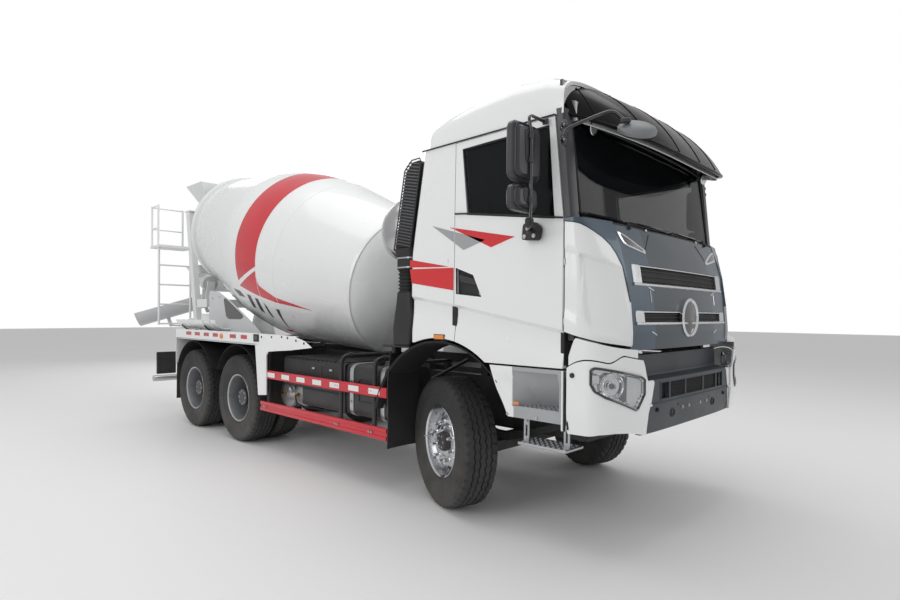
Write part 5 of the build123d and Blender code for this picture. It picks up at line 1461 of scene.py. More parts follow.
# %% Corner sheet
CORNER_PLAN = through(
    [(1.242, 1.249, 0), (1.33, 1.246, 0), (1.405, 1.238, 0), (1.47, 1.195, 0), (1.53, 1.105, 0),
    (1.575, 0.985, 0), (1.6, 0.86, 0), (1.602, 0.795, 0)], steps=7)
TILT_X, TILT_Z = 1.4, 1.06
corner_low = table([0.79, 0.86, 0.985, 1.105, 1.2, 1.25], [0.8, 0.812, 0.836, 0.843, 0.838, 0.824])


def corner_high(x, y):
    """Top of the corner, kept inside the arcs that the door and the panel sweep."""
    radius = 0.255 + 0.066 * smooth_step(1.17, 1.04, y)
    top = TILT_Z + math.sqrt(max(radius ** 2 - (x - TILT_X) ** 2, 0))
    shoulder = 1.355 - 0.19 * smooth_step(0.9, 0.8, y)
    return min(top, shoulder)


LAMP_TOP = table([0.852, 0.912, 1.223, 1.238], [1.18, 1.21, 1.27, 1.255])
LAMP_FOOT = table([0.852, 0.939, 1.176, 1.223, 1.238], [1.098, 0.985, 1.083, 1.12, 1.18])
lamp_columns = [k for k, p in enumerate(CORNER_PLAN) if 0.852 < p.y < 1.238]


def corner_sheet(side, k, z, lift=0.0):
    """A point on the bumper corner's outside."""
    here, before, after = CORNER_PLAN[k], CORNER_PLAN[max(k - 1, 0)], CORNER_PLAN[
        min(k + 1, len(CORNER_PLAN) - 1)]
    along = (after - before).normalized()
    out = Vector((-along.y, along.x, 0))
    lean = 0.016 * smooth_step(0.98, 0.8, z)
    p = here + out * (lift - lean)
    return at(p.x, side * p.y, z)


LAMP_EDGE = 0.012
corner_pieces = Maker("bumper_corner_panels", "chassis", "white_paint", ["bumper_corners"])
lamps = Maker("headlamps", "chassis", "glass")
for side, hand in SIDES:
    heights = 34
    grid = []
    for k, p in enumerate(CORNER_PLAN):
        low, high = corner_low(p.y), corner_high(p.x, p.y)
        grid.append([low + (high - low) * i / heights for i in range(heights + 1)])

    def lamp_window(i, j):
        if not (lamp_columns[0] <= j < lamp_columns[-1]):
            return False
        middle_z = (grid[j][i] + grid[j][i + 1] + grid[j + 1][i] + grid[j + 1][i + 1]) / 4
        middle_y = (CORNER_PLAN[j].y + CORNER_PLAN[j + 1].y) / 2
        return LAMP_FOOT(middle_y) + LAMP_EDGE < middle_z < LAMP_TOP(middle_y) - LAMP_EDGE

    rows = [[corner_sheet(side, k, grid[k][i]) for k in range(len(CORNER_PLAN))] for i in range(heights + 1)]
    corner_pieces.skin(
        rows, 0.014, "white_paint", lambda p: (at(1.3, side * 0.9, p.z) - p).normalized(), hole=lamp_window)
    # Fixing knob at the rear edge and the cover strip at the inner edge.
    corner_pieces.lathe(
        [(0, 0.017), (0.01, 0.017), (0.016, 0.009)], at(1.285, side * 1.245, 1.215), (0, side, 0),
        "black_plastic", sides=20)
    corner_pieces.tube([at(1.247, side * 1.236, z) for z in (0.85, 1.05, 1.24)], 0.008, "seal_rubber", sides=8)
    # The white sheet reaches over the bumper's end in a long wedge.
    wedge = []
    for k in range(1, 13):
        inner_y = 0.8 - 0.105 * smooth_step(0.78, 1.2, BUMPER_PROFILE[k][1])
        wedge.append([bumper_point(side * y, k, 0.006) for y in np.linspace(0.815, inner_y, 5)])
    corner_pieces.skin(wedge, 0.005, "white_paint", towards(-1, 0, 0))
    # Bezel, bowl and cover follow the same columns.
    top = [(k, LAMP_TOP(CORNER_PLAN[k].y)) for k in lamp_columns]
    foot = [(k, LAMP_FOOT(CORNER_PLAN[k].y)) for k in lamp_columns]
    outline = top + foot[::-1]
    bezel = [corner_sheet(side, k, z, 0.002) for k, z in outline]
    lamps.tube(bezel + bezel[:1], 0.009, "gloss_black", sides=8)

    def lamp_sheet(lift, inset, name, thickness, steps=7):
        sheet = []
        for i in range(steps + 1):
            t = i / steps
            sheet.append(
                [corner_sheet(side, k, z0 + inset + (z1 - z0 - 2 * inset) * t, lift) for (k, z0),
                (_, z1) in zip(foot, top)])
        lamps.skin(sheet, thickness, name, lambda p: (at(1.3, side * 0.9, p.z) - p).normalized())

    lamp_sheet(-0.07, -0.004, "lamp_mirror", 0.003)
    lamp_sheet(0.003, 0.004, "lens_glass", 0.003)
    for edge_line, drop in ((top, 0.004), (foot, -0.004)):
        lamps.skin(
            [[corner_sheet(side, k, z - drop, -0.001) for k, z in edge_line],
            [corner_sheet(side, k, z - drop, -0.072) for k, z in edge_line]], 0.003, "bright_alloy",
            lambda p: Vector((0, 0, 1 if drop > 0 else -1)))
    bulb = at(1.519 - 0.045, side * 1.121 - side * 0.03, 1.15)
    face = Vector((0.82, side * 0.57, 0.0))
    lamps.lathe(
        [(-0.03, 0.016), (-0.022, 0.04), (0.0, 0.064), (0.024, 0.082), (0.028, 0.082), (0.026, 0.086),
        (0.0, 0.07)], bulb, face, "chrome", sides=40)
    lamps.lathe(
        [(-0.02, 0.012), (0.02, 0.016), (0.026, 0.02), (0.034, 0.018), (0.036, 0.004)], bulb, face,
        "gloss_black", sides=24)
    lamps.lathe(
        [(0.026, 0.032), (0.032, 0.034), (0.032, 0.026), (0.026, 0.026)], bulb, face, "chrome", sides=32,
        closed=True)
    for k in lamp_columns[-9:-1]:
        y = CORNER_PLAN[k].y
        low, high = LAMP_FOOT(y) + 0.018, LAMP_TOP(y) - 0.018
        lamps.tube(
            [corner_sheet(side, k, low, -0.022), corner_sheet(side, k, high, -0.022)], 0.008, "lamp_white",
            sides=8)
    turn = lamp_columns[3]
    lamps.slab(
        corner_sheet(side, turn, 1.195, -0.03), (0, 0, 1), (1, -side * 0.8, 0), (0.06, 0.05, 0.012), "chrome",
        edge=0.004)
corner_pieces.done(sharp=32)
lamps.done(sharp=36)

# %% [markdown]
# Above the bumper corner the cab carries its own white sheet, which closes the view of the bulkhead. Its
# foot follows the corner's top with a small gap, so both read as one form and still part when the cab tips.

# %% Sheets between corner panel and bumper corner
sheet_top = table([1.242, 1.275, 1.3, 1.44, 1.53, 1.575, 1.602], [1.3, 1.4, 1.462, 1.432, 1.402, 1.388, 1.38])
fillers = Maker("cab_lower_corner_sheets", "cab", "white_paint")
for side, hand in SIDES:
    columns = [k for k, p in enumerate(CORNER_PLAN) if p.x > 1.252 and p.y > 0.915]
    rows = []
    for i in range(9):
        row = []
        for k in columns:
            p = CORNER_PLAN[k]
            low = corner_high(p.x, p.y) + 0.009
            row.append(corner_sheet(side, k, low + (max(sheet_top(p.x), low + 0.01) - low) * i / 8, -0.002))
        rows.append(row)
    inner = [p + (at(1.3, side * 0.9, p.z) - p).normalized() * 0.06 for p in rows[-1]]
    fillers.skin(
        rows + [inner], 0.008, "white_paint", lambda p: (at(1.3, side * 0.9, p.z - 0.05) - p).normalized())
fillers.done(sharp=34)

# %% [markdown]
# ## Entry steps
# Under each door a grey fairing holds an upper step, and a lower tread hangs below on two slotted straps.
# Treads are pressed with rows of round grip holes, which read as small raised rings.

# %% Steps
steps = Maker("entry_step_sets", "chassis", "step_aluminium", ["entry_steps"])
for side, hand in SIDES:
    # Fairing: a thin sheet with the step mouth left open, its deep inside and its two facets.
    top_rows = []
    for z in np.linspace(0.872, 1.238, 14):
        rear = float(np.interp(z, [0.872, 1.08, 1.238], [0.722, 0.622, 0.56]))
        xs = refine([rear, 0.775, 1.165, 1.232], [4, 8, 2])
        dip = 0.02 * smooth_step(1.2, 1.12, z)
        top_rows.append([at(x, side * (1.238 - dip * smooth_step(0.6, 0.7, x)), z) for x in xs])
    steps.skin(
        top_rows, 0.012, "fairing_grey", sideways(side), hole=lambda i, j: 3 <= i < 12 and 4 <= j < 12,
        paint=lambda i, j: "white_paint" if j < 4 else None)
    pocket = []
    for z in np.linspace(0.95, 1.222, 8):
        rise = (z - 0.95) / 0.272
        inner_y = 1.03 + 0.165 * rise
        pocket.append(
            [at(0.772, side * 1.228, z), at(0.9 - 0.08 * rise, side * (inner_y + 0.03), z),
            at(0.96, side * inner_y, z), at(1.168, side * inner_y, z)])
    steps.skin(pocket, 0.006, "fairing_grey", sideways(side))
    near, far = sorted((side * 1.0, side * 1.205))
    steps.block(at(0.745, near, 0.935), at(1.185, far, 0.955), "step_alloy", edge=0.003)
    steps.block(at(1.168, near, 0.955), at(1.18, far, 1.225), "fairing_grey")
    strip_in, strip_out = sorted((side * 1.232, side * 1.246))
    steps.block(at(1.196, strip_in, 0.835), at(1.213, strip_out, 1.236), "white_paint", edge=0.004)
    steps.block(
        at(1.214, strip_in, 0.835), at(1.229, strip_out - side * 0.006 if side > 0 else strip_out, 1.236),
        "seal_rubber", edge=0.003)
    for depth in (1.04, 1.09, 1.14, 1.185):
        for x in np.linspace(0.78, 1.15, 10):
            steps.lathe(
                [(0, 0.01), (0.005, 0.01), (0.006, 0.0065), (0.002, 0.0055)], at(x, side * depth, 0.955), UP,
                "step_alloy", sides=10)
    steps.slab(
        at(0.8, side * 1.222, 0.975), (1, 0, 0), (0, 0, 1), (0.055, 0.022, 0.008), "amber_lens", edge=0.003)
    # Lower tread on its slotted hangers.
    near, far = sorted((side * 1.005, side * 1.228))
    steps.block(at(0.822, near, 0.684), at(1.228, far, 0.704), "step_alloy", edge=0.004)
    for depth in (1.05, 1.1, 1.15, 1.2):
        for x in np.linspace(0.85, 1.2, 9):
            steps.lathe(
                [(0, 0.012), (0.005, 0.012), (0.006, 0.008), (0.002, 0.007)], at(x, side * depth, 0.704), UP,
                "step_alloy", sides=10)
    for x in (0.85, 1.19):
        hanger = [
            [at(x - 0.022, side * 1.162, z), at(x - 0.01, side * 1.162, z), at(x + 0.01, side * 1.162, z),
            at(x + 0.022, side * 1.162, z)] for z in (0.692, 0.74, 0.82, 0.872)]
        steps.skin(hanger, 0.01, "step_alloy", sideways(side), hole=lambda i, j: i == 1 and j == 1)
        steps.bolt(at(x, side * 1.163, 0.845), (0, side, 0), 0.01, "satin_silver")
    for x in (0.72, 0.98, 1.21):
        steps.bolt(at(x, side * 1.222, 0.89), (0, side, 0), 0.007, "satin_silver")
    near, far = sorted((side * 0.43, side * 1.0))
    steps.block(at(0.865, near, 0.888), at(0.955, far, 0.953), "chassis_black", edge=0.006)
steps.done(sharp=32)

# %% [markdown]
# ## Front mudguards
# Behind the cab's arch a moulded black liner curves over the tyre, with a lip that shows as a dark line
# under the white panel, and a flat black flap hangs behind the wheel. Both are thin curved sheets.

# %% Liners and flaps
guards = Maker("front_wheel_liners", "chassis", "black_plastic", ["front_mudguards"])
for side, hand in SIDES:
    rows = []
    for y, drop in ((1.236, 0.0), (1.225, 0.012), (1.18, 0.02), (0.875, 0.02), (0.866, 0.0)):
        rows.append(
            [at(-(0.852 - drop) * math.cos(a), side * y, WHEEL_Z + (0.852 - drop) * math.sin(a))
            for a in np.radians(np.linspace(14, 138, 44))])
    guards.skin(rows, 0.006, "black_liner_and_shade", lambda p: (at(0, p.y, WHEEL_Z) - p).normalized())
    for a in np.radians((40, 65, 90, 115)):
        rib = [at(-0.838 * math.cos(a), side * y, WHEEL_Z + 0.838 * math.sin(a)) for y in (0.88, 1.02, 1.19)]
        guards.tube(rib, 0.01, "black_liner_and_shade", sides=8)
    flap = []
    for z in np.linspace(0.405, 1.265, 16):
        bend = 0.01 * math.sin((z - 0.4) * 5.5) + 0.045 * smooth_step(0.95, 1.27, z)
        flap.append(
            [at(-0.64 + bend - 0.012 * (1 - ((y - 1.05) / 0.19) ** 2), side * y, z)
            for y in np.linspace(0.865, 1.238, 10)])
    guards.skin(flap, 0.008, "black_plastic", towards(1, 0, 0))
    for z in (0.6, 0.95, 1.15):
        for y in (0.93, 1.18):
            guards.bolt(
                at(-0.655 + 0.03 * smooth_step(0.95, 1.27, z), side * y, z), (-1, 0, 0), 0.009, "satin_silver")
    # Amber marker on the arch's lip, and the latch above it.
    marker = at(0.02, side * 1.246, 1.425)
    guards.slab(
        marker - Vector((0, side * 0.004, 0)), (1, 0, 0), (0, 0, 1), (0.11, 0.034, 0.01), "amber_lens",
        edge=0.005)
    guards.slab(
        marker - Vector((0, side * 0.01, 0)), (1, 0, 0), (0, 0, 1), (0.13, 0.046, 0.008), "black_plastic",
        edge=0.003)
    near, far = sorted((side * 0.43, side * 0.9))
    guards.tube([at(-0.42, near, 1.02), at(-0.42, far, 1.17)], 0.018, "chassis_black", sides=12)
guards.done(sharp=34)

# %% [markdown]
# ## Tyres
# A truck tyre is a moulded ring: three ribs between zig-zag grooves, open shoulders and a sidewall with
# fine rings. The grooves could be faked by bump, but the tread shows against the light, so the section
# itself changes with the angle: each section is one closed loop, and the loops are joined round the hub.

# %% Tyres
TYRE_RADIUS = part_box("rear_left_tyre")[1].z / 2
TREAD_PITCHES = 46
STEPS_PER_PITCH = 6
finish(
    "tread_rubber", (0.024, 0.024, 0.026), (0.6, 0.8), shade=0.75, dust=0.2, dust_top=1.1, grain=0.25,
    grain_scale=240)
zigzag = [0.0, 0.6, 1.0, 0.0, -0.6, -1.0]
shoulder_cut = [1, 1, 0, 0, 0, 0]


def half_section(k, shift):
    """Half of the tyre's section at step k, from the tread's middle to the bead: along, radius, finish."""
    wave = 0.006 * zigzag[(k + shift) % STEPS_PER_PITCH]
    cut = shoulder_cut[(k + 2 * shift) % STEPS_PER_PITCH]
    sipe = 0.007 * shoulder_cut[(k + 3) % STEPS_PER_PITCH]
    top, groove = TYRE_RADIUS, TYRE_RADIUS - 0.013
    tread = [
        (0.019 + wave, top), (0.022 + wave, groove), (0.031 + wave, groove), (0.034 + wave, top),
        (0.048, top - sipe), (0.066 - wave, top), (0.069 - wave, groove), (0.078 - wave, groove),
        (0.081 - wave, top - 0.001), (0.103, top - 0.002 - 0.011 * cut), (0.121, top - 0.005 - 0.013 * cut),
        (0.133, top - 0.014 - 0.01 * cut)]
    wall = [
        (0.141, top - 0.03), (0.147, 0.5), (0.149, 0.489), (0.1496, 0.488), (0.1496, 0.483), (0.1488, 0.481),
        (0.15, 0.46), (0.149, 0.42), (0.1464, 0.392), (0.1472, 0.39), (0.146, 0.384), (0.142, 0.36),
        (0.13, 0.315), (0.118, 0.3025), (0.115, 0.288)]
    inside = [(0.092, 0.288), (0.116, 0.36), (0.125, 0.42), (0.116, 0.49), (0.1, 0.518), (0.03, 0.521)]
    return (
        [(a, r, "tread_rubber") for a, r in tread] + [(a, r, "tyre_rubber") for a,
        r in wall] + [(a, r, "seal_rubber") for a, r in inside])


def add_tyre(maker, centre, out):
    """One tyre about a centre; out is the way its axle points."""
    first, second = square_to(out)
    steps_round = TREAD_PITCHES * STEPS_PER_PITCH
    rings = []
    for k in range(steps_round):
        turn = 2 * math.pi * k / steps_round
        spoke = first * math.cos(turn) + second * math.sin(turn)
        loop = half_section(k, 0)
        loop = loop + [(-a, r, name) for a, r, name in reversed(half_section(k, 3))]
        rings.append([maker.mesh.verts.new(centre + out * a + spoke * r) for a, r, _ in loop])
    names = [name for _, _, name in loop]
    for k, ring in enumerate(rings):
        after = rings[(k + 1) % steps_round]
        for i, name in enumerate(names):
            j = (i + 1) % len(names)
            maker.face((ring[i], ring[j], after[j], after[i]), names[j] if i else "tread_rubber")


# %% [markdown]
# ## Rims
# Front wheels are forged alloy: a thick disc with ten round hand holes and chromed nut caps. Rear wheels
# are pressed steel in pairs, so the outer one shows a deep dark dish with the hub standing in it. A disc
# with round holes is built as one patch per hole: loops run from the hole's circle out to the patch edge.

# %% Rim parts
HAND_HOLES = 10


def holed_disc(maker, centre, out, radii, place_along, hole_at, hole_size, thick, name):
    """A disc whose hand holes are real openings; place_along(radius) gives its bulge."""
    first, second = square_to(out)
    inner, outer = radii
    half = math.pi / HAND_HOLES
    quarter = [q / 8 for q in range(8)]
    border = (
        [(-half + 2 * half * q, outer) for q in quarter] + [(half, outer + (inner - outer) * q)
        for q in quarter] + [(half - 2 * half * q, inner)
        for q in quarter] + [(-half, inner + (outer - inner) * q) for q in quarter])
    for n in range(HAND_HOLES):
        middle = 2 * half * n
        loops = []
        for share in (0.0, 0.12, 0.5, 1.0):
            loop = []
            for angle, radius in border:
                x, y = radius * math.cos(angle), radius * math.sin(angle)
                reach = math.hypot(x - hole_at, y)
                rim_x, rim_y = hole_at + (x - hole_at) / reach * hole_size, y / reach * hole_size
                x, y = rim_x + (x - rim_x) * share, rim_y + (y - rim_y) * share
                loop.append((math.hypot(x, y), middle + math.atan2(y, x)))
            loops.append(loop)

        def lay(loop, drop):
            return [
                centre + out * (place_along(r) - drop) + (first * math.cos(a) + second * math.sin(a)) * r for r,
                a in loop]
        sheets = [lay(loop, thick) for loop in reversed(loops)] + [lay(loop, 0) for loop in loops]
        maker.loft(sheets, name, caps=False)
    bmesh.ops.remove_doubles(maker.mesh, verts=maker.mesh.verts, dist=2e-5)


def add_barrel(maker, centre, out, name):
    """The rim's barrel with its two flanges, closed round its section."""
    maker.lathe(
        [(-0.125, 0.2985), (-0.116, 0.2985), (-0.111, 0.287), (-0.07, 0.281), (0.05, 0.279), (0.111, 0.287),
        (0.116, 0.2985), (0.125, 0.2985), (0.1275, 0.295), (0.118, 0.278), (0.06, 0.27), (-0.06, 0.27),
        (-0.118, 0.278), (-0.1275, 0.295)], centre, out, name, sides=96, closed=True)


def add_nuts(maker, centre, out, along, caps):
    """Ten wheel nuts, as long chromed caps or as plain hexagons with studs."""
    first, second = square_to(out)
    for n in range(HAND_HOLES):
        turn = 2 * math.pi * (n + 0.5) / HAND_HOLES
        place = centre + out * along + (first * math.cos(turn) + second * math.sin(turn)) * 0.1675
        if caps:
            maker.lathe(
                [(0, 0.021), (0.006, 0.021), (0.01, 0.0165), (0.046, 0.0145), (0.056, 0.0115), (0.06, 0.004)],
                place, out, "chrome", sides=18)
        else:
            maker.lathe([(0, 0.022), (0.004, 0.022)], place, out, "satin_silver", sides=16)
            maker.lathe([(0.004, 0.0175), (0.026, 0.0175), (0.03, 0.0145)], place, out, "satin_silver", sides=6)
            maker.lathe([(0.03, 0.01), (0.046, 0.01), (0.048, 0.008)], place, out, "brushed_steel", sides=10)


def add_valve(maker, centre, out, along):
    """A bent valve stem by the barrel."""
    first, _ = square_to(out)
    maker.tube(
        [centre + out * along + first * 0.262, centre + out * (along + 0.035) + first * 0.25,
        centre + out * (along + 0.075) + first * 0.255], 0.0045, "satin_silver", sides=8)


# %% Front and rear wheels
for axle_name, twin in (("front", False), ("middle", True), ("rear", True)):
    for side, hand in SIDES:
        wheel = f"{axle_name}_{hand}"
        joint = joint_table[wheel + "_wheel_spin"]
        centre, out = Vector(joint["pos_m"]), Vector(joint["axis"]).normalized()
        out = out if out.y * side > 0 else -out
        tyres = Maker(wheel + "_rubber", wheel + "_wheel", "tyre", [wheel + "_tyre"])
        rims = Maker(
            wheel + "_disc_and_hub", wheel + "_wheel", "rear_rim_silver" if twin else "front_rim_alloy",
            [wheel + "_rim"])
        offsets = (-0.1725, 0.1725) if twin else (0.0,)
        for offset in offsets:
            add_tyre(tyres, centre + out * offset, out)
            add_barrel(rims, centre + out * offset, out, "rim_silver" if twin else "bright_alloy")
        if twin:
            for way in (-1, 1):
                holed_disc(
                    rims, centre, out * way, (0.118, 0.271),
                    lambda r: 0.013 + 0.058 * smooth_step(0.188, 0.271, r), 0.226, 0.022, 0.011, "dish_dark")
            add_nuts(rims, centre, out, 0.013, False)
            rims.lathe(
                [(-0.1, 0.0), (-0.1, 0.116), (0.055, 0.116), (0.062, 0.112), (0.075, 0.1), (0.215, 0.097),
                (0.222, 0.104), (0.236, 0.104), (0.243, 0.096), (0.245, 0.04), (0.25, 0.036), (0.25, 0.0)],
                centre, out, "dish_dark", sides=64)
            first, second = square_to(out)
            for n in range(8):
                turn = 2 * math.pi * n / 8
                spoke = first * math.cos(turn) + second * math.sin(turn)
                rims.bolt(centre + out * 0.2425 + spoke * 0.082, out, 0.008, "satin_silver")
            rims.lathe(
                [(-0.29, 0.112), (-0.29, 0.205), (-0.2, 0.205), (-0.196, 0.198), (-0.15, 0.198),
                (-0.146, 0.205), (-0.066, 0.205), (-0.06, 0.19), (-0.06, 0.112)], centre, out, "cast_black",
                sides=64, closed=True)
            add_valve(rims, centre, out, 0.235)
        else:
            holed_disc(
                rims, centre, out, (0.128, 0.271), lambda r: 0.076 - 0.034 * smooth_step(0.186, 0.271, r),
                0.2225, 0.0195, 0.02, "bright_alloy")
            rims.lathe(
                [(0.056, 0.128), (0.076, 0.128), (0.079, 0.131), (0.079, 0.136), (0.074, 0.138)], centre, out,
                "bright_alloy", sides=96)
            add_nuts(rims, centre, out, 0.076, True)
            rims.lathe(
                [(-0.012, 0.0), (-0.012, 0.115), (0.058, 0.115), (0.066, 0.108), (0.068, 0.088), (0.096, 0.08),
                (0.112, 0.076), (0.118, 0.068), (0.118, 0.03), (0.112, 0.026), (0.112, 0.0)], centre, out,
                "cast_black", sides=64)
            first, second = square_to(out)
            for n in range(6):
                turn = 2 * math.pi * n / 6
                spoke = first * math.cos(turn) + second * math.sin(turn)
                rims.bolt(centre + out * 0.117 + spoke * 0.05, out, 0.007, "satin_silver")
            add_valve(rims, centre, out, 0.085)
        tyres.done(sharp=28)
        rims.done(sharp=34)

# %% [markdown]
# ## Rear mudguards
# One flat deck covers both twin wheels on each side. A white strip along its edge carries red reflectors
# and a marker, and a shaped white skirt hangs before the wheels and rises into the frame in a long tip.
# Sheets like these are drawn as outlines and given their sheet thickness, with the bolts set on top.

# %% Deck, strip, skirt and flaps
rear_guards = Maker("rear_wheel_guards", "chassis", "white_paint", ["rear_mudguards"])
SKIRT = [
    (-3.111, 1.229), (-3.031, 0.642), (-2.838, 0.662), (-2.842, 1.12), (-2.8, 1.165), (-2.64, 1.18),
    (-2.3, 1.205), (-1.883, 1.25), (-1.9, 1.262), (-2.02, 1.315), (-2.2, 1.352), (-2.5, 1.366), (-3.012, 1.369),
    (-3.111, 1.369)]
SKIRT_BOLTS = [
    (-2.952, 1.33), (-2.713, 1.337), (-2.485, 1.345), (-2.359, 1.338), (-2.181, 1.315), (-2.02, 1.291)]
REFLECTORS = [
    (-5.195, -5.013), (-4.889, -4.717), (-4.583, -4.419), (-4.292, -4.137), (-3.782, -3.613), (-3.476, -3.317)]
for side, hand in SIDES:
    near, far = sorted((side * 0.6, side * 1.245))
    rear_guards.block(at(-5.6, near, 1.235), at(-3.05, far, 1.247), "white_paint", edge=0.003)
    rear_guards.block(at(-5.585, near + 0.01, 1.229), at(-3.06, far - 0.01, 1.235), "black_liner_and_shade", edge=0.002)
    edge_in, edge_out = sorted((side * 1.233, side * 1.245))
    rear_guards.block(at(-5.6, edge_in, 1.228), at(-3.111, edge_out, 1.37), "white_paint", edge=0.003)
    outline = ahead(SKIRT)
    rear_guards.prism(outline, "y", edge_in, edge_out, "white_paint", edge=0.0025)
    lip_in, lip_out = sorted((side * 1.2, side * 1.234))
    rear_guards.block(at(-3.012, lip_in, 1.35), at(-2.2, lip_out, 1.36), "white_paint", edge=0.002)
    rear_guards.block(
        at(-3.15, side * 1.24, 1.269), at(-3.012, side * 1.25, 1.359), "black_plastic", edge=0.006)
    rear_guards.block(at(-3.12, side * 1.249, 1.29), at(-3.042, side * 1.254, 1.338), "gloss_black", edge=0.006)
    for low, high in REFLECTORS:
        rear_guards.block(at(low, side * 1.245, 1.292), at(high, side * 1.25, 1.34), "red_lens", edge=0.003)
        rear_guards.block(
            at(low - 0.008, side * 1.244, 1.286), at(high + 0.008, side * 1.2475, 1.346), "plate_white",
            edge=0.002)
    rear_guards.lathe(
        [(0, 0.03), (0.006, 0.034), (0.018, 0.032), (0.022, 0.026), (0.022, 0)],
        at(-4.024, side * 1.245, 1.308), (0, side, 0), "amber_lens", sides=28)
    for x, z in SKIRT_BOLTS:
        rear_guards.bolt(at(x, side * 1.245, z), (0, side, 0), 0.009, "black_plastic")
    # Drop plate and rubber flap behind the last wheel, and another flap in front of the first.
    drop_in, drop_out = sorted((side * 0.64, side * 1.245))
    rear_guards.block(at(-5.6, drop_in, 0.86), at(-5.588, drop_out, 1.24), "white_paint", edge=0.003)
    for foot, x in ((0.33, -5.594), (0.48, -3.02)):
        flap = [
            [at(x - 0.018 * math.sin((1.0 - z) * 2.2) + 0.006 * math.sin(y * 31), y, z)
            for y in np.linspace(drop_in + 0.02, drop_out - 0.03, 12)]
            for z in np.linspace(foot, 0.9 if x < -4 else 1.22, 14)]
        rear_guards.skin(flap, 0.008, "black_liner_and_shade", towards(-1, 0, 0))
    # Arched black liners over each pair of wheels and the deck's carriers.
    for x in (-3.64, -4.99):
        arch = [
            [at(x + 0.655 * math.cos(a), y, WHEEL_Z + 0.665 * math.sin(a))
            for a in np.radians(np.linspace(28, 152, 26))] for y in (side * 0.66, side * 1.0, side * 1.228)]
        rear_guards.skin(arch, 0.006, "black_liner_and_shade", towards(0, 0, 1))
    for x in (-3.2, -4.31, -5.5):
        low, high = sorted((side * 0.43, side * 0.62))
        rear_guards.block(at(x - 0.04, low, 1.18), at(x + 0.04, high, 1.235), "chassis_black", edge=0.006)
rear_guards.done(sharp=34)

# %% [markdown]
# ## Tanks and boxes
# Behind the right guard hang the fuel tank on two strapped brackets, a ribbed equipment box and two air
# tanks with their valves. They sit half in shadow, so large rounded forms, straps and a few bright parts
# are what the eye finds there. The left side carries the exhaust box.

# %% Fuel tank, boxes and air tanks
stores = Maker("tanks_and_equipment", "chassis", "black_paint", ["tanks_and_boxes"])


def rounded_box(maker, x_range, y_range, z_range, corner, name, edge=0.012):
    """A tank body: a rounded section in y and z, drawn out along x."""
    outline = [
        (y_range[0], z_range[0]), (y_range[1], z_range[0]), (y_range[1], z_range[1]), (y_range[0], z_range[1])]
    maker.prism(
        outline, "x", FRONT_AXLE_X + x_range[0], FRONT_AXLE_X + x_range[1], name, corner=corner, edge=edge)


rounded_box(stores, (-1.41, -0.7), (-1.14, -0.64), (0.605, 1.115), 0.085, "chassis_black")
for x in (-1.3, -0.82):
    rounded_box(stores, (x - 0.028, x + 0.028), (-1.149, -0.636), (0.6, 1.12), 0.09, "satin_silver", edge=0.002)
    for z in (0.75, 0.95):
        stores.bolt(at(x, -1.149, z), (0, -1, 0), 0.01, "brushed_steel")
    stores.block(at(x - 0.035, -0.7, 0.78), at(x + 0.035, -0.43, 0.9), "chassis_black", edge=0.008)
stores.tube(
    [at(-1.19, -1.141, 0.76), at(-1.19, -1.141, 0.98), at(-0.93, -1.141, 0.98), at(-0.93, -1.141, 0.76),
    at(-1.19, -1.141, 0.76)], 0.008, "chassis_black", bend=0.05, sides=10)
stores.lathe(
    [(0, 0.05), (0.018, 0.05), (0.02, 0.058), (0.044, 0.058), (0.05, 0.05), (0.05, 0.0)],
    at(-1.05, -1.0, 1.112), UP, "black_plastic", sides=36)
rounded_box(stores, (-2.69, -1.48), (-1.1, -0.43), (0.785, 1.105), 0.03, "chassis_black", edge=0.006)
rounded_box(stores, (-2.3, -1.485), (-1.095, -0.56), (0.6, 0.8), 0.03, "chassis_black", edge=0.006)
for x in np.linspace(-2.64, -1.53, 15):
    stores.block(at(x - 0.012, -1.096, 1.1), at(x + 0.012, -0.45, 1.118), "chassis_black", edge=0.005)
for x in (-2.05, -1.72):
    stores.block(at(x - 0.15, -1.105, 0.83), at(x + 0.15, -1.098, 1.05), "black_plastic", edge=0.006)
    stores.slab(at(x, -1.11, 1.02), (1, 0, 0), (0, 0, 1), (0.05, 0.022, 0.014), "satin_silver")
for middle, radius in (((-2.8, 0.66), 0.16), ((-2.5, 0.675), 0.14)):
    x, z = middle
    dome = [
        (0.0, 0.0), (0.004, radius * 0.5), (0.02, radius * 0.86), (0.045, radius), (0.56, radius),
        (0.585, radius * 0.86), (0.6, radius * 0.5), (0.604, 0.0)]
    stores.lathe(dome, at(x, -1.02, z), (0, 1, 0), "rim_silver", sides=56)
    for y in (-0.92, -0.56):
        stores.lathe(
            [(-0.016, radius + 0.001), (-0.016, radius + 0.005), (0.016, radius + 0.005),
            (0.016, radius + 0.001)], at(x, y, z), (0, 1, 0), "chassis_black", sides=56, closed=True)
        stores.tube([at(x, y, z + radius), at(x, y, 0.8)], 0.012, "chassis_black", sides=8)
    stores.lathe(
        [(0, 0.026), (0.03, 0.026), (0.03, 0.016), (0.05, 0.016), (0.05, 0)], at(x, -1.018, z), (0, -1, 0),
        "brass", sides=18)
for x, z, turn in ((-2.64, 0.7, 0.4), (-2.62, 0.79, -0.3), (-2.7, 0.83, 0.9)):
    stores.lathe(
        [(0, 0.024), (0.02, 0.028), (0.05, 0.028), (0.06, 0.02), (0.085, 0.014), (0.085, 0)], at(x, -1.03, z),
        (math.sin(turn), -0.5, math.cos(turn)), "satin_silver", sides=20)
stores.tube(
    [at(-2.8, -1.06, 0.66), at(-2.74, -1.09, 0.78), at(-2.6, -1.08, 0.84), at(-2.36, -1.07, 0.82),
    at(-2.1, -1.05, 0.72)], 0.011, "seal_rubber", bend=0.05, sides=10)
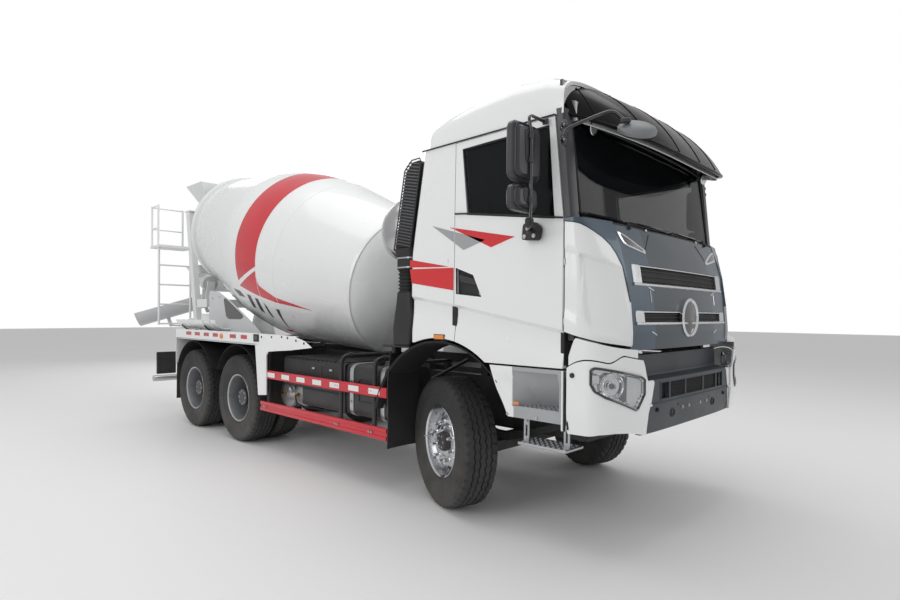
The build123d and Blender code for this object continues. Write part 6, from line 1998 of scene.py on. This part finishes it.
stores.tube(
    [at(-2.5, -1.06, 0.68), at(-2.42, -1.1, 0.6), at(-2.25, -1.09, 0.575), at(-1.6, -1.02, 0.585)], 0.009,
    "seal_rubber", bend=0.05, sides=10)
rounded_box(stores, (-1.5, -0.7), (0.43, 1.115), (0.605, 1.105), 0.05, "chassis_black")
for x in np.linspace(-1.44, -0.76, 12):
    stores.block(at(x - 0.009, 1.108, 0.68), at(x + 0.009, 1.12, 1.03), "black_plastic", edge=0.003)
stores.done(sharp=34)

# %% [markdown]
# ## Side guards
# Two red rails run between the axles on each side. The upper one is a flat bar with plain reflector
# plates, the lower one a channel with a long groove. Black bent tubes carry them from the frame, each
# held by a clamp. The groove is part of the rail's outline, so it catches a real shadow.

# %% Rails, plates and bent posts
guards_red = Maker("side_guard_rails", "chassis", "red_paint", ["side_guards"])
RAIL_REAR, RAIL_FRONT = -3.007, -0.661
LOWER_RAIL = [
    (1.195, 0.466), (1.224, 0.466), (1.23, 0.472), (1.23, 0.5), (1.221, 0.506), (1.221, 0.538), (1.23, 0.544),
    (1.23, 0.571), (1.224, 0.577), (1.195, 0.577)]
UPPER_RAIL = [(1.195, 0.85), (1.224, 0.85), (1.23, 0.856), (1.23, 0.939), (1.224, 0.945), (1.195, 0.945)]
for side, hand in SIDES:
    for outline in (LOWER_RAIL, UPPER_RAIL):
        guards_red.prism(
            [(side * y, z) for y, z in outline], "x", FRONT_AXLE_X + RAIL_REAR, FRONT_AXLE_X + RAIL_FRONT,
            "guard_red", edge=0.003)
    for k in range(7):
        x = -2.83 + 0.318 * k
        near, far = sorted((side * 1.2295, side * 1.2325))
        guards_red.block(at(x, near, 0.872), at(x + 0.165, far, 0.924), "plate_white", edge=0.001)
        near, far = sorted((side * 1.2295, side * 1.2315))
        guards_red.block(at(x - 0.012, near, 0.866), at(x + 0.177, far, 0.93), "red_lens", edge=0.001)
    for x in (-2.9, -1.44, -0.9):
        post_y = side * 1.173
        guards_red.tube(
            [at(x, post_y, 0.46), at(x, post_y, 1.19), at(x, side * 0.43, 1.19)], 0.022, "chassis_black",
            bend=0.09, sides=18)
        near, far = sorted((side * 1.171, side * 1.196))
        for low, high in ((0.47, 0.57), (0.86, 0.94)):
            guards_red.block(at(x - 0.03, near, low), at(x + 0.03, far, high), "chassis_black", edge=0.004)
            for reach in (-0.018, 0.018):
                guards_red.bolt(
                    at(x + reach, side * 1.23, (low + high) / 2), (0, side, 0), 0.008, "satin_silver")
        for y in (1.06, 0.7):
            guards_red.lathe(
                [(-0.025, 0.022), (-0.025, 0.031), (0.025, 0.031), (0.025, 0.022)], at(x, side * y, 1.19),
                (0, 1, 0), "cast_black", sides=20, closed=True)
        near, far = sorted((side * 0.42, side * 0.45))
        guards_red.block(at(x - 0.03, near, 1.13), at(x + 0.03, far, 1.215), "chassis_black", edge=0.004)
guards_red.done(sharp=34)

# %% [markdown]
# ## Air intake
# The engine breathes through a tall black duct behind the cab: a slatted head, a rubber bellows and a
# moulded foot. The bellows is one lofted column whose rings step in and out; the slats are separate small
# bars in front of a solid black core, which paints the shade inside the hollow head, so that the gaps
# between them look open.

# %% Slatted head, bellows and foot
finish("slat_grey", (0.075, 0.077, 0.085), (0.35, 0.5), shade=0.85)
intake = Maker("air_intake_stack", "chassis", "black_plastic", ["air_intake"])


def column(maker, stations, corner, name):
    """An upright duct from (z, x low, x high, y low, y high) stations with rounded corners."""
    rings = []
    for z, x_low, x_high, y_low, y_high in stations:
        outline = rounded_outline([(x_low, y_low), (x_high, y_low), (x_high, y_high), (x_low, y_high)], corner)
        rings.append([at(p[0], p[1], z) for p in outline])
    maker.loft(rings, name)


column(
    intake, [(1.325, -0.6, -0.395, -1.19, -1.012), (1.345, -0.612, -0.385, -1.208, -1.01),
    (1.48, -0.61, -0.37, -1.213, -1.01), (1.6, -0.59, -0.345, -1.213, -1.012),
    (1.69, -0.58, -0.38, -1.205, -1.016), (1.8, -0.572, -0.392, -1.2, -1.02)], 0.035, "black_plastic")
bellows = []
for k in range(15):
    inset = 0.004 if k % 2 else 0.016
    z = 1.79 + 0.0155 * k
    bellows.append((z, -0.574 + inset, -0.388 - inset, -1.202 + inset, -1.018 - inset))
column(intake, bellows, 0.045, "seal_rubber")
column(
    intake, [(2.0, -0.572, -0.39, -1.202, -1.016), (2.11, -0.572, -0.39, -1.202, -1.016),
    (2.16, -0.588, -0.378, -1.213, -0.99), (2.185, -0.594, -0.374, -1.215, -0.972)], 0.035, "black_plastic")
for z in (2.012, 2.095):
    column(
        intake, [(z, -0.577, -0.385, -1.207, -1.011), (z + 0.012, -0.577, -0.385, -1.207, -1.011)], 0.04,
        "satin_silver")
HEAD = [(-0.59, 2.175), (-0.376, 2.175), (-0.246, 2.905), (-0.262, 2.93), (-0.36, 2.928), (-0.452, 2.85)]
# Solid black core behind the slats: painted shade of the hollow head, seen through the gaps.
painted_shade_core = [(-0.574, 2.19), (-0.392, 2.19), (-0.262, 2.895), (-0.275, 2.915), (-0.358, 2.912), (-0.438, 2.842)]
intake.prism(ahead(painted_shade_core), "y", -1.205, -0.966, "seal_rubber", edge=0.004)
head_rim = [at(x, -1.209, z) for x, z in HEAD]
intake.tube(head_rim + head_rim[:1], 0.0055, "black_plastic", sides=8)
head_rim = [at(x, -0.966, z) for x, z in HEAD]
intake.tube(head_rim + head_rim[:1], 0.0055, "black_plastic", sides=8)
for k in range(27):
    z = 2.215 + 0.0262 * k
    rear = float(np.interp(z, [2.175, 2.85, 2.928], [-0.586, -0.45, -0.362]))
    front = float(np.interp(z, [2.175, 2.905], [-0.38, -0.25]))
    intake.slab(
        at((rear + front) / 2, -1.209, z), (1, 0, -0.22), (0, 0.5, 1), (front - rear, 0.0125, 0.006),
        "slat_grey", edge=0.0015)
    if z < 2.84:
        intake.slab(
            at(rear - 0.001, -1.085, z), (0, 1, 0), (0.25, 0, 1), (0.225, 0.0125, 0.006), "slat_grey",
            edge=0.0015)
intake.block(at(-0.76, -1.205, 1.315), at(-0.385, -1.012, 1.334), "chassis_black")
intake.block(at(-0.757, -1.1, 1.14), at(-0.702, -1.012, 1.325), "chassis_black", edge=0.01)
intake.block(at(-0.757, -1.1, 1.138), at(-0.702, -0.345, 1.163), "chassis_black", edge=0.005)
intake.block(at(-0.757, -0.425, 1.08), at(-0.702, -0.345, 1.163), "chassis_black", edge=0.005)
intake.done(sharp=34)

# %% [markdown]
# ## Water tank
# The wash water sits in a polished tank across the frame. It is a turned form with dished ends, a rolled
# rim and two straps. Polished steel is mostly what it mirrors, so its roughness wanders in broad patches.

# %% Tank with dished ends
tank = Maker("water_tank_shell", "chassis", "tank_polished", ["water_tank"])
tank_middle = at(-0.905, 0, 2.42)
dish = [
    (1.0 - 0.125 * (1 - math.sqrt(max(0.0, 1 - (r / 0.3) ** 2))) / (1 - math.sqrt(1 - (0.268 / 0.3) ** 2)), r)
    for r in np.linspace(0.0, 0.268, 12)]
tank_line = dish + [(0.868, 0.276), (0.862, 0.282), (0.85, 0.282), (0.845, 0.28)]
tank_line += [(-a, r) for a, r in reversed(tank_line)]
tank.lathe(tank_line, tank_middle, (0, 1, 0), "polished_steel", sides=128)
for y in (-0.45, 0.45):
    tank.lathe(
        [(y - 0.025, 0.2805), (y - 0.025, 0.2845), (y + 0.025, 0.2845), (y + 0.025, 0.2805)], tank_middle,
        (0, 1, 0), "satin_silver", sides=96, closed=True)
tank.lathe(
    [(0, 0.06), (0.018, 0.06), (0.02, 0.068), (0.03, 0.068), (0.034, 0.06), (0.034, 0.0)],
    tank_middle + Vector((0, -0.3, 0.247)), UP, "satin_silver", sides=32)
tank.lathe(
    [(0, 0.02), (0.03, 0.02), (0.03, 0.028), (0.04, 0.028), (0.04, 0)],
    tank_middle + Vector((0.1, -0.955, -0.16)), (0, -1, 0), "brass", sides=18)
tank.tube(
    [tank_middle + Vector((0.1, -0.97, -0.18)), tank_middle + Vector((0.1, -0.97, -0.3)),
    tank_middle + Vector((0.1, -0.6, -0.34))], 0.011, "seal_rubber", bend=0.05, sides=10)
for side, hand in SIDES:
    near, far = sorted((side * 0.36, side * 0.41))
    tank.block(at(-1.17, near, 2.06), at(-0.64, far, 2.2), "mixer_grey")
tank.done(sharp=30)

# %% [markdown]
# ## Mixer body panels and stowed chutes
# Beside the drum's rear half a grey plate stands on each fender with a dark window in it, and on the right
# the spare chute sections lie nested on two cradles. Half-round sheets show their thickness at the rim, so
# each one is an arc of points with real depth.

# %% Side plates and chute sections
body_panels = Maker("mixer_body_panels", "chassis", "mixer_grey")
PLATE = [
    (-5.02, 1.248), (-3.33, 1.248), (-3.36, 1.3), (-3.62, 1.45), (-4.3, 1.76), (-4.7, 1.9), (-4.96, 1.93),
    (-5.02, 1.9)]
WINDOW = [
    (-4.53, 1.8), (-4.45, 1.56), (-4.37, 1.525), (-4.01, 1.525), (-3.93, 1.555), (-3.96, 1.585), (-4.34, 1.755),
    (-4.48, 1.815)]
for side, hand in SIDES:
    near, far = sorted((side * 0.985, side * 0.997))
    body_panels.prism(ahead(PLATE), "y", near, far, "mixer_grey", edge=0.003)
    near, far = sorted((side * 0.996, side * 1.001))
    body_panels.prism(ahead(WINDOW), "y", near, far, "gloss_black", corner=0.02, edge=0.002)
    for x, z in ((-4.93, 1.33), (-4.55, 1.31), (-4.1, 1.31), (-3.7, 1.31), (-4.9, 1.82), (-4.66, 1.83)):
        body_panels.bolt(at(x, side * 0.997, z), (0, side, 0), 0.01, "satin_silver")
    near, far = sorted((side * 0.62, side * 0.99))
    for x in (-4.9, -4.2, -3.6):
        body_panels.block(at(x - 0.03, near, 1.25), at(x + 0.03, far, 1.3), "mixer_grey")
for k in range(3):
    start, end, radius = -5.62 + 0.195 * k, -4.7 + 0.185 * k, 0.192 - 0.01 * k
    arc = np.radians(np.linspace(195, 372, 30))
    rows = [
        [at(x, -1.045 + radius * math.cos(a), 1.555 + radius * math.sin(a)) for a in arc]
        for x in np.linspace(start, end, 8)]
    body_panels.skin(rows, 0.006, "drum_paint", lambda p: (Vector((p.x, -1.045, 1.555)) - p).normalized())
    for x in (start, end):
        rim = [
            at(x, -1.045 + (radius - 0.003) * math.cos(a), 1.555 + (radius - 0.003) * math.sin(a)) for a in arc]
        body_panels.tube(rim, 0.008, "drum_paint", sides=8)
for x in (-5.45, -4.65):
    body_panels.block(at(x - 0.03, -1.2, 1.247), at(x + 0.03, -0.88, 1.29), "chassis_black")
    cradle = [
        at(x, -1.045 + 0.205 * math.cos(a), 1.555 + 0.205 * math.sin(a) - 0.002)
        for a in np.radians(np.linspace(215, 325, 14))]
    body_panels.tube(cradle, 0.009, "chassis_black", sides=10)
    for y in (-1.15, -0.94):
        body_panels.tube([at(x, y, 1.285), at(x, y, 1.372)], 0.01, "chassis_black", sides=10)
body_panels.done(sharp=32)

# %% [markdown]
# ## Rear underrun bar and lamp brackets
# A silver tube hangs behind the last wheels on two arms, below dark brackets that carry the lamps.

# %% Underrun bar, brackets and lamps
RAIL_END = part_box("frame_rails")[0].x
tail = Maker("rear_underrun_set", "chassis", "cast_black", ["rear_bumper"])
tail.lathe(
    [(-1.1, 0.0), (-1.1, 0.046), (-1.094, 0.05), (1.094, 0.05), (1.1, 0.046), (1.1, 0.0)], at(-7.0, 0, 0.5),
    (0, 1, 0), "satin_silver", sides=36)
for side, hand in SIDES:
    start, end = Vector((RAIL_END - 0.045, side * 0.39, 0.9)), at(-6.99, side * 0.39, 0.5)
    tail.tube([start, end], 0.045, "chassis_black", sides=16, flat=0.8)
    near, far = sorted((side * 0.352, side * 0.412))
    tail.block(Vector((RAIL_END - 0.1, near, 0.78)), Vector((RAIL_END, far, 1.02)), "chassis_black", edge=0.008)
    near, far = sorted((side * 0.4, side * 1.15))
    tail.block(
        Vector((RAIL_END - 0.06, near, 0.82)), Vector((RAIL_END - 0.03, far, 0.96)), "chassis_black",
        edge=0.006)
    near, far = sorted((side * 0.85, side * 1.15))
    tail.block(
        Vector((RAIL_END - 0.06, near, 0.6)), Vector((RAIL_END - 0.03, far, 0.83)), "chassis_black", edge=0.01)
    for y, name in ((0.92, "lamp_white"), (1.0, "amber_lens"), (1.08, "red_lens")):
        tail.lathe(
            [(0, 0.036), (0.01, 0.036), (0.016, 0.03), (0.018, 0.0)], Vector((RAIL_END - 0.06, side * y, 0.72)),
            (-1, 0, 0), name, sides=28)
        tail.lathe(
            [(0, 0.042), (0.006, 0.042), (0.006, 0.035), (0, 0.035)], Vector((RAIL_END - 0.06, side * y, 0.72)),
            (-1, 0, 0), "black_plastic", sides=28, closed=True)
    for y in (0.5, 0.7, 0.95, 1.1):
        tail.bolt(Vector((RAIL_END - 0.06, side * y, 0.93)), (-1, 0, 0), 0.01, "satin_silver")
tail.block(Vector((RAIL_END - 0.06, -0.36, 0.8)), Vector((RAIL_END, 0.36, 0.92)), "chassis_black", edge=0.006)
for low in (0.81, 0.89):
    outline = [
        (RAIL_END - 0.2, -0.03), (RAIL_END - 0.17, -0.06), (RAIL_END - 0.05, -0.06), (RAIL_END - 0.05, 0.06),
        (RAIL_END - 0.17, 0.06), (RAIL_END - 0.2, 0.03)]
    tail.prism(outline, "z", low, low + 0.02, "cast_black", edge=0.003)
tail.lathe(
    [(0.905 - 0.86 + 0.005, 0.0), (0.905 - 0.86 + 0.005, 0.028), (0.905 - 0.86 + 0.016, 0.028),
    (0.905 - 0.86 + 0.018, 0.0)], Vector((RAIL_END - 0.15, 0, 0.86)), UP, "satin_silver", sides=20)
tail.done(sharp=34)

# %% [markdown]
# ## Side stripes
# Red and grey film on each side of the cab: a split block on the rear shell, and two long arrows that run
# on over the door. The film is cut at the door gap, so the part on the door opens with it.

# %% Film on the shell and on the door
GAP_REAR, GAP_FRONT = 0.185, 0.198


def side_film(maker, side, corners, name):
    """Film between four (x, z) corners, laid just above the side surface."""
    (a, b, c, d) = [Vector(corner) for corner in corners]
    rows = []
    for i in range(9):
        t = i / 8
        left, right = a + (d - a) * t, b + (c - b) * t
        rows.append([on_side(side, *(left + (right - left) * (j / 16)), 0.0022) for j in range(17)])
    maker.skin(rows, 0.0012, name, sideways(side))


def cut_arrow(tip, top, foot, x):
    """Heights of an arrow's upper and lower edge at x; its edges leave the tip towards top and foot."""
    share_top, share_foot = (x - tip[0]) / (top[0] - tip[0]), (x - tip[0]) / (foot[0] - tip[0])
    return tip[1] + (top[1] - tip[1]) * share_top, tip[1] + (foot[1] - tip[1]) * share_foot


ARROWS = [
    ("stripe_red", (0.14, 2.3), (0.79, 2.17), (0.57, 2.11)),
    ("stripe_grey", (-0.06, 2.33), (0.51, 2.17), (0.29, 2.11))]
for side, hand in SIDES:
    shell_film = Maker(f"{hand}_shell_film", "cab", "red_paint")
    door_film = Maker(f"{hand}_door_film", f"{hand}_door", "red_paint")
    side_film(shell_film, side, [(-0.335, 2.072), (0.13, 1.99), (0.02, 1.992), (-0.335, 2.006)], "stripe_red")
    side_film(
        shell_film, side, [(-0.335, 1.992), (GAP_REAR, 1.978), (GAP_REAR, 1.8), (-0.31, 1.872)], "stripe_red")
    for name, tip, top, foot in ARROWS:
        high, low = cut_arrow(tip, top, foot, GAP_REAR)
        side_film(
            shell_film, side,
            [(tip[0], tip[1] + 0.0006), (GAP_REAR, high), (GAP_REAR, low), (tip[0], tip[1] - 0.0006)], name)
        high, low = cut_arrow(tip, top, foot, GAP_FRONT)
        bend_high, _ = cut_arrow(tip, top, foot, foot[0])
        side_film(door_film, side, [(GAP_FRONT, high), (foot[0], bend_high), foot, (GAP_FRONT, low)], name)
        side_film(
            door_film, side, [(foot[0], bend_high), (top[0], top[1] + 0.0006), (top[0], top[1] - 0.0006), foot],
            name)
    shell_film.done(sharp=40)
    door_film.done(sharp=40)

# %% [markdown]
# ## Seats
# Two cloth seats stand behind the wheel. A pad is a crowned closed form: fuller in the middle, drawn in
# between its corners, with a sewn channel across it. It is lofted from rounded outlines that shrink
# towards both faces, which gives the soft edge that a bevelled box never has.

# %% Cushions, backs and bases
pads = Maker("seat_pads", "cab", "seat_fabric", ["seats"])


def add_pad(maker, low, high, thin, name):
    """A crowned pad between two corners; thin is the axis across which it is thinnest."""
    low, high = Vector(low), Vector(high)
    middle, half = (low + high) / 2, (high - low) / 2
    wide = [axis for axis in range(3) if axis != thin]
    rings = []
    for step in range(13):
        t = -1 + 2 * step / 12
        spread = max(0.02, (1 - abs(t) ** 3.2)) ** (1 / 3.2)
        ring = []
        for k in range(40):
            turn = 2 * math.pi * k / 40
            c, s = math.cos(turn), math.sin(turn)
            reach = (abs(c) ** 4.5 + abs(s) ** 4.5) ** (-1 / 4.5)
            pull = 1 - 0.035 * math.cos(2 * turn) ** 2
            point = Vector((0, 0, 0))
            point[wide[0]] = middle[wide[0]] + half[wide[0]] * reach * c * pull * spread
            point[wide[1]] = middle[wide[1]] + half[wide[1]] * reach * s * pull * spread
            point[thin] = middle[thin] + half[thin] * math.copysign(abs(t) ** 1.25, t)
            ring.append(point)
        rings.append(ring)
    maker.loft(rings, name)


for side, hand in SIDES:
    near, far = sorted((side * 0.37, side * 0.83))
    add_pad(pads, at(0.15, near, 1.8), at(0.64, far, 1.95), 2, "seat_cloth")
    for edge in (near, far - 0.075):
        add_pad(pads, at(0.18, edge, 1.86), at(0.62, edge + 0.075, 1.975), 2, "seat_cloth")
    add_pad(pads, at(0.06, near + 0.01, 1.9), at(0.18, far - 0.01, 2.47), 0, "seat_cloth")
    add_pad(pads, at(0.07, near + 0.1, 2.465), at(0.165, far - 0.1, 2.62), 0, "seat_cloth")
    pads.block(at(0.19, near + 0.03, 1.505), at(0.6, far - 0.03, 1.8), "dash_plastic", edge=0.02)
pads.done(sharp=60)

# %% [markdown]
# ## Finishes for the parts kept from CAD
# Rails, axles, springs, the pedestals and the chute are already the right shape, so they stay and only
# take a finish. Each node's own material slots are filled; nothing of its mesh is touched.

# %% Dress the kept parts
KEPT_FINISHES = {
    "chassis_black": ["frame_rails", "crossmembers"],
    "cast_black": ["front_axle", "rear_axles", "drivetrain", "left_knuckle", "right_knuckle", "tie_rod"],
    "drum_paint": ["front_pedestal", "rear_pedestal", "hoppers", "ladder"],
    "mixer_grey": ["chute", "chute_swivel", "chute_cylinder", "left_roller", "right_roller"],
    "satin_silver": ["chute_rod"], "dash_plastic": ["dashboard", "steering_wheel"], "cab_lining": ["cab_floor"],
    "cab_glass": ["left_door_glass", "right_door_glass"],}
for finish_name, nodes in KEPT_FINISHES.items():
    for node in nodes:
        if node in cad_nodes:
            for material_slot in cad_nodes[node].material_slots:
                material_slot.material = MATERIALS[finish_name]
            print(node, "takes", finish_name)
